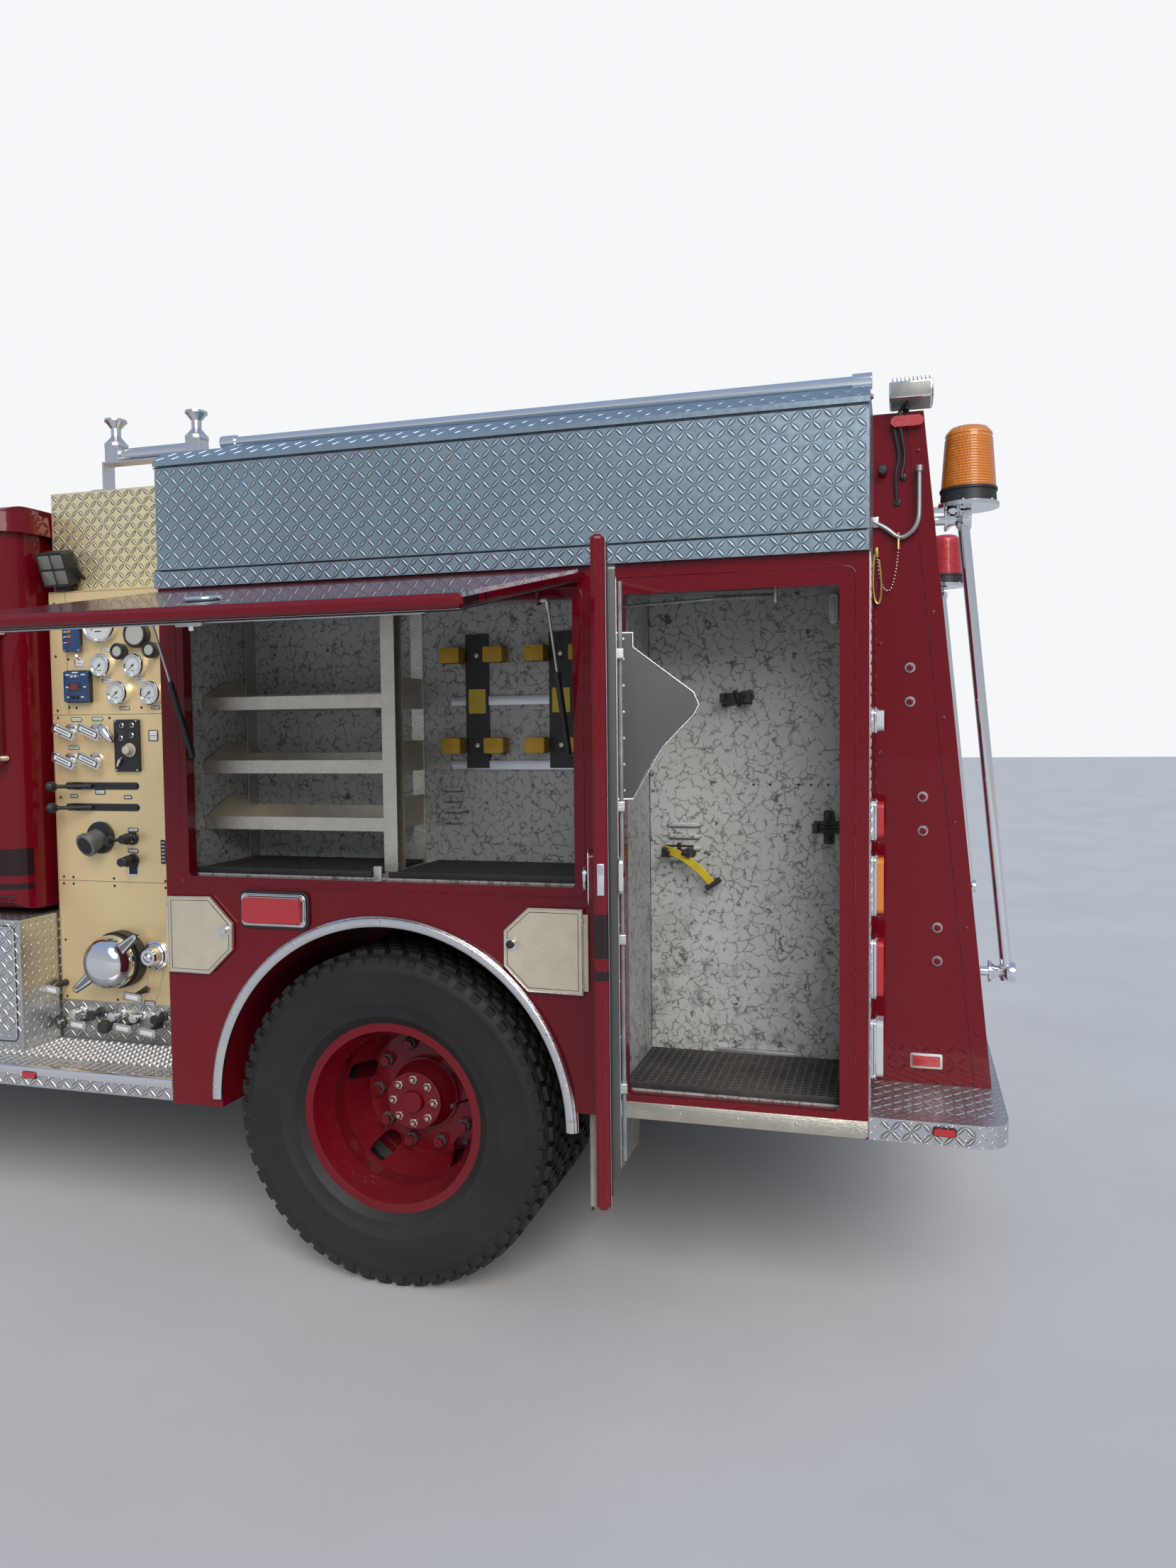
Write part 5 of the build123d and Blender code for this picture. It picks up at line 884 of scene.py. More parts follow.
def fitting(colour, rough, metal=0.0, dust=0.15, mottle=0.12, grain=0.0, edge=0.25, coat=0.0):
    """Builds a plain fitting's finish: mottled colour, worn edges, some dust and a fine surface."""

    def build(tree):
        spot = place(tree)
        patch = tree.ramp(tree.noise(spot, 19.0, 5.0), 0.3, 0.75)
        darker = tuple(c * (1 - mottle) for c in colour) + (1,)
        lighter = tuple(min(1.0, c * (1 + mottle * 0.5)) for c in colour) + (1,)
        fine = tree.noise(tree.vector("MULTIPLY", spot, (1.0, 1.0, 24.0)) if grain else spot,
                          60.0 if grain else 220.0, 2.0)
        edges = group(tree, "Soft edges", Radius=0.0012, Height=fine, Depth=0.0002 + grain * 0.0004)
        base = tree.mix(patch, darker, lighter)
        worn = (0.62, 0.61, 0.60, 1) if metal else tuple(min(1.0, c * 0.6 + 0.22) for c in colour) + (1,)
        base = tree.mix(tree.math("MULTIPLY", edges["Edge"], edge), base, worn)
        dusty = group(tree, "Road dust", Colour=base, Amount=dust, Top=1.4,
                      Roughness=tree.ramp(fine, 0.2, 0.8, rough * 0.8, rough * 1.2))
        return surface(dusty, edges, metal, **({"Coat Weight": coat, "Coat Roughness": 0.04} if coat else {}))

    return build


# Plain fittings: finish, then colour, roughness, metal, dust, mottle, grain, edge wear, coat
for row in (
    ("polished", (0.80, 0.80, 0.80), 0.16, 1.0, 0.15, 0.06, 0.3, 0.3),
    ("door_plate", (0.80, 0.71, 0.54), 0.36, 0.7, 0.15, 0.08, 1.0, 0.2),
    ("stainless", (0.68, 0.63, 0.53), 0.30, 1.0, 0.25, 0.10, 1.0, 0.3),
    ("pan", (0.60, 0.61, 0.62), 0.34, 0.9, 0.15, 0.10, 0.6, 0.4),
    ("brushed", (0.60, 0.59, 0.56), 0.34, 0.9, 0.15, 0.15, 0.4, 0.4),
    ("galvanised", (0.46, 0.46, 0.45), 0.42, 0.9, 0.30, 0.35, 0.0, 0.5),
    ("brass", (0.58, 0.38, 0.12), 0.32, 1.0, 0.15, 0.25, 0.0, 0.4),
    ("cast_grey", (0.24, 0.24, 0.235), 0.5, 0.6, 0.25, 0.25, 0.0, 0.5),
    ("cast_pale", (0.34, 0.33, 0.30), 0.45, 0.3, 0.3, 0.25, 0.0, 0.5),
    ("flap_brown", (0.30, 0.27, 0.22), 0.7, 0.0, 0.6, 0.35),
    ("dial", (0.62, 0.63, 0.60), 0.30, 0.0, 0.05, 0.04, 0.0, 0.0, 1.0),
    ("dial_blank", (0.42, 0.43, 0.36), 0.34, 0.0, 0.05, 0.08, 0.0, 0.0, 1.0),
    ("label_white", (0.74, 0.74, 0.71), 0.4, 0.0, 0.1, 0.08),
    ("label_grey", (0.12, 0.12, 0.12), 0.5, 0.0, 0.05, 0.1),
    ("label_pale", (0.64, 0.58, 0.46), 0.5, 0.0, 0.05, 0.1),
    ("label_yellow", (0.66, 0.48, 0.03), 0.45, 0.0, 0.15, 0.15),
    ("label_green", (0.02, 0.20, 0.10), 0.4, 0.0, 0.1, 0.2),
    ("bare_brown", (0.22, 0.14, 0.08), 0.5, 0.2, 0.1, 0.3),
    ("black_gloss", (0.010, 0.010, 0.011), 0.12, 0.0, 0.05, 0.1, 0.0, 0.2, 1.0),
    ("blue_paint", (0.010, 0.045, 0.14), 0.28, 0.0, 0.1, 0.15, 0.0, 0.5, 0.6),
    ("display_red", (0.20, 0.006, 0.008), 0.15, 0.0, 0.0, 0.3, 0.0, 0.0, 1.0),
    ("knob_beige", (0.58, 0.52, 0.40), 0.42, 0.0, 0.15, 0.15),
    ("yellow_pad", (0.64, 0.36, 0.02), 0.55, 0.0, 0.25, 0.25),
    ("strap_yellow", (0.70, 0.52, 0.03), 0.75, 0.0, 0.2, 0.2, 1.0),
    ("rubber", (0.014, 0.014, 0.014), 0.6, 0.0, 0.25, 0.2),
    ("seal", (0.010, 0.010, 0.010), 0.55, 0.0, 0.15, 0.2),
    ("rubber_mat", (0.020, 0.020, 0.021), 0.62, 0.0, 0.55, 0.3),
    ("seam_dark", (0.020, 0.018, 0.018), 0.6, 0.0, 0.3, 0.2),
    # The brown finish under the louvres is painted shade
    ("dust_brown", (0.26, 0.19, 0.12), 0.9, 0.0, 0.6, 0.4),
    ("mirror", (0.80, 0.82, 0.84), 0.03, 1.0, 0.02, 0.02),
    ("led_face", (0.15, 0.145, 0.12), 0.25, 0.0, 0.1, 0.15, 0.0, 0.0, 0.8),
):
    MATERIALS[row[0]] = fitting(*row[1:])


def stripes(tree, height, bands, colour):
    """Black bands over a paint where a height lies inside them."""
    mask = 0.0
    for low, high in bands:
        inside = tree.math("MULTIPLY", tree.math("GREATER_THAN", height, low),
                           tree.math("LESS_THAN", height, high))
        mask = tree.math("MAXIMUM", mask, inside)
    return tree.mix(mask, colour, STRIPE_BLACK)


@material("cab_red")
def cab_red(tree):
    """Striped on the cab's sides, plain elsewhere."""
    spot = tree.parts(place(tree))
    across = tree.math("ABSOLUTE", tree.math("SUBTRACT", spot[1], ORIGIN.y))
    striped = stripes(tree, spot[2], BANDS, PAINT_RED)
    return paint(tree, tree.mix(tree.math("GREATER_THAN", across, 0.95), PAINT_RED, striped))


def rear_red(side):
    """A tall door: striped paint outside, bare metal on its pan and holder inside."""

    def build(tree):
        door = tall_frame(side)
        spot = tree.vector("SUBTRACT", place(tree), tuple(ORIGIN + door.translation * MM))
        inside = tree.math("LESS_THAN",
                           tree.vector("DOT_PRODUCT", spot, tuple(door.to_3x3().col[2])), -0.0005)
        height = tree.parts(place(tree))[2]
        made = paint(tree, stripes(tree, height, BANDS, PAINT_RED))
        grain = group(tree, "Grain", Stretch=(1.0, 1.0, 30.0), Scale=9.0)
        bare = tree.mix(grain["Patch"], (0.11, 0.11, 0.105, 1), (0.17, 0.17, 0.165, 1))
        made["Base Color"] = tree.mix(inside, made["Base Color"], bare)
        made["Metallic"] = tree.math("MULTIPLY", inside, 0.85)
        made["Roughness"] = tree.math("MAXIMUM", made["Roughness"], tree.math("MULTIPLY", inside, 0.34))
        made["Coat Weight"] = tree.math("MULTIPLY", 0.45, tree.math("SUBTRACT", 1.0, inside))
        return made

    return build


def lift_red(side):
    """Stripes near the free edge of a lift door, measured down its own face."""

    def build(tree):
        door = lift_frame(side)
        spot = tree.vector("SUBTRACT", place(tree), tuple(ORIGIN + door.translation * MM))
        down = tree.vector("DOT_PRODUCT", spot, tuple(door.to_3x3().col[1]))
        return paint(tree, stripes(tree, down, ((-0.885, -0.800), (-0.770, -0.752)), PAINT_RED), dust=0.05)

    return build


for side, word in SIDES:
    MATERIALS[f"rear_red_{word}"] = rear_red(side)
    MATERIALS[f"lift_red_{word}"] = lift_red(side)


def plated(pale, deep, metal):
    """Builds a rolled sheet's finish between two colours."""

    def build(tree):
        grain = group(tree, "Grain", Stretch=EVEN, Scale=70.0)
        edges = group(tree, "Soft edges", Radius=0.0008, Height=grain["Streak"], Depth=0.0001)
        base = tree.mix(tree.ramp(grain["Patch"], 0.32, 0.7), pale + (1,), deep + (1,))
        rough = tree.ramp(grain["Streak"], 0.2, 0.8, 0.22, 0.36)
        dusty = group(tree, "Road dust", Colour=base, Amount=0.45, Top=1.1, Roughness=rough)
        return surface(dusty, edges, metal)

    return build


# Tread plate: finish, then pale and deep colour, metal
# The bar finishes are lighter copies of the plate finishes: a painted highlight on the raised bars. The last
# three finishes are a painted shadow line round the bars' feet.
for row in (
    ("treadplate_flat", (0.62, 0.61, 0.58), (0.50, 0.49, 0.46), 0.92),
    ("treadplate_bar", (0.94, 0.93, 0.90), (0.82, 0.81, 0.78), 0.95),
    ("plate_warm", (0.97, 0.85, 0.50), (0.88, 0.76, 0.44), 0.6),
    ("bar_warm", (1.0, 0.96, 0.76), (0.95, 0.88, 0.64), 0.9),
    ("bed_plate", (0.40, 0.50, 0.56), (0.32, 0.40, 0.45), 0.92),
    ("bed_bar", (0.84, 0.92, 0.96), (0.68, 0.77, 0.83), 0.95),
    ("dirt_grey", (0.17, 0.165, 0.15), (0.10, 0.095, 0.085), 0.4),
    ("dirt_warm", (0.15, 0.11, 0.055), (0.09, 0.065, 0.035), 0.2),
    ("dirt_blue", (0.11, 0.15, 0.18), (0.07, 0.09, 0.11), 0.4),
):
    MATERIALS[row[0]] = plated(*row[1:])


# Tyres and wheels


def mm_box(node):
    """A node's lowest and highest corner, in the truck's millimetres."""
    low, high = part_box(node)
    return (Vector(low) - ORIGIN) / MM, (Vector(high) - ORIGIN) / MM


TYRE_HALF = 139.5
TYRE_ROWS = (
    # radius, distance from the tyre's middle
    (287, 92), (296, 108), (318, 121), (322, 125.5), (330, 126.5), (362, 134.5), (366, 136.5), (372, 136.8),
    (400, 139), (430, 139.3), (456, 137.6), (460, 138.8), (466, 138.2), (482, 133.5), (497, 126), (507, 117),
    (511, 106),
)
# Rows of blocks: distance from the middle, offset in pitches
TREAD_ROWS = ((-92, 0.0), (-47, 0.5), (0, 0.1), (47, 0.6), (92, 0.2))
TREAD_COUNT = 54


class TyreSettings(bpy.types.PropertyGroup):
    """Tread of the tyres"""

    base: bpy.props.FloatProperty(name="Tread base",
                                  description="Radius under the blocks in mm", default=511.0)
    depth: bpy.props.FloatProperty(name="Tread depth", description="Height of the blocks in mm", default=12.6)


class Tyres(bpy.types.Operator):
    """Tyres with their tread, in place of the plain ones"""

    bl_idname = "brush_truck.tyres"
    bl_label = "Tyres"

    def execute(self, context):
        s = context.scene.brush_truck_tyres
        lie = rear_frame(0)
        for node, wheel in (("front_tyre", "front_wheel"), ("rear_tyres", "rear_wheels")):
            for _, word in SIDES:
                low, high = mm_box(f"{node}_{word}")
                middle = (low + high) / 2
                twin = high.y - low.y > 2 * TYRE_HALF + 50
                ys = (low.y + TYRE_HALF, high.y - TYRE_HALF) if twin else (middle.y,)
                carcass = Shape(f"tyre_carcass_{node}_{word}", f"{wheel}_{word}")
                profile = [(r, -a) for r, a in TYRE_ROWS] + [(r, a) for r, a in reversed(TYRE_ROWS)]
                frames, nubs = [], []
                for y in ys:
                    frame = axis_frame((middle.x, y, middle.z), (0, 1, 0))
                    carcass.lathe(profile + profile[:1], "tyre", frame, 96)
                    for across, offset in TREAD_ROWS:
                        for i in range(TREAD_COUNT):
                            turn = math.tau * (i + offset) / TREAD_COUNT
                            spin = turned(frame, turn)
                            frames.append(moved(spin, s.base - 2, 0, across) @ lie)
                            if abs(across) > 80:
                                lean = -1 if across < 0 else 1
                                nubs.append(moved(spin, 489, 0, lean * 125) @ lie)
                piece = carcass.done()
                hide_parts(f"{node}_{word}")
                block = Shape("tread_block")
                block.prism([(-20, -14), (-8, -18), (21, -17), (17, 0), (20, 15), (6, 18), (-20, 17),
                             (-16, 0)], (0, s.depth + 2), "tyre")
                copies(f"tyre_tread_{node}_{word}", f"{wheel}_{word}", block, frames, "tyre")
                nub = Shape("shoulder_lug")
                nub.prism([(-16, -9), (16, -9), (12, 9), (-12, 9)], (-12, 14), "tyre")
                copies(f"tyre_shoulder_{node}_{word}", f"{wheel}_{word}", nub, nubs, "tyre")
        return {"FINISHED"}


# Wheel nuts: body, x of the axle, face the studs stand on, circle, count, nut radius, height
NUTS = (
    ("front_wheel", FRONT_X, 1154.5, 167.5, 10, 23, 17),
    ("rear_wheels", REAR_X, 907.5, 167.5, 10, 23, 19),
    ("rear_wheels", REAR_X, 1003.5, 71, 8, 15.5, 9),
)


class WheelNuts(bpy.types.Operator):
    """Nuts, studs and valves of the wheels"""

    bl_idname = "brush_truck.nuts"
    bl_label = "Wheel nuts"

    def execute(self, context):
        for index, (wheel, x, out, radius, count, size, height) in enumerate(NUTS):
            for side, word in SIDES:
                frames = []
                for i in range(count):
                    turn = math.tau * i / count
                    spot = (x + radius * math.cos(turn), side * out, 525 + radius * math.sin(turn))
                    frames.append(side_frame(side, spot[0], spot[2], out))
                copies(f"wheel_nuts_{index}_{word}", f"{wheel}_{word}", hexagon(size, height),
                       frames, "cast_black" if index < 2 else "stainless")
        for side, word in SIDES:
            valve = Shape(f"wheel_valve_{word}", f"rear_wheels_{word}")
            valve.tube(smooth_path([(REAR_X + 218, side * 1000, 560), (REAR_X + 214, side * 1040, 562),
                                    (REAR_X + 196, side * 1090, 566), (REAR_X + 190, side * 1120, 567)]),
                       4.5, "chrome", sides=10)
            valve.head((6.5, 6.5), (0, 14, 15), "black_plastic",
                       axis_frame((REAR_X + 190, side * 1119, 567), (-0.2, side, 0)), 12)
            valve.done()
        return {"FINISHED"}


# Treadplate: pitch of the bars

TREAD = 28


def bars(face, us, vs, n=0.0, pitch=TREAD, keep=None):
    """Frames of tread bars over two spans of a face, in alternating directions."""
    return spread(face, steps(*us, TREAD), steps(*vs, pitch), n, keep, flip=True, roll=math.pi / 4)


class TreadBars(bpy.types.Operator):
    """Raised bars of the treadplate that shows near by"""

    bl_idname = "brush_truck.tread"
    bl_label = "Treadplate bars"

    def execute(self, context):
        for side, word in SIDES:
            sheet = Shape(f"pump_sheets_{word}")
            face = side_frame(side, out=PANEL_OUT)
            sheet.block((-731, -1), (599, 741), (0.2, 2.4), "treadplate_flat", face, 0.6)
            upper = side_frame(side, out=UPPER_OUT)
            sheet.block((-731, -1), (2235, 2589), (0.2, 2.2), "plate_warm", upper, 0.8)
            sheet.done()
            frames = bars(face, (-728, -4), (603, 738), 2.4)
            warm = bars(upper, (-728, -4), (2240, 2586), 2.2)
            tread(f"tread_bars_upper_{word}", warm, "bar_warm", "dirt_warm")
            boxes = side_frame(side, out=BOX_OUT)
            frames += bars(boxes, (-1696, -744), (664, 1056))
            board = side_frame(side, out=HALF_WIDTH)
            frames += bars(board, (-2690, -6), (538, 594))
            tread(f"tread_bars_front_{word}", frames, "treadplate_bar", "dirt_grey")
            bed = side_frame(side, out=BED_OUT)
            frames = bars(bed, (6, BODY_END - 6), (2226, 2540))
            strip = side_frame(side, out=SKIN_OUT)
            frames += bars(strip, (6, BODY_END - 6), (2170, 2216), 0, 26)
            cap = frame_of((0, side * 1230, 2562), (1, 0, 0), (0, -side * 0.807, 0.590),
                           (0, side * 0.590, 0.807))
            edge = bars(cap, (6, BODY_END - 6), (3, 61), -0.9, 26)
            copies(f"tread_bars_cap_{word}", "chassis", tread_bar(), edge, "bed_plate")
            tread(f"tread_bars_bed_{word}", frames, "bed_bar", "dirt_blue")
            back = frame_of((BODY_END, 0, 0), (0, side, 0), (0, 0, 1), (1, 0, 0))
            frames = bars(back, (1132, 1216), (620, 2160), 2.4)
            corner = Shape(f"corner_trim_{word}")
            corner.block((1128, 1220.4), (616, 2166), (0.2, 2.4), "treadplate_flat", back, 0.8)
            corner.done()
            tread(f"tread_bars_corner_{word}", frames, "treadplate_bar", "dirt_grey")
        tail = moved(PLAIN, 0, 0, 675)
        frames = bars(tail, (2176, 2500), (-1150, 1150), keep=lambda u, v: abs(abs(v) - 874) > 34)
        for side, word in SIDES:
            edge = side_frame(side, out=HALF_WIDTH)
            frames += bars(edge, (2200, 2440), (618, 672), 0, 26)
        tread("tread_bars_tail", frames, "treadplate_bar", "dirt_grey")
        return {"FINISHED"}


# Pump panel: places as x and z, with the radius of the round ones

DIALS = ((-500, 2112, 68), (-499, 1961, 40), (-359, 1957, 40), (-431, 1862, 40), (-294, 1859, 40))
BLANKS = ((-347, 2067, 46), (-423, 2009, 27), (-290, 2010, 27))
PULLS = ((-651, 1726), (-542, 1725), (-655, 1622), (-547, 1622))
LABELS = (
    # x, z, half width, half height, rim
    (-492, 2018, 20, 8, "chrome"), (-488, 1908, 22, 8, "chrome"), (-347, 1907, 22, 8, "chrome"),
    (-418, 1808, 22, 7, "bare_brown"), (-288, 1808, 18, 7, "bare_brown"), (-627, 1770, 24, 8, "label_green"),
    (-536, 1771, 24, 8, "label_green"), (-642, 1668, 24, 8, "label_green"), (-608, 1973, 19, 13, "chrome"),
    (-648, 1492, 17, 7, "black_plastic"), (-534, 1507, 22, 9, "black_plastic"),
    (-416, 1489, 17, 7, "black_plastic"), (-398, 1372, 22, 8, "black_plastic"),
    (-401, 1296, 22, 8, "black_plastic"), (-301, 1709, 20, 20, "black_plastic"),
    (-350, 746, 24, 9, "black_plastic"),
)
SCREWS = (
    (-710, 2000), (-655, 1988), (-709, 1803), (-658, 1814), (-626, 1812), (-348, 1809), (-709, 1777),
    (-485, 1774), (-709, 1486), (-707, 1195), (-665, 1194), (-488, 1194), (-708, 1170), (-665, 1170),
    (-486, 1167), (-270, 1190), (-270, 1166), (-20, 1190), (-20, 1166), (-709, 961), (-710, 751), (-488, 750),
    (-20, 750), (-20, 1486), (-20, 1800), (-20, 2100), (-709, 2190), (-20, 2190), (-360, 2190),
)
PULL_LABELS = ((-712, 787), (-361, 780), (-601, 665), (-407, 665), (-305, 655))


class PumpPanel(bpy.types.Operator):
    """Gauges, labels, pulls and controls of the pump panel"""

    bl_idname = "brush_truck.panel"
    bl_label = "Pump panel"

    def execute(self, context):
        face = side_frame(-1, out=PANEL_OUT)
        for side, word in SIDES:
            self.gauges(side, word)
            self.fittings(side, word)
        self.labels(face)
        self.controls(face)
        self.outlets()
        for side, word in SIDES:
            frames = [side_frame(side, x, z, PANEL_OUT) for x, z in SCREWS]
            copies(f"panel_screws_{word}", "chassis", screw(), frames, "black_steel")
            seams = Shape(f"panel_seams_{word}")
            at_side = side_frame(side, out=PANEL_OUT)
            for us, vs in (((-731, -1), (1181.4, 1182.8)), ((-731, -1), (1786, 1787.4)),
                           ((-660.7, -659.3), (1787, 2232))):
                seams.block(us, vs, (0.1, 0.35), "black_steel", at_side, 0)
            for us, vs in (((-731.5, -728), (742, 2232)), ((-4, -0.5), (742, 2232)),
                           ((-731.5, -0.5), (2228, 2232.5))):
                # Frame strips in the panel's finish, whose gold is a painted reflection
                seams.block(us, vs, (0.1, 1.6), "panel_warm_reflection", at_side, 0.5)
            seams.done()
        return {"FINISHED"}

    def gauges(self, side, word):
        made = Shape(f"gauge_faces_{word}")
        face = side_frame(side, out=PANEL_OUT)
        ticks = []
        for x, z, r in DIALS + BLANKS if side < 0 else (DIALS[0], BLANKS[0]):
            spot = moved(face, x, z)
            rim = "chrome" if (x, z, r) in DIALS else "black_plastic"
            made.lathe([(r + 1, 0.3), (r + 1.5, 20), (r + 2.5, 22), (r + 2.5, 26), (r - 1, 31), (r - 6, 31.5),
                        (r - 9, 28.4), (r - 9, 0.3), (r + 1, 0.3)], rim, spot, 48)
            made.head((r - 8, r - 8), (27.2, 27.9, 27.9),
                      "dial" if rim == "chrome" else "dial_blank", spot, 48)
            if rim != "chrome":
                continue
            for i in range(31):
                turn = math.radians(225 - 270 * i / 30)
                reach = r - (13 if i % 5 else 15)
                ticks.append(moved(turned(spot, turn), reach, 0, 27.9))
            needle = turned(spot, math.radians(222))
            made.prism([(-r * 0.24, -1.8), (r * 0.62, -0.7), (r * 0.62, 0.7), (-r * 0.24, 1.8)], (28.9, 29.5),
                       "black_plastic", needle, 0.2)
            made.head((r * 0.09, r * 0.09), (27.9, 30, 30.6), "black_plastic", spot, 16)
            made.block((-r * 0.2, r * 0.2), (-r * 0.48, -r * 0.42), (27.9, 28.1), "black_plastic", spot, 0)
        made.done()
        tick = Shape("tick")
        tick.block((-2.6, 2.6), (-0.55, 0.55), (0, 0.25), "black_plastic", bevel=0)
        copies(f"gauge_ticks_{word}", "chassis", tick, ticks, "black_plastic")

    def fittings(self, side, word):
        """Pulls, inlet, elbow, small outlet and drains, in place of the plain ones."""
        made = Shape(f"pump_fittings_{word}")
        face = side_frame(side, out=PANEL_OUT)
        for x, z in PULLS if side < 0 else PULLS[:2]:
            made.tube([(x, z, 0.3), (x, z, 40)], [10, 8], "chrome", face, 16)
            plate = turned(moved(face, x, z), math.radians(-22))
            made.plate((-49, 49), (-17, 17), 4, (38, 46), "chrome", plate, 1.5)
            made.plate((-43, 43), (-11, 11), 2, (45.5, 46.6), "black_plastic", plate, 0)
            made.plate((-38, 38), (-8, 8), 2, (46.3, 47.2), "label_white", plate, 0)
            made.block((-28, 28), (-2, 2), (47, 47.4), "label_grey", plate, 0)
            made.lathe([(0, 0.3), (29, 0.3), (29, 4), (25, 6), (13, 6), (12, 12), (0, 12)], "polished",
                       moved(face, x, z), 32)
            for i in range(4):
                a = math.pi / 4 + i * math.pi / 2
                made.head((3.5, 3), (5, 8, 8.4), "black_steel",
                          moved(face, x + 20 * math.cos(a), z + 20 * math.sin(a)), 10)
        inlet = moved(face, -456, 905)
        made.lathe([(0, 41), (92, 41), (92, 60), (95, 62), (95, 84), (91, 92), (84, 110), (72, 122),
                    (56, 131), (36, 137), (0, 139)], "chrome", inlet, 64)
        elbow = moved(face, -536, 1342)
        made.lathe([(0, 0.3), (58, 0.3), (58, 10), (42, 12), (41, 24), (0, 24)], "black_plastic", elbow, 40)
        mouth = Vector((-0.18, -0.36, 0.91)).normalized()
        start = Vector((0, 0, 12))
        made.tube([start, start + mouth * 50], 36, "cast_grey", elbow, 40)
        made.tube([start + mouth * 46, start + mouth * 66], 41, "cast_grey", elbow, 40)
        for i in range(4):
            ring = elbow @ axis_frame(start + mouth * (48 + i * 4.5), mouth)
            made.lathe([(40, 0), (43.5, 1), (43.5, 2), (40, 3), (40, 0)], "cast_grey", ring, 40)
        hollow = elbow @ axis_frame(start + mouth * 66.2, mouth)
        made.head((33, 33), (0, 0.3, 0.3), "black_plastic", hollow, 32)
        small = moved(face, -307, 925)
        made.lathe([(0, 0.3), (44, 0.3), (44, 24), (42, 27), (36, 30), (33, 56), (28, 61), (0, 62)],
                   "chrome", small, 40)
        for x in (-640, -560, -470, -380, -290, -200, -120):
            made.lathe([(0, 0.3), (18, 0.3), (18, 9), (14, 12), (9, 13), (9, 46), (16, 49), (17.5, 54),
                        (16, 60), (0, 62)], "black_plastic" if x in (-560, -290) else "chrome",
                        moved(face, x, 702), 24)
        if side < 0:
            made.tube([(-470, 1690, 0.3), (-470, 1700, 34)], [10, 8], "chrome", face, 16)
            drop = smooth_path([(-496, 1748, 34), (-486, 1738, 37), (-470, 1718, 40), (-452, 1698, 39),
                                (-444, 1688, 37)], 4)
            sizes = [4 + 14 * math.sin(math.pi * (0.06 + 0.88 * i / (len(drop) - 1)) ** 0.8)
                     for i in range(len(drop))]
            made.tube(drop, sizes, "chrome", face, 20)
        piece = made.done()
        if side < 0:
            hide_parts("pump_fittings")

    def labels(self, face):
        made = Shape("panel_labels")
        for x, z, w, h, rim in LABELS:
            spot = moved(face, x, z)
            made.plate((-w, w), (-h, h), 2.5, (0.2, 2.0), rim, spot, 0.4)
            made.block((-w + 4, w - 4), (-h + 3, h - 3), (1.6, 2.5), "label_white", spot, 0.3)
            made.block((-w + 8, w - 8), (-1, 1), (2.4, 2.6), "label_grey", spot, 0)
        made.plate((-572, -520), (1392, 1408), 2, (0.1, 0.5), "label_pale", face, 0)
        made.plate((-424, -378), (1207, 1251), 3, (0.2, 3), "chrome", face, 0.5)
        made.plate((-419, -383), (1212, 1246), 2, (2.8, 3.6), "black_plastic", face, 0.3)
        made.plate((-284, -264), (1252, 1338), 3, (0.2, 2.4), "black_plastic", face, 0.5)
        for step in range(6):
            made.block((-281, -267), (1260 + step * 13, 1266 + step * 13), (2.2, 4), "brushed", face, 0.6)
        made.done()

    def controls(self, face):
        made = Shape("panel_controls")
        self.flow_controller(made, face)
        self.level_gauge(made, face)
        for z in (1529, 1452):
            made.plate((-686, -368), (z - 13.5, z + 13.5), 13, (0.2, 1.2), "black_gloss", face, 0)
        # Toggle over its plate
        made.tube([(-608, 1988, 1), (-608, 1994, 12), (-600, 1999, 22)], [5, 3.2, 4.4], "chrome", face, 12)
        self.lever_plate(made, face)
        self.low_pulls(made, face)
        # Spade on the black ball valve and nut on the lever above it
        made.prism(circle(17, 8), (58, 72), "black_plastic", moved(face, -400, 1262), 3)
        made.prism(circle(16, 6), (0.4, 14), "chrome", moved(face, -400, 1342), 1)
        made.tube([(-400, 1342, 30), (-425, 1340, 56), (-440, 1339, 66)], [6, 6, 8],
                  "black_plastic", face, 12)
        made.lathe([(0, -16), (12, -15), (17, -6), (17, 6), (12, 15), (0, 16)], "black_plastic",
                   moved(face, -446, 1338, 72), 20)
        made.done()

    def outlets(self):
        """Thread rings on the elbows, the cap's wings and grooves, and the bead chain."""
        for side, word in SIDES:
            made = Shape(f"outlet_details_{word}")
            face = side_frame(side, out=PANEL_OUT)
            cap = moved(face, -456, 905)
            made.lathe([(92, 44), (96, 46), (96, 54), (92, 56), (92, 44)], "black_plastic", cap, 56)
            for turn in (math.radians(38), math.radians(218)):
                wing = turned(cap, turn)
                made.prism([(70, -24), (168, -13), (176, 0), (168, 13), (70, 24)], (86, 102),
                           "chrome", wing, 4)
                made.prism([(88, -9), (158, -4), (158, 4), (88, 9)], (101.5, 103), "cast_grey", wing, 0.6)
            small = moved(face, -307, 925)
            made.lathe([(45, 1), (52, 3), (52, 20), (45, 24), (45, 1)], "chrome", small, 40)
            made.lathe([(0, 60), (18, 61), (14, 66), (6, 70), (0, 71)], "chrome", small, 24)
            for turn in (0.6, 2.7, 4.8):
                made.head((6, 6), (0, 12, 13), "chrome", moved(turned(small, turn), 51, 0, 6), 12)
            made.done()
            path = smooth_path([(-307, 860, 60), (-306, 830, 66), (-302, 790, 60), (-297, 762, 50),
                                (-290, 775, 40), (-284, 810, 30), (-281, 850, 18), (-282, 868, 8)], 8)
            bead_chain(f"cap_chain_{word}", path, face)

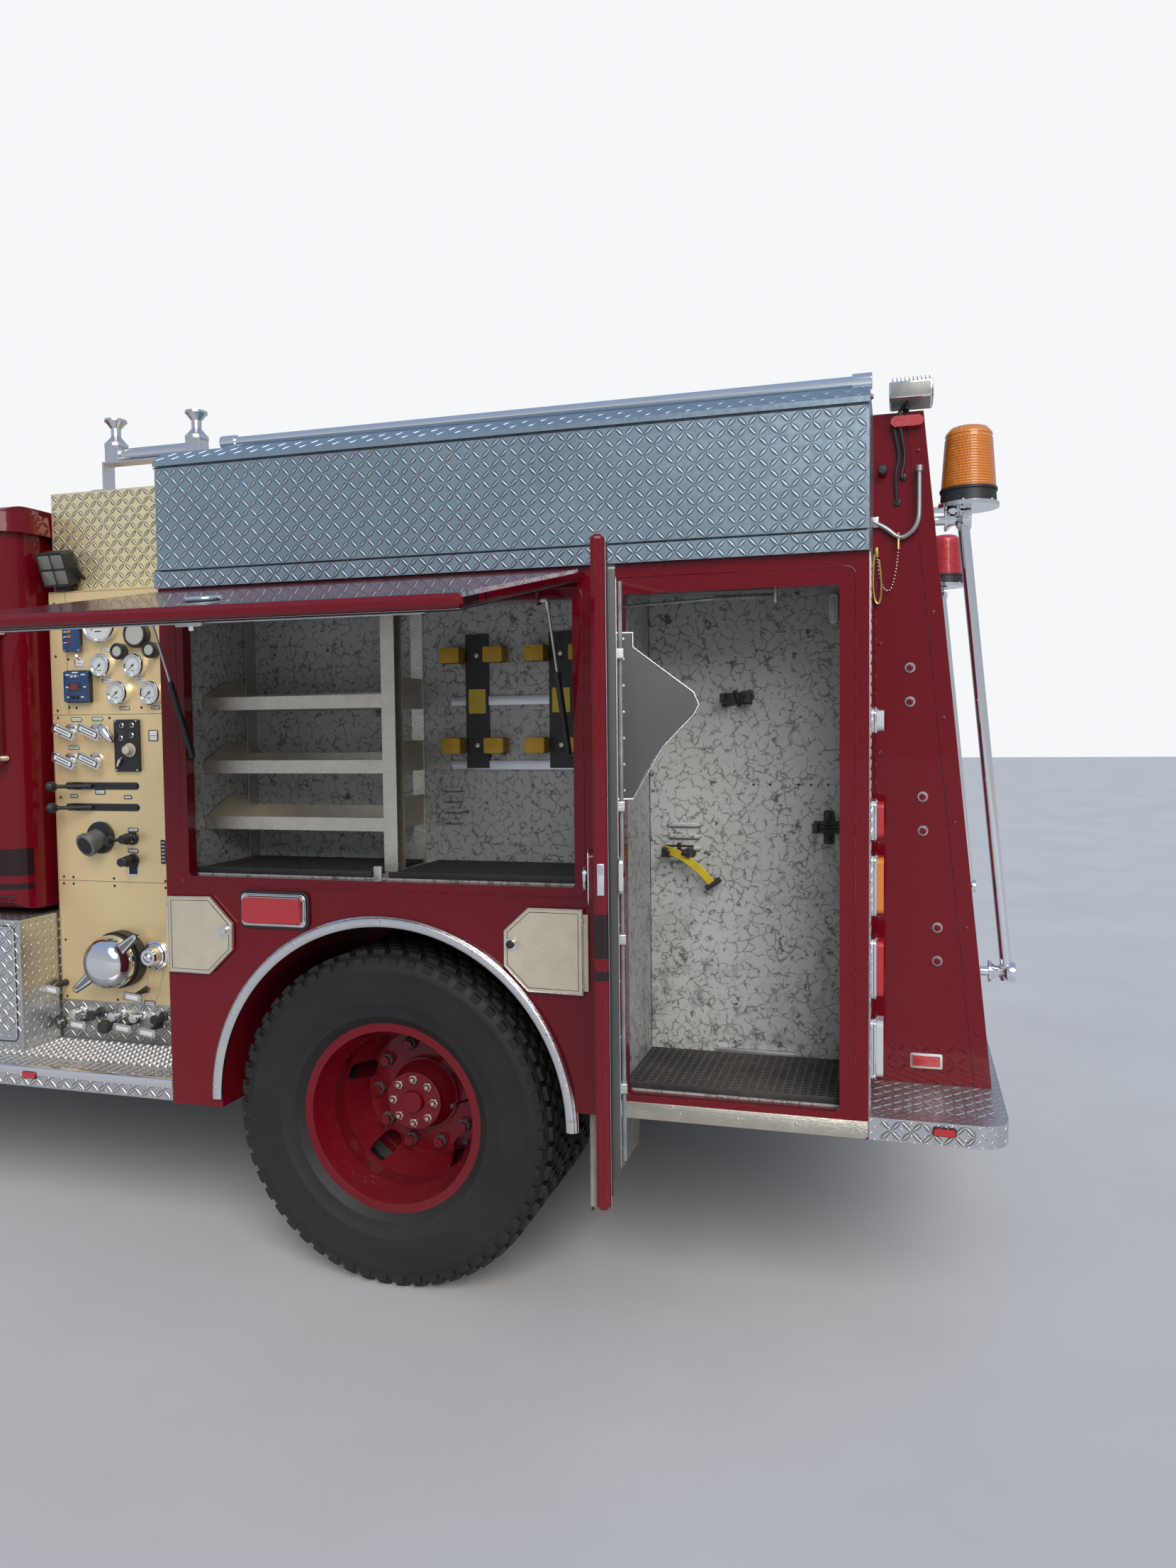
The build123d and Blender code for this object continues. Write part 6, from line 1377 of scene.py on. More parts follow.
    def flow_controller(self, made, face):
        """Blue flow controller with its display, knobs and small labels."""
        made.plate((-653, -547), (1833, 1943), 5, (25, 30), "blue_paint", face, 1.2)
        made.plate((-631, -577), (1872, 1902), 3, (29.5, 31.5), "black_gloss", face, 0.6)
        made.plate((-624, -592), (1878, 1896), 1, (31.4, 31.8), "display_red", face, 0)
        for x, z in ((-612, 1924), (-596, 1924), (-614, 1850), (-594, 1850)):
            made.lathe([(0, 29), (6.5, 29), (6.5, 36), (5, 38), (0, 38)],
                       "black_plastic" if z < 1900 else "chrome", moved(face, x, z), 20)
        for x0, x1, z in ((-644, -626, 1930), (-578, -558, 1930), (-644, -632, 1886), (-568, -556, 1886),
                          (-614, -590, 1938), (-640, -630, 1850), (-580, -566, 1850)):
            made.block((x0, x1), (z - 2, z + 2), (29.8, 30.3), "label_white", face, 0)

    def level_gauge(self, made, face):
        """Blue level gauge with its row of lamps."""
        made.plate((-657, -583), (2012, 2168), 4, (19, 24), "blue_paint", face, 1.2)
        for z, colour in ((2140, "amber_lens"), (2122, "amber_lens"), (2104, "amber_lens"),
                          (2085, "amber_lens"), (2067, "amber_lens"), (2046, "red_lens")):
            made.lathe([(0, 23.5), (6, 23.5), (6, 26), (4.5, 29), (0, 30.5)], colour,
                       moved(face, -626, z), 20)
            made.block((-652, -638), (z - 1.5, z + 1.5), (23.8, 24.3), "label_white", face, 0)
        for x in (-651, -589):
            for z in (2017, 2160):
                made.head((3.5, 3), (23, 26, 26.4), "chrome", moved(face, x, z), 12)

    def lever_plate(self, made, face):
        """Screws, studs, knob and lever of the black lever plate."""
        for x, z in ((-423, 1746), (-380, 1747), (-428, 1701), (-382, 1711)):
            spot = moved(face, x, z)
            made.lathe([(9, 13), (9.5, 16), (7, 17.5), (6, 15), (6, 13), (9, 13)], "chrome", spot, 24)
            made.head((6, 5), (13, 18, 19.6), "black_gloss", spot, 20)
        knob = moved(face, -391, 1658)
        made.lathe([(0, 13), (26, 13), (25, 17), (20, 18), (19, 24), (16.5, 27), (15.5, 38), (12, 41),
                    (0, 42)], "knob_beige", knob, 32)
        made.lathe([(26, 13), (29, 13), (29, 16), (26, 16), (26, 13)], "black_plastic", knob, 32)
        for x, z in ((-450, 1762), (-362, 1762), (-450, 1587), (-362, 1587)):
            made.head((4, 3.4), (13, 16, 16.4), "chrome", moved(face, x, z), 12)
        lever = moved(face, -433, 1616)
        made.tube([(8, 16, 14), (4, 6, 22), (-5, -16, 26)], [3.5, 7.5, 4], "chrome", lever, 16)

    def low_pulls(self, made, face):
        """Label pulls, handwheel, knob and flange low on the panel."""
        for x, z in PULL_LABELS:
            made.tube([(x, z + 16, 0.4), (x - 3, z + 12, 30), (x - 10, z + 4, 58)], [13, 8, 8],
                      "black_plastic", face, 14)
            tag = turned(moved(face, x - 12, z, 58), math.radians(-6))
            made.plate((-40, 36), (-15, 15), 4, (0, 7), "brushed", tag, 1.2)
            made.plate((-28, 24), (-8, 8), 2, (6.6, 7.6), "label_white", tag, 0.3)
        wheel = moved(face, -708, 665, 40)
        made.tube([(24 * math.cos(a), 24 * math.sin(a), 0) for a in [math.tau * i / 24 for i in range(24)]],
                  4.2, "black_plastic", wheel, 8, loop=True)
        for a in (0, math.tau / 3, math.tau * 2 / 3):
            made.tube([(0, 0, 0), (24 * math.cos(a), 24 * math.sin(a), 0)], 3.4, "black_plastic", wheel)
        made.tube([(-708, 665, 0.4), (-708, 665, 48)], 7, "brushed", face, 12)
        knob = moved(face, -500, 665)
        made.lathe([(0, 0.3), (9, 0.3), (8, 40), (22, 46), (25, 58), (22, 72), (0, 74)],
                   "black_plastic", knob, 28)
        made.lathe([(0, 0.3), (31, 0.3), (31, 5), (24, 9), (0, 9)], "brushed", moved(face, -355, 690), 28)


# Running boards, boxes under the cab, tailboard edge


class Boards(bpy.types.Operator):
    """Grip holes, bumps and nosing of the boards, doors and latches of the boxes"""

    bl_idname = "brush_truck.boards"
    bl_label = "Running boards"

    def execute(self, context):
        for side, word in SIDES:
            top = frame_of((0, 0, BOARD_TOP), (1, 0, 0), (0, side, 0), (0, 0, 1))
            self.grips(word, top)
            made = Shape(f"board_trim_{word}")
            made.prism([(1196, -0.2), (1220.2, -0.2), (1220.2, -24), (1222.4, -24), (1222.4, 1.2),
                        (1219, 3.4), (1196, 3.4)], (-2698, -2), "chrome",
                        frame_of((0, 0, BOARD_TOP), (0, side, 0), (0, 0, 1), (1, 0, 0)), 0.8)
            face = side_frame(side, out=BOX_OUT)
            made.rim(rounded((-1690, -760), (628, 1040), 22, 4), 0.2, 2.2, "black_plastic", face, 6)
            # Bright rim in the treadplate's lighter copy, a painted highlight
            made.rim(rounded((-1685, -765), (633, 1035), 20, 4), 0.6, 1.6, "treadplate_bar", face, 6)
            made.plate((-1262, -1178), (950, 1010), 10, (0.2, 3), "brushed", face, 0.8)
            made.plate((-1252, -1188), (958, 1002), 8, (2.6, 3.4), "black_plastic", face, 0)
            made.tube([(u, v, 6) for u, v in circle(24, 12, (-1220, 988), math.pi, math.tau)], 3.6,
                      "chrome", face, 8)
            made.tube([(-1246, 988, 6), (-1194, 988, 6)], 4, "chrome", face, 8)
            for x in (-1560, -900):
                made.plate((x - 34, x + 34), (622, 648), 4, (0.2, 4), "brushed", face, 1)
            made.done()
            self.markers(side, word)
        return {"FINISHED"}

    def grips(self, word, top):
        """Raised rings and bumps that a shoe grips."""
        # Rings and bumps in the treadplate's lighter copy, a painted highlight
        ring = Shape("grip_ring")
        ring.lathe([(9.5, -0.2), (8, 4.4), (5.4, 4.4), (4.2, -0.2)], "treadplate_bar", sides=8)
        holes = spread(top, steps(-2690, -12, 31), steps(894, 1104, 23))
        copies(f"board_grips_{word}", "chassis", ring, holes, "treadplate_bar")
        bump = Shape("grip_bump")
        bump.lathe([(8.5, -0.2), (5.5, 2.6), (0, 3.2)], "treadplate_bar", sides=8)
        bumps = spread(top, steps(-2690, -12, 31), steps(1112, 1190, 20))
        copies(f"board_bumps_{word}", "chassis", bump, bumps, "treadplate_bar")

    def markers(self, side, word):
        """Rims of the small lamps in the edges."""
        lamp = Shape(f"edge_markers_{word}")
        edge = side_frame(side, out=HALF_WIDTH)
        for x, z in ((-562, 575), (2362, 653)):
            lamp.rim(rounded((x - 28, x + 28), (z - 11, z + 11), 5, 3), 1.5, 1.8, "black_plastic", edge, 6)
        lamp.done()


# Body sides

# The wheel arch: x, z and radius
ARCH = (757, 558, 572)


class BodyTrim(bpy.types.Operator):
    """Bead of the arch, kick strips, door borders, catches and lamp frames on the body sides"""

    bl_idname = "brush_truck.body_trim"
    bl_label = "Body trim"

    def execute(self, context):
        for side, word in SIDES:
            skin = side_frame(side, out=HALF_WIDTH)
            self.arch_bead(side, word)
            self.mud_flap(side, word)
            self.side_trim(side, word, skin)
            for name, hinge, hand, outline in SMALL:
                self.small_door(side, word, name, hinge, hand, outline)
        return {"FINISHED"}

    def small_door(self, side, word, name, hinge, hand, outline):
        face = side_frame(side, out=SKIN_OUT)
        made = Shape(f"small_trim_{name}_{word}", f"small_door_{name}_{word}")
        middle = (sum(u for u, v in outline) / len(outline), sum(v for u, v in outline) / len(outline))

        def inset(by):
            return [(u + (middle[0] - u) * by, v + (middle[1] - v) * by) for u, v in outline]

        made.rim(inset(0.02), 0.1, 1.6, "polished", face, 6)
        made.rim(inset(0.10), 0.1, 1.1, "black_plastic", face, 6)
        tip = outline[2][0] if hand > 0 else outline[5][0]
        latch = moved(face, tip - hand * 24, 1100)
        made.lathe([(0, 0.2), (19, 0.2), (18, 2.4), (13, 3.2), (0, 3.2)], "chrome", latch, 28)
        made.lathe([(0, 14), (12.4, 14), (12, 17), (8, 19), (0, 19.4)],
                   "black_plastic" if hand < 0 else "chrome", latch, 24)
        for v in (985, 1175):
            spot = moved(face, hinge + hand * 10, v)
            made.head((4, 3.2), (0, 1.8, 2.2), "brushed", spot, 10)
        made.done()

    def arch_bead(self, side, word):
        """Bright bead of the wheel arch with its screws."""
        x, z, radius = ARCH
        bead = Shape(f"arch_bead_{word}")
        section = [(radius - 1, 0.2), (radius - 1, 9), (radius + 5, 14.6), (radius + 14, 16.6),
                   (radius + 22, 15.8), (radius + 31, 11), (radius + 36, 3), (radius + 36, 0.2),
                   (radius - 1, 0.2)]
        arch = frame_of((x, side * HALF_WIDTH, z), (1, 0, 0), (0, 0, 1), (0, side, 0))
        bead.lathe(section, "polished", arch, 72, 0, math.pi)
        for turn in (0.06, 0.5, 1.05, 1.57, 2.1, 2.65, 3.08):
            spot = moved(turned(arch, turn), radius + 17, 0, 15.8)
            bead.head((4.2, 3.4), (0, 1.8, 2.4), "brushed", spot, 10)
        bead.done()

    def mud_flap(self, side, word):
        """Flap behind the rear wheels."""
        flap = Shape(f"mud_flap_{word}")
        ys = sorted((side * 616, side * 1184))
        flap.prism([(ys[0], 330), (ys[0] + 18, 311), (ys[1] - 18, 311), (ys[1], 330), (ys[1], 612),
                    (ys[0], 612)], (1386.5, 1397.5), "flap_brown", rear_frame(0), 1.5)
        flap.done()

    def side_trim(self, side, word, skin):
        """Kick strip, door borders, catches, lamp frames and seams of a side."""
        made = Shape(f"side_trim_{word}")
        strip = [(1478, 615), (2160, 615), (2168, 622), (2168, 663), (1490, 663), (1478, 652)]
        made.prism(strip, (0.2, 1.8), "stainless", skin, 0.5)
        for u in (1500, 1660, 1820, 1980, 2140):
            made.head((4, 3), (1.6, 3, 3.4), "brushed", moved(skin, u, 639), 10)
        # Raised line pressed round each opening
        for us, vs in (((56, 1390), (1236, 2112)), ((1481, 2135), (652, 2132))):
            made.rim(rounded(us, vs, 26, 5), -0.6, 2.4, "red_paint", skin, 8)
        # Striker and drain slots on the sills
        made.block((698, 752), tuple(sorted((side * 1182, side * 1218))), (1264.2, 1266.2),
                   "brushed", PLAIN, 0.6)
        made.plate((712, 738), (1265, 1306), 3, (-44, -34), "brushed", skin, 1)
        # Frames round the side marker lamps
        made.rim(rounded((277, 509), (1114, 1222), 20, 5), 6, 5, "black_plastic", skin, 8)
        made.rim(rounded((287, 499), (1124, 1212), 16, 5), 15, 4.6, "chrome", skin, 10)
        # Seams of the hose-bed sides
        bed = side_frame(side, out=BED_OUT)
        for v in (2224.5, 2541.5):
            made.block((0.4, 2168.6), (v - 1.6, v + 1.6), (-1, 0.8), "black_plastic", bed, 0)
        made.done()


# Small doors: name, x of the hinge, way to the free edge, outline
SMALL = (
    ("front", 4, 1, ((14, 1200), (166, 1203), (247, 1120), (245, 1037), (161, 958), (14, 959))),
    ("rear", 1397, -1, ((1225, 1205), (1387, 1205), (1387, 960), (1221, 962), (1149, 1034), (1150, 1137))),
)


# Inside the compartments

# Clips: x, z and turn in degrees
CLIPS = ((1764, 1804, 15), (1580, 1329, 0), (2040, 1410, 90))


class Compartments(bpy.types.Operator):
    """Floor mats, louvres, clips, pads and lights inside the compartments"""

    bl_idname = "brush_truck.compartments"
    bl_label = "Compartments"

    def execute(self, context):
        for side, word in SIDES:
            wall = side_frame(side, out=WALL_OUT)
            floor = frame_of((0, 0, 0), (1, 0, 0), (0, side, 0), (0, 0, 1))
            mats = Shape(f"floor_mats_{word}")
            for x0, x1, z in ((64, 700, 1270), (758, 1382, 1270), (1488, 2113, 687)):
                for u in steps(x0, x1, 24):
                    mats.block((u - 3.4, u + 3.4), (802, 1174), (z + 0.3, z + 12), "rubber_mat", floor, 0)
                for v in steps(802, 1174, 24):
                    mats.block((x0, x1), (v - 3.4, v + 3.4), (z + 3, z + 13), "rubber_mat", floor, 0)
                mats.block((x0 - 1, x1 + 1), (1171, 1177), (z + 0.3, z + 19), "rubber_mat", floor, 1.2)
            mats.done()
            self.walls(side, word, wall)
            self.brackets(word, wall)
        return {"FINISHED"}

    def walls(self, side, word, wall):
        made = Shape(f"wall_details_{word}")
        rows = [(1594, z, 56) for z in (1412, 1375, 1338, 1303)]
        rows += [(812, z, 40) for z in (1520, 1484, 1448, 1412)]
        for u, v, half in rows:
            path = [(u - half, v, 0), (u - half + 5, v, 1), (u - half + 14, v, 2), (u + half - 14, v, 2),
                    (u + half - 5, v, 1), (u + half, v, 0)]
            made.tube(path, [1, 6, 9, 9, 6, 1], "pale_speckle", wall, 10)
            # A brown strip just under each louvre: painted shade under it
            made.block((u - half + 8, u + half - 8), (v - 11, v - 8.5), (0, 1), "dust_brown", wall, 0)
        for u in (1812, 1863, 1950, 1986, 2037):
            made.head((4, 3), (0, 2, 2.6), "black_steel", moved(wall, u, 1538), 10)
        # Seams of the lining and its rivets
        for u in (1484, 2116):
            made.block((u - 1, u + 1), (690, 2120), (0, 1.5), "seam_dark", wall, 0)
        rivets = [(u, v) for u in (1500, 2100) for v in range(760, 2100, 190)]
        rivets += [(u, v) for u in (78, 690, 766, 1368) for v in range(1330, 2090, 150)]
        for u, v in rivets:
            made.head((4.2, 3.2), (0, 1.6, 2.2), "brushed", moved(wall, u, v), 8)
        made.block((1693, 1940), (693, 712), (0, 16), "aluminium", wall, 1)
        made.plate((2042, 2066), (2020, 2108), 6, (0, 26), "label_white", wall, 2)
        made.plate((2046, 2062), (2028, 2100), 4, (25.5, 27), "clear_lens", wall, 0.6)
        self.check_arm(made, side)
        # Hook by the divider
        made.tube(smooth_path([(770, 1560, 2), (770, 1545, 16), (772, 1528, 22), (778, 1516, 16),
                               (786, 1522, 10)]), 2.6, "galvanised", wall, 8)
        made.done()

    def brackets(self, word, wall):
        made = Shape(f"bracket_details_{word}")
        for x in (905, 1195):
            for z in (1665, 1960):
                for hand in (-1, 1):
                    u = sorted((x + hand * 42, x + hand * 108))
                    made.plate(u, (z - 25, z + 25), 6, (7, 63), "yellow_pad", wall, 3)
                    # Dark bands round each pad: painted shade in its grooves
                    for groove in (20, 34, 48):
                        made.block((u[0] - 0.6, u[1] + 0.6), (z - 25.6, z + 25.6), (groove, groove + 2.4),
                                   "seam_dark", wall, 0)
                made.prism(circle(9, 6, (x, z)), (8, 14), "brushed", wall, 1)
            made.plate((x - 30, x + 30), (1770, 1850), 4, (8.1, 9), "label_yellow", wall, 0)
            for z in range(1620, 2020, 60):
                made.head((7, 7), (8, 8.6, 8.6), "seam_dark", moved(wall, x, z + 30), 14)
        for z in (1812, 1600):
            made.plate((812, 1286), (z - 15, z + 15), 3, (0.4, 7.5), "aluminium", wall, 1)
        for x, z, turn in CLIPS:
            spot = turned(moved(wall, x, z), math.radians(turn))
            made.plate((-52, 52), (-16, 16), 6, (0.3, 9), "black_plastic", spot, 2)
            for hand in (-1, 1):
                made.tube([(hand * 38, 0, 8), (hand * 40, 0, 40), (hand * 30, 0, 66), (hand * 22, 0, 74)],
                          [9, 8, 9, 6], "black_plastic", spot, 10)
            made.tube([(0, -26, 12), (0, 26, 12)], 6, "black_plastic", spot, 10)
        strap = smooth_path([(1537, 1335, 30), (1590, 1322, 60), (1640, 1286, 52), (1689, 1230, 30)])
        for offset in (-9, -3, 3, 9):
            made.tube([(p.x + offset * 0.4, p.y + offset, p.z) for p in strap], 3.4, "strap_yellow", wall, 6)
        made.tube([(1668, 1216, 30), (1712, 1246, 28)], 9, "black_plastic", wall, 12)
        made.done()

    def check_arm(self, made, side):
        """Check arm of the tall door with its spring."""
        front = side_frame(side, out=1148)
        made.tube([(1500, 2060, 0), (1750, 2070, 0)], 4.5, "galvanised", front, 10)
        turns = 26
        coil = [(1750 + 166 * i / (turns * 8), 2071 + 8 * math.sin(i * math.pi / 4),
                 8 * math.cos(i * math.pi / 4)) for i in range(turns * 8)]
        made.tube(coil, 1.9, "galvanised", front, 6)
        made.block((1916, 1924), (2052, 2120), (-14, 14), "galvanised", front, 1)
        made.block((1496, 1502), (2050, 2120), (-12, 12), "galvanised", front, 1)


# Doors


class DoorTrim(bpy.types.Operator):
    """Seals, inner pans, latches and hinges of the compartment doors"""

    bl_idname = "brush_truck.doors"
    bl_label = "Door trim"

    def execute(self, context):
        for side, word in SIDES:
            self.lift(side, word)
            self.tall(side, word)
        return {"FINISHED"}

    def tall(self, side, word):
        door = tall_frame(side)
        made = Shape(f"rear_door_trim_{word}", f"rear_door_{word}")
        made.plate((62, 618), (716, 2050), 10, (-24.4, -22.4), "pan", door, 0.8)
        made.plate((20, 672), (650, 2128), 6, (-1.4, -0.4), "pan", door, 0)
        made.rim(rounded((30, 664), (673, 2118), 14, 4), -3.2, 2.5, "seal", door, 8)
        for v in range(760, 2040, 128):
            for u in (74, 606):
                made.head((4, 3), (-24, -25.6, -26), "brushed", moved(door, u, v), 8)
        made.plate((560, 640), (1345, 1425), 10, (-34, -24), "brushed", door, 2)
        made.tube([(600, 1390, -32), (600, 1700, -32), (600, 2040, -32)], 5, "galvanised", door, 8)
        made.tube([(600, 1380, -32), (600, 1040, -32), (600, 730, -32)], 5, "galvanised", door, 8)
        for v in (900, 1240, 1540, 1880):
            made.plate((586, 614), (v - 12, v + 12), 3, (-39, -24), "brushed", door, 1)
        # Latch bolt and stripe on the free edge
        made.block((671, 682.2), (1350, 1420), (8, 24), "chrome", door, 1.5)
        made.plate((545, 660), (1324, 1446), 14, (42.6, 45), "chrome", door, 1)
        made.plate((556, 648), (1334, 1436), 10, (44.6, 45.6), "black_plastic", door, 0)
        handle(made, door, (602, 1395, 52), 32, 40, 36)
        if side < 0:
            across = Matrix.Translation((330, 0, 0))
            for v in (1560, 1625, 1690, 1755, 1820, 1885, 1935):
                made.head((4.5, 3.4), (0, 2.2, 2.8), "brushed", door @ across @ rear_frame(3, v, -42), 10)
            rim = [(3.5, 1539, -22), (3.5, 1539, -64), (3.5, 1544, -66), (3.5, 1668, -138), (3.5, 1747, -215),
                   (3.5, 1772, -228), (3.5, 1802, -215), (3.5, 1915, -66), (3.5, 1950, -66), (3.5, 1950, -22)]
            made.tube(rim, 2.2, "polished", door @ across, 6)
            made.prism([(0, 1539), (26, 1539), (26, 1950), (0, 1950)], (-25, -23), "pan",
                       moved(door, 304, 0), 0.5)
        for v in (760, 1060, 1390, 1720, 2010):
            made.tube([(0, v - 40, 0), (0, v + 40, 0)], 8.2, "stainless", door, 14)
        made.done()

    def lift(self, side, word):
        """Seal, inner pan, latch and hinge of a lift door."""
        door = lift_frame(side)
        made = Shape(f"lift_trim_{word}", f"lift_door_{word}")
        made.plate((57, 1393), (-893, -21), 8, (-1.2, -0.4), "pan", door, 0)
        made.plate((160, 1290), (-840, -80), 14, (-12, -1), "pan", door, 2)
        made.rim(rounded((66, 1384), (-886, -28), 14, 4), -3.2, 2.5, "seal", door, 8)
        for u in (240, 725, 1210):
            made.plate((u - 60, u + 60), (-800, -120), 20, (-13.4, -11.6), "pan", door, 1)
        made.plate((690, 760), (-860, -828), 6, (-16, -1), "brushed", door, 2)
        made.tube([(725, -846, -15), (725, -846, -26)], 7, "chrome", door, 12)
        rivets = [(u, -46) for u in range(110, 1380, 92)] + [(u, -868) for u in range(110, 1380,
                                                                                      92)
                                                                                      if abs(u - 725) > 50]
        for u, v in rivets:
            made.head((4, 3), (-1, -2.6, -3), "brushed", moved(door, u, v), 8)
        # Latch handle in its dish, and the hinge's leaf and knuckles
        made.prism(circle(62, 32, (725, -790)), (31.4, 34), "chrome", door, 1)
        made.prism(circle(52, 32, (725, -790)), (33.8, 34.6), "black_plastic", door, 0)
        handle(made, door, (725, -786, 41), 40, 34, 45)
        leaf = rounded((72, 1378), (-38, -2), 3)
        made.prism(leaf, (4.9, 6.6) if side < 0 else (31.5, 33.2), "stainless", door, 0.4)
        made.done()


# Buttresses: places as x and z

RIVETS = ((2190, 1950), (2191, 1637), (2285, 2491), (2327, 2035), (2357, 1735), (2388, 1436),
          (2422, 1134), (2453, 830))
BOLTS = ((2273, 1880), (2273, 1783), (2309, 1510), (2310, 1412), (2351, 1133), (2351, 1036))


class Buttresses(bpy.types.Operator):
    """Bolts, bar, chain, cables and brackets on the rear buttresses"""

    bl_idname = "brush_truck.buttresses"
    bl_label = "Buttresses"

    def execute(self, context):
        for side, word in SIDES:
            made = Shape(f"buttress_details_{word}")
            face = side_frame(side, out=BUTTRESS_OUT)
            self.bolts(made, face)
            # Reflector in its frame
            made.plate((2277, 2367), (720, 764), 4, (0.2, 3), "brushed", face, 0.8)
            made.plate((2284, 2360), (727, 757), 3, (2.8, 6), "red_lens", face, 0.8)
            self.bar(made, face, word)
            self.cables(made, face)
            # Pressed tread near the foot
            frames = spread(face, steps(2176, 2440, 34), steps(706, 794, 30), 0.0, flip=True,
                            roll=math.pi / 4)
            copies(f"buttress_tread_{word}", "chassis", tread_bar(), frames, "red_paint")
            self.rail_brackets(made, side)
            made.done()
        return {"FINISHED"}

    def bolts(self, made, face):
        """Rivets, bolts and a knob."""
        for u, v in RIVETS[2:]:
            made.lathe([(0, 2.8), (6, 2.8), (5, 5), (2.5, 6), (0, 6.3)], "red_chipped",
                       moved(face, u + 8, v), 14)
        for u, v in RIVETS[:2]:
            made.head((6, 5), (0.2, 3, 3.8), "red_chipped", moved(face, u, v), 14)
        for u, v in BOLTS:
            spot = turned(moved(face, u, v), u * 0.7)
            made.head((15, 14.6), (0.2, 2.2, 2.2), "galvanised", spot, 24)
            made.prism(circle(10.5, 6), (2, 10), "red_chipped", spot, 1.2)
        knob = moved(face, 2196, 2440)
        made.lathe([(0, 0.2), (7, 0.2), (6, 16), (14, 19), (15, 26), (11, 31), (0, 32)],
                   "black_plastic", knob, 20)

    def bar(self, made, face, word):
        """Bar and its upright rod, pin, chain and snap hook."""
        bar = smooth_path([(2172, 2298, 6), (2205, 2277, 12), (2243, 2249, 14), (2275, 2262, 22),
                           (2292, 2290, 26), (2296, 2330, 26), (2296, 2433, 26)], 5)
        made.tube(bar, 7, "galvanised", face, 12)
        made.block((2168, 2186), (2280, 2312), (0.2, 12), "galvanised", face, 1.5)
        made.head((11, 11), (-8, 8, 8), "galvanised",
                  face @ axis_frame((2296, 2436, 26), (0, 1, 0), (1, 0, 0)), 18)
        made.tube([(2240, 2262, 10), (2240, 2214, 26)], 4, "brass", face, 10)
        chain = smooth_path([(2240, 2214, 26), (2234, 2160, 22), (2222, 2110, 14), (2206, 2102, 10),
                             (2190, 2130, 8), (2182, 2190, 8), (2180, 2222, 10)], 12)
        bead_chain(f"pin_chain_{word}", chain, face)
        hook = smooth_path([(2180, 2222, 8), (2174, 2200, 9), (2170, 2150, 9), (2172, 2090, 9),
                            (2180, 2066, 9), (2190, 2076, 9), (2192, 2130, 9), (2186, 2190, 9)], 5)
        made.tube(hook, 4, "brass", face, 8)
        made.lathe([(0, -14), (6, -14), (7.5, 0), (6, 14), (0, 14)], "brass",
                   face @ axis_frame((2180, 2210, 9), (0, 1, 0), (1, 0, 0)), 14)

    def cables(self, made, face):
        """Cables of the flood lamp."""
        for offset, low in ((0, 2350), (16, 2420)):
            cable = smooth_path([(2262, 2626, -18 - offset), (2246, 2606, 12),
                                 (2228 + offset, 2560, 12 + offset * 0.3), (2240 + offset, 2480, 9),
                                 (2232 + offset, 2420, 9), (2236 + offset, low, 7)], 6)
            made.tube(cable, 5, "black_plastic", face, 8)
            made.lathe([(5, 0.2), (11, 0.2), (10, 6), (5, 7)], "black_plastic",
                       moved(face, 2236 + offset, low), 14)

    def rail_brackets(self, made, side):
        """Waisted brackets of the rear rail."""
        for x, z in ((2415, 2295), (2541, 1009)):
            rail = frame_of((x, side * 873, z), (0, side, 0), (0, 0, 1), (-1, 0, 0))
            made.lathe([(27, -22), (30, -14), (27, 2), (19, 10), (16, 22), (20, 34), (31, 44), (31, 50),
                        (13.4, 50), (13.4, -22), (27, -22)], "chrome", rail, 28)


# Lamps


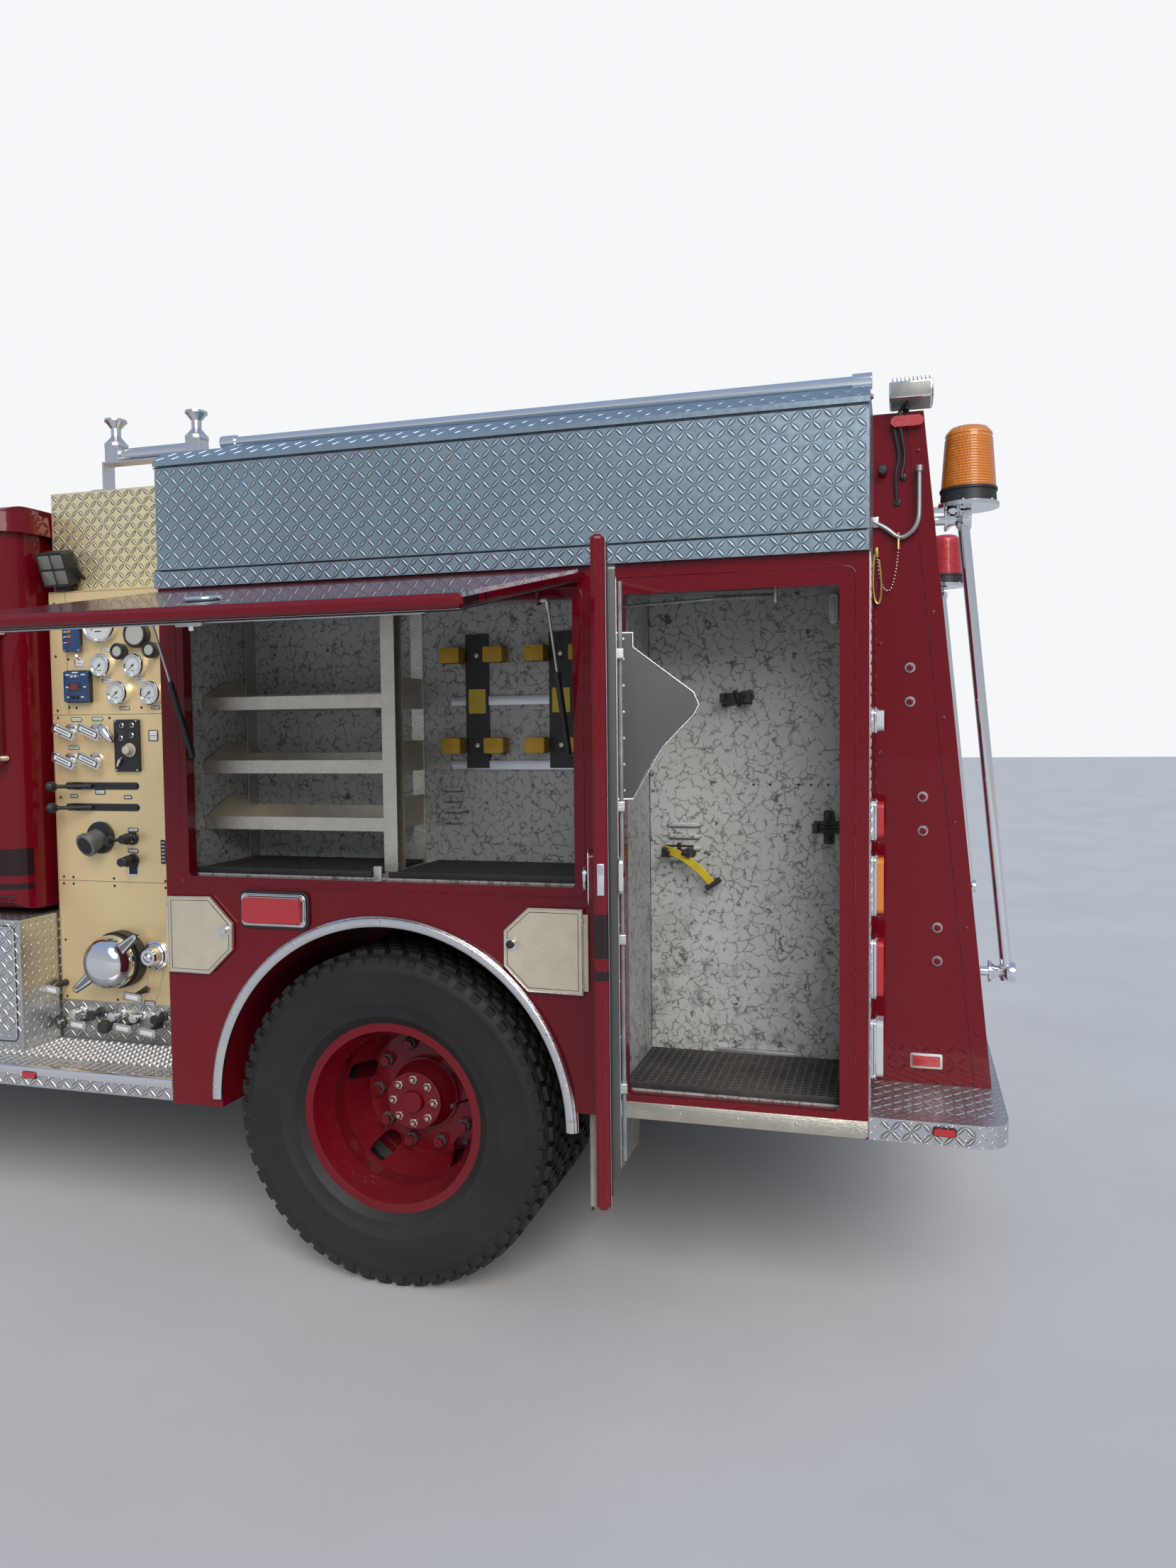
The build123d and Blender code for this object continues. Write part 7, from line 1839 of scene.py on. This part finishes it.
class Lamps(bpy.types.Operator):
    """Rims, ribs and fins of the lamps"""

    bl_idname = "brush_truck.lamps"
    bl_label = "Lamps"

    def execute(self, context):
        tail = rear_frame(BODY_END)
        made = Shape("lamp_rims")
        for side, _ in SIDES:
            for low, high in ((1691, 1766), (1399, 1516), (1191, 1364), (963, 1135), (738, 913)):
                y = side * 1068
                made.rim(rounded((y - 46, y + 46), (low + 4, high - 4), 19, 6), 13, 5.4, "chrome", tail, 10)
                for v in (low + 9, high - 9):
                    made.head((3, 2.4), (17, 19, 19.4), "brushed", moved(tail, y, v), 8)
            self.beacon(made, side)
            self.flood_lamp(made, side)
        made.done()
        self.work_light()
        self.light_bar()
        return {"FINISHED"}

    def beacon(self, made, side):
        """Bright bolts, ribs, cap and reflector of a beacon."""
        for turn in range(6):
            a = turn * math.pi / 3 + 0.3
            spot = (2428 + 79 * math.cos(a), side * 896 + 79 * math.sin(a) * 0.98, 2331.6)
            made.head((5, 4.4), (0, 3.4, 3.8), "brushed", frame_of(spot, (1, 0, 0), (0, 1, 0), (0, 0, 1)), 10)
        colour = "amber_lens" if side < 0 else "red_lens"
        base = moved(PLAIN, 2428, side * 896, 2368)
        for i in range(18):
            low = 8 + i * 7.6
            r = 73 - (low + 3) * 11 / 150
            made.lathe([(r - 1, low), (r + 1.7, low + 1.6), (r + 1.7, low + 3.2), (r - 1, low + 5.6),
                        (r - 1, low)], colour, base, 48)
        made.lathe([(60, 150), (63.4, 151), (62, 158), (50, 172), (40, 175.5), (0, 177), (0, 173)],
                   colour, base, 48)
        made.lathe([(73, -3), (77.4, -3), (77.4, 4), (73, 6), (73, -3)], "black_plastic", base, 48)
        made.lathe([(0, 3), (24, 3), (24, 62), (12, 80), (0, 82)], "chrome", base, 24)

    def flood_lamp(self, made, side):
        """Fins and glass of the flood lamp on a buttress."""
        y = side * 886
        for x in range(2222, 2326, 11):
            made.block((x, x + 4), (side * 886 - 62, side * 886 + 62), (2672, 2685), "cast_pale", PLAIN, 0.6)
        made.block((2213.5, 2330.4), (side * 886 - 66.5, side * 886 + 66.5), (2626.5, 2673.5),
                   "cast_pale", PLAIN, 5)
        glass = rear_frame(2330, y, 2650)
        made.plate((-58, 58), (-18, 18), 5, (0.2, 3), "led_face", glass, 0.8)
        made.tube([(2262, y - 34, 2650), (2262, y - 34, 2606), (2262, y + 10, 2606)], 4, "black_plastic")

    def work_light(self):
        """Faces, frame, fins and arms of the work light."""
        work = Shape("work_light_face")
        tilt = frame_of((-665, -901, 2311), (1, 0, 0), (0, -0.34, 0.94), (0, -0.94, -0.34))
        for u in (-27, 27):
            for v in (-28, 28):
                work.plate((u - 24, u + 24), (v - 24, v + 24), 5, (22.2, 25), "led_face", tilt, 1)
        work.rim(rounded((-56, 56), (-58, 58), 9, 4), 22, 3.6, "black_plastic", tilt, 8)
        for i in range(9):
            v = -52 + i * 13
            work.block((-54, 54), (v - 2, v + 2), (-46, -29), "black_plastic", tilt, 0.8)
        work.tube([(-70, 0, -6), (-70, -50, -40), (-70, -86, -52)], 6, "black_steel", tilt, 8)
        work.tube([(70, 0, -6), (70, -50, -40), (70, -86, -52)], 6, "black_steel", tilt, 8)
        work.done()

    def light_bar(self):
        """Ribs and base of the light bar on the roof."""
        bar = Shape("light_bar_ribs")
        for low, high, colour in ((-710, -260, "red_lens"), (260, 710, "red_lens"),
                                  (-258, 258, "clear_lens")):
            for y in steps(low, high, 26):
                bar.block((-2192.5, -1907.5), (y - 3, y + 3), (2572, 2678), colour, PLAIN, 2)
        bar.block((-2206, -1894), (-726, 726), (2556, 2572), "black_plastic", PLAIN, 3)
        bar.done()


# Cab

# Door windows: sill front x, belt front x, top front x, rear x
CAB_DOORS = (("front", -2888, -2888, -2520, -1960), ("rear", -1928, -1928, -1928, -890))


def window_corners(row):
    _, _, belt, top, rear = row
    slope = (top - belt) / 620
    rise = 74.4 if slope else 62
    return ((belt + rise + slope * 62, 1830), (top + rise - slope * 62, 2358), (rear - 62, 2358),
            (rear - 62, 1830))


def eased(corners, radius, count=4):
    """Corners of an outline, each drawn round."""
    points = []
    for before, here, after in zip(corners[-1:] + corners[:-1], corners, corners[1:] + corners[:1]):
        here = Vector(here)
        start = here + (Vector(before) - here).normalized() * radius
        end = here + (Vector(after) - here).normalized() * radius
        for i in range(count + 1):
            t = i / count
            points.append(tuple(start * (1 - t) ** 2 + here * 2 * t * (1 - t) + end * t**2))
    return points


class CabTrim(bpy.types.Operator):
    """Rubbers, handles, mirrors, wipers, seams and aerial of the cab"""

    bl_idname = "brush_truck.cab_trim"
    bl_label = "Cab trim"

    def execute(self, context):
        for side, word in SIDES:
            face = side_frame(side, out=CAB_OUT)
            for row in CAB_DOORS:
                self.door(side, word, face, row)
            made = Shape(f"cab_side_{word}")
            made.block((-884, -884.6), (1150, 2420), (0.1, 0.4), "seam_dark", face, 0)
            made.tube([(-2460, 2446, -6), (-2300, 2462, -4), (-1500, 2464, -4), (-800, 2462, -6)], 5,
                      "red_paint", face, 8)
            for v in (1120, 1140):
                made.block((-2860, -790), (v - 2, v + 2), (0.2, 1), "black_plastic", face, 0)
            made.done()
            self.fender(side, word)
        self.screen()
        self.roof()
        return {"FINISHED"}

    def screen(self):
        """Rubbers of the fixed panes, and the wipers."""
        made = Shape("screen_trim")
        low, high = Vector((-2950, 0, 1790)), Vector((-2570, 0, 2470))
        up = (high - low).normalized()
        pane = frame_of((low + high) / 2, (0, -1, 0), up, (-up.z, 0, up.x))
        half = ((high - low).length - 90) / 2
        edge = rounded((-915, 915), (-half, half), 60, 6)
        made.rim(edge, 0, 9, "rubber", pane, 8)
        for side, _ in SIDES:
            pivot = (-side * 90 - 260, -half - 46, 6)
            tip = (-side * 90 + 250, -half + 210, 12)
            made.tube([pivot, (pivot[0], pivot[1], 26)], 12, "black_plastic", pane, 14)
            made.tube([(pivot[0], pivot[1], 22), tip], [7, 4], "black_steel", pane, 8)
            made.tube([(tip[0] - 300, tip[1] - 100, 7), (tip[0] + 230, tip[1] + 50, 7)], 4.5,
                      "rubber", pane, 8)
        back = rear_frame(-760)
        made.rim(rounded((-560, 560), (1900, 2330), 50, 6), 0, 8, "rubber", back, 8)
        made.done()

    def roof(self):
        """Aerial, roof ribs and domed lamp."""
        made = Shape("roof_trim")
        mast = [(-1500, 860, 2528), (-1500, 860, 2560), (-1496, 862, 2700), (-1484, 868, 2830)]
        made.lathe([(0, 0), (26, 0), (24, 10), (12, 18), (8, 34), (0, 36)], "black_plastic",
                   axis_frame((-1500, 860, 2527), (0, 0, 1)), 20)
        made.tube(smooth_path(mast, 6), 2.6, "black_steel", sides=8)
        for y in (-600, -300, 0, 300, 600):
            made.tube([(-1850, y, 2528), (-1780, y, 2533), (-900, y, 2533), (-840, y, 2528)], [3, 9, 9, 3],
                      "red_paint", sides=10)
        for y in (-420, -210, 0, 210, 420):
            spot = moved(PLAIN, -2375, y, 2530)
            made.plate((-54, 54), (-34, 34), 16, (0.2, 9), "black_plastic", spot, 2)
            made.plate((-46, 46), (-27, 27), 14, (8, 33), "amber_lens", spot, 8)
        made.done()

    def door(self, side, word, face, row):
        """Rubber, handle, moulding and mirror of a cab door."""
        name, sill, _, _, rear = row
        made = Shape(f"cab_door_trim_{name}_{word}", f"cab_door_{name}_{word}")
        made.rim(eased(window_corners(row), 36), -3, 6.5, "rubber", face, 8)
        made.plate((rear - 196, rear - 44), (1690, 1742), 12, (0.2, 3), "black_plastic", face, 1)
        made.plate((rear - 188, rear - 52), (1704, 1728), 10, (27.5, 30), "chrome", face, 1)
        made.lathe([(0, 0.2), (13, 0.2), (12, 4), (5, 5), (0, 5)], "chrome",
                   moved(face, rear - 120, 1660), 20)
        made.block((sill + 40 if name == "front" else sill + 20, rear - 20), (1395, 1409), (0.2, 6),
                   "black_plastic", face, 2.5)
        if name == "front":
            glass = rear_frame(-2784)
            ys = sorted((side * 1216, side * 1326))
            made.plate(ys, (1900, 2236), 18, (0, 2), "mirror", glass, 0.6)
            made.plate(ys, (1872, 1952), 14, (2, 3.4), "mirror", glass, 0.6)
            made.rim(rounded((ys[0], ys[1]), (1864, 2246), 22, 4), 0.5, 3.5, "black_plastic", glass, 8)
        made.done()

    def fender(self, side, word):
        """Lip of the front wheel arch and a side marker."""
        lip = Shape(f"fender_trim_{word}", "hood")
        arch = frame_of((-3800, side * FENDER_OUT, 565), (1, 0, 0), (0, 0, 1), (0, side, 0))
        lip.lathe([(631, -20), (631, 2), (640, 7), (662, 7), (668, 1), (668, -3), (640, -4), (636, -20),
                   (631, -20)], "black_plastic", arch, 48, math.radians(22), math.radians(158))
        marker = side_frame(side, -3120, 1230, FENDER_OUT)
        lip.plate((-50, 50), (-20, 20), 8, (0.2, 5), "black_plastic", marker, 1)
        lip.plate((-44, 44), (-14, 14), 6, (4, 12), "amber_lens", marker, 2)
        lip.done()


class NoseTrim(bpy.types.Operator):
    """Mesh, lamps and latches of the tilting nose"""

    bl_idname = "brush_truck.nose"
    bl_label = "Nose trim"

    def execute(self, context):
        made = Shape("nose_trim", "hood")
        nose = front_frame(-4500)
        for v in range(1014, 1166, 12):
            made.tube([(-402, v, -16), (402, v, -16)], 1.6, "black_steel", nose, 5)
        for u in range(-396, 400, 12):
            made.tube([(u, 1010, -17), (u, 1166, -17)], 1.6, "black_steel", nose, 5)
        made.rim(rounded((-434, 434), (981, 1194), 24, 5), 8, 7, "chrome", nose, 10)
        for side, _ in SIDES:
            lamp = front_frame(-4490, side * 860)
            made.rim(rounded((-128, 128), (962, 1108), 24, 5), 18, 6, "chrome", lamp, 10)
            for u in (-62, 62):
                spot = moved(lamp, u, 1035)
                made.lathe([(58, 20), (61, 23), (61, 32), (57, 34), (52, 30), (52, 26), (58, 20)],
                           "chrome", spot, 40)
                made.lathe([(0, 37), (22, 36), (40, 33.5), (52, 30), (52, 29.2), (0, 29.2)],
                           "clear_lens", spot, 40)
            turn = moved(lamp, -side * 158, 1035)
            made.plate((-20, 20), (-60, 60), 10, (2, 16), "amber_lens", turn, 3)
            latch = side_frame(side, -3110, 1430, 641)
            made.plate((-14, 14), (-55, 40), 8, (0.2, 14), "black_plastic", latch, 2)
            made.tube([(0, -50, 14), (0, 0, 22), (0, 36, 16)], 5, "black_plastic", latch, 10)
        made.done()
        return {"FINISHED"}


# Seats

# Each row's places of the cushions and the backs along the truck
SEATS = ((-2360, -2060), (-1330, -1030))
# Sewn channels of a pad, in metres: distance from its middle, width, depth
CHANNEL, CHANNEL_WIDTH, CHANNEL_DEPTH = 0.13, 0.010, 0.007


class SeatSettings(bpy.types.PropertyGroup):
    """Padding of the seats"""

    pressure: bpy.props.FloatProperty(name="Pressure",
                                      description="Pressure that fills a cushion", default=4.0)
    swell: bpy.props.FloatProperty(name="Swell", description="Most that a cushion swells",
                                   default=0.024, unit="LENGTH")
    voxel: bpy.props.FloatProperty(name="Voxel", description="Size of the remeshed faces",
                                   default=0.016, unit="LENGTH")


class Seats(bpy.types.Operator):
    """Padded seats of the cab, filled by a cloth simulation"""

    bl_idname = "brush_truck.seats"
    bl_label = "Seats"

    def execute(self, context):
        s = context.scene.brush_truck_seats
        cushion = self.filled(context, s, "cushion", (0.43, 0.43, 0.085))
        back = self.filled(context, s, "back", (0.095, 0.43, 0.585))
        welts = Shape("seat_frames")
        for x, back_x in SEATS:
            for y in (-520, 0, 520):
                self.seat(welts, cushion, back, x, back_x, y)
        frames = welts.done()
        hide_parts("seats")
        return {"FINISHED"}

    def filled(self, context, s, name, size):
        """A pad's mesh about its middle, in metres: a rounded form, remeshed and blown up a little."""
        mesh = bmesh.new()
        bmesh.ops.create_cube(mesh, size=1.0)
        bmesh.ops.scale(mesh, vec=size, verts=mesh.verts)
        bmesh.ops.bevel(mesh, geom=list(mesh.edges), offset=0.028, segments=4, profile=0.5, affect="EDGES",
                        clamp_overlap=True)
        data = bpy.data.meshes.new(name)
        mesh.to_mesh(data)
        mesh.free()
        pad = bpy.data.objects.new(name, data)
        context.scene.collection.objects.link(pad)
        remesh = pad.modifiers.new("remesh", "REMESH")
        remesh.mode = "VOXEL"
        remesh.voxel_size = s.voxel
        self.apply(context, pad)
        start = [v.co.copy() for v in pad.data.vertices]
        cloth = pad.modifiers.new("cloth", "CLOTH")
        cloth.settings.use_pressure = True
        cloth.settings.uniform_pressure_force = s.pressure
        cloth.settings.effector_weights.gravity = 0
        cloth.point_cache.frame_start, cloth.point_cache.frame_end = 1, 20
        for number in range(1, 21):
            context.scene.frame_set(number)
        self.apply(context, pad)
        context.scene.frame_set(1)
        for v, before in zip(pad.data.vertices, start):
            move = v.co - before
            if move.length > s.swell:
                v.co = before + move.normalized() * s.swell
        # Sewn channels: the swollen face is drawn in along them
        axis = 2 if name == "cushion" else 0
        for v in pad.data.vertices:
            if abs(v.co[axis]) > size[axis] * 0.4:
                apart = (abs(v.co[1]) - CHANNEL) / CHANNEL_WIDTH
                v.co[axis] -= math.copysign(CHANNEL_DEPTH * math.exp(-(apart**2)), v.co[axis])
        soft = pad.modifiers.new("soft", "SUBSURF")
        soft.levels = soft.render_levels = 1
        self.apply(context, pad)
        data = pad.data
        bpy.data.objects.remove(pad)
        return data

    def apply(self, context, pad):
        ready = pad.evaluated_get(context.evaluated_depsgraph_get())
        mesh = bpy.data.meshes.new_from_object(ready)
        pad.modifiers.clear()
        pad.data = mesh

    def seat(self, welts, cushion, back, x, back_x, y):
        """One seat: its two pads, and its welt, base, brackets and belt."""
        wide = 230 if x < -2000 or y else 250
        stretch = wide / 230
        tag = f"{'front' if x < -2000 else 'rear'}_{('left', 'centre', 'right')[(y > 0) + (y >= 0)]}"
        for source, name, spot in (
            (cushion, "cushion", (x, y, 1500)), (back, "back", (back_x - 65, y, 1870)),
        ):
            mesh = source.copy()
            mesh.transform(Matrix.Translation(at(*spot)) @ Matrix.Diagonal((1, stretch, 1, 1)))
            piece = bpy.data.objects.new(f"seat_{name}_{tag}", mesh)
            mesh.materials.append(get("seat_vinyl"))
            settle(piece, "chassis")
        welts.rim(rounded((x - 216, x + 216), (y - wide + 14, y + wide - 14), 40, 6), 0, 4, "seat_vinyl",
                  Matrix.Translation((0, 0, 1500)), 8)
        welts.plate((x - 200, x + 200), (y - wide + 40, y + wide - 40), 20, (1143.3, 1439),
                    "grey_plastic", PLAIN, 6)
        welts.block((back_x - 60, back_x - 10), (y - 150, y + 150), (1300, 1600), "black_plastic", PLAIN, 6)
        belt = smooth_path([(back_x - 140, y + 120, 2090), (x + 60, y + 60, 1800), (x + 40, y - 150, 1585)],
                           6)
        welts.tube([tuple(p) for p in belt], 3, "black_plastic", PLAIN, 6)


# Finishes of the solids: by slot, unless the node's name starts as below

FINISHES = {m["slot"]: m["slot"] for m in frame["record"]["materials"]}


def finish_of(name, slot):
    for start, finish in (
        ("cab_shell", "cab_red"), ("cab_door_", "cab_red"), ("lift_door_left", "lift_red_left"),
        ("lift_door_right", "lift_red_right"), ("rear_door_left", "rear_red_left"),
        ("rear_door_right", "rear_red_right"), ("hose_bed", "bed_plate"),
        ("front_wheel", "wheel_red"), ("rear_wheels", "wheel_red"), ("buttresses", "buttress_red"),
        # The pump house's gold finish is a painted reflection of sunlit ground
        ("pump_house", "panel_warm_reflection"), ("shelves", "stainless"), ("hose_roller", "polished"),
        ("small_door", "door_plate"),
    ):
        if name.startswith(start):
            return finish
    return FINISHES[slot]


class SolidsFinish(bpy.types.Operator):
    """Gives every solid of the frame its finish"""

    bl_idname = "brush_truck.solids"
    bl_label = "Finish the solids"

    def execute(self, context):
        slots = {row["node"]: row["material_slot"] for row in frame["record"]["subparts"]}
        for name, solid in NODES.items():
            solid.data.materials.clear()
            solid.data.materials.append(get(finish_of(name, slots[name])))
        return {"FINISHED"}


# Studio


class StudioSettings(bpy.types.PropertyGroup):
    """Camera and light"""

    camera_x: bpy.props.FloatProperty(name="Camera x", description="Behind the body's front edge",
                                      default=2255.0)
    camera_y: bpy.props.FloatProperty(name="Camera y", description="Left of the centre plane",
                                      default=-4157.0)
    camera_z: bpy.props.FloatProperty(name="Camera height", description="Above the ground", default=1710.0)
    yaw: bpy.props.FloatProperty(name="Yaw", description="Turn to the left, in degrees", default=16.182)
    pitch: bpy.props.FloatProperty(name="Pitch", description="Tilt downwards, in degrees", default=2.812)
    roll: bpy.props.FloatProperty(name="Roll", description="Roll of the camera, in degrees", default=-0.619)
    lens: bpy.props.FloatProperty(name="Lens", description="Focal length in mm on a 36 mm long side",
                                  default=24.966)


class Studio(bpy.types.Operator):
    """Makes the floor, the lights and the camera"""

    bl_idname = "brush_truck.studio"
    bl_label = "Studio"

    def execute(self, context):
        s = context.scene.brush_truck_studio
        yaw, pitch, roll = math.radians(-s.yaw), math.radians(s.pitch), math.radians(s.roll)
        ahead = Vector((math.sin(yaw) * math.cos(pitch), math.cos(yaw) * math.cos(pitch), -math.sin(pitch)))
        right = Vector((math.cos(yaw), -math.sin(yaw), 0))
        up = right.cross(ahead)
        right, up = (
            right * math.cos(roll) + up * math.sin(roll),
            up * math.cos(roll) - right * math.sin(roll),
        )
        data = bpy.data.cameras.new("camera")
        data.sensor_width = 36
        data.lens = s.lens
        data.clip_end = 200
        camera = bpy.data.objects.new("camera", data)
        turn = Matrix((right, up, -ahead)).transposed().to_4x4()
        camera.matrix_world = Matrix.Translation(at(s.camera_x, s.camera_y, s.camera_z)) @ turn
        context.scene.collection.objects.link(camera)
        context.scene.camera = camera
        self.floor(context)
        self.lights(context)
        context.scene.view_settings.view_transform = "Standard"
        return {"FINISHED"}

    def floor(self, context):
        mesh = bpy.data.meshes.new("studio_floor")
        reach = 60.0
        mesh.from_pydata([(-reach, -reach, 0), (reach, -reach, 0), (reach, reach, 0), (-reach, reach, 0)], [],
                         [(0, 1, 2, 3)])
        floor = bpy.data.objects.new("studio_floor", mesh)
        context.scene.collection.objects.link(floor)
        made = bpy.data.materials.new("studio_floor")
        made.use_nodes = True
        tree = Tree(made.node_tree)
        shader = made.node_tree.nodes["Principled BSDF"]
        base = tree.mix(tree.ramp(tree.noise(place(tree), 0.9, 6.0), 0.3, 0.7), (0.60, 0.59, 0.57, 1),
                        (0.66, 0.65, 0.63, 1))
        tree.feed(shader.inputs["Base Color"], base)
        shader.inputs["Roughness"].default_value = 0.8
        mesh.materials.append(made)

    def lights(self, context):
        world = bpy.data.worlds.new("studio")
        world.use_nodes = True
        context.scene.world = world
        tree = Tree(world.node_tree)
        back = world.node_tree.nodes["Background"]
        path = tree.add("ShaderNodeLightPath").outputs
        seen = tree.math("MAXIMUM", path["Is Camera Ray"], path["Is Transmission Ray"])
        sky = tree.parts(tree.add("ShaderNodeTexCoord").outputs["Generated"])[2]
        dome = tree.mix(tree.ramp(sky, -0.1, 0.6), (0.62, 0.62, 0.61, 1), (0.40, 0.52, 0.75, 1))
        tree.feed(back.inputs[0], tree.mix(seen, dome, (0.92, 0.93, 0.95, 1)))
        tree.feed(back.inputs[1], tree.ramp(seen, 0.0, 1.0, 0.75, 1.0))
        sun = bpy.data.lights.new("key", "SUN")
        sun.energy = 2.3
        sun.angle = 0.7
        sun.color = (1.0, 0.965, 0.91)
        lamp = bpy.data.objects.new("key", sun)
        lamp.rotation_euler = Vector((-4.0, 9.0, -7.0)).to_track_quat("-Z", "Y").to_euler()
        context.scene.collection.objects.link(lamp)


class TruckPanel(bpy.types.Panel):
    """Lists the steps that dress the truck"""

    bl_idname = "VIEW3D_PT_brush_truck"
    bl_label = "Brush truck"
    bl_space_type = "VIEW_3D"
    bl_region_type = "UI"
    bl_category = "Brush truck"

    def draw(self, context):
        for step in STEPS:
            self.layout.operator(step.bl_idname)


STEPS = (
    Studio, SolidsFinish, Tyres, WheelNuts, TreadBars, PumpPanel, Boards, BodyTrim, Compartments,
    DoorTrim, Buttresses,
    Lamps, CabTrim, NoseTrim, Seats,
)
SETTINGS = (
    ("brush_truck_studio", StudioSettings), ("brush_truck_tyres", TyreSettings),
    ("brush_truck_seats", SeatSettings),
)


def register():
    for name, kind in SETTINGS:
        bpy.utils.register_class(kind)
        setattr(bpy.types.Scene, name, bpy.props.PointerProperty(type=kind))
    for kind in STEPS + (TruckPanel,):
        bpy.utils.register_class(kind)


def unregister():
    for kind in STEPS + (TruckPanel,):
        bpy.utils.unregister_class(kind)
    for name, kind in SETTINGS:
        delattr(bpy.types.Scene, name)
        bpy.utils.unregister_class(kind)


def main():
    register()
    for step in STEPS:
        group_name, call = step.bl_idname.split(".")
        if getattr(getattr(bpy.ops, group_name), call)() != {"FINISHED"}:
            raise RuntimeError(step.bl_idname)


if __name__ == "__main__":
    main()
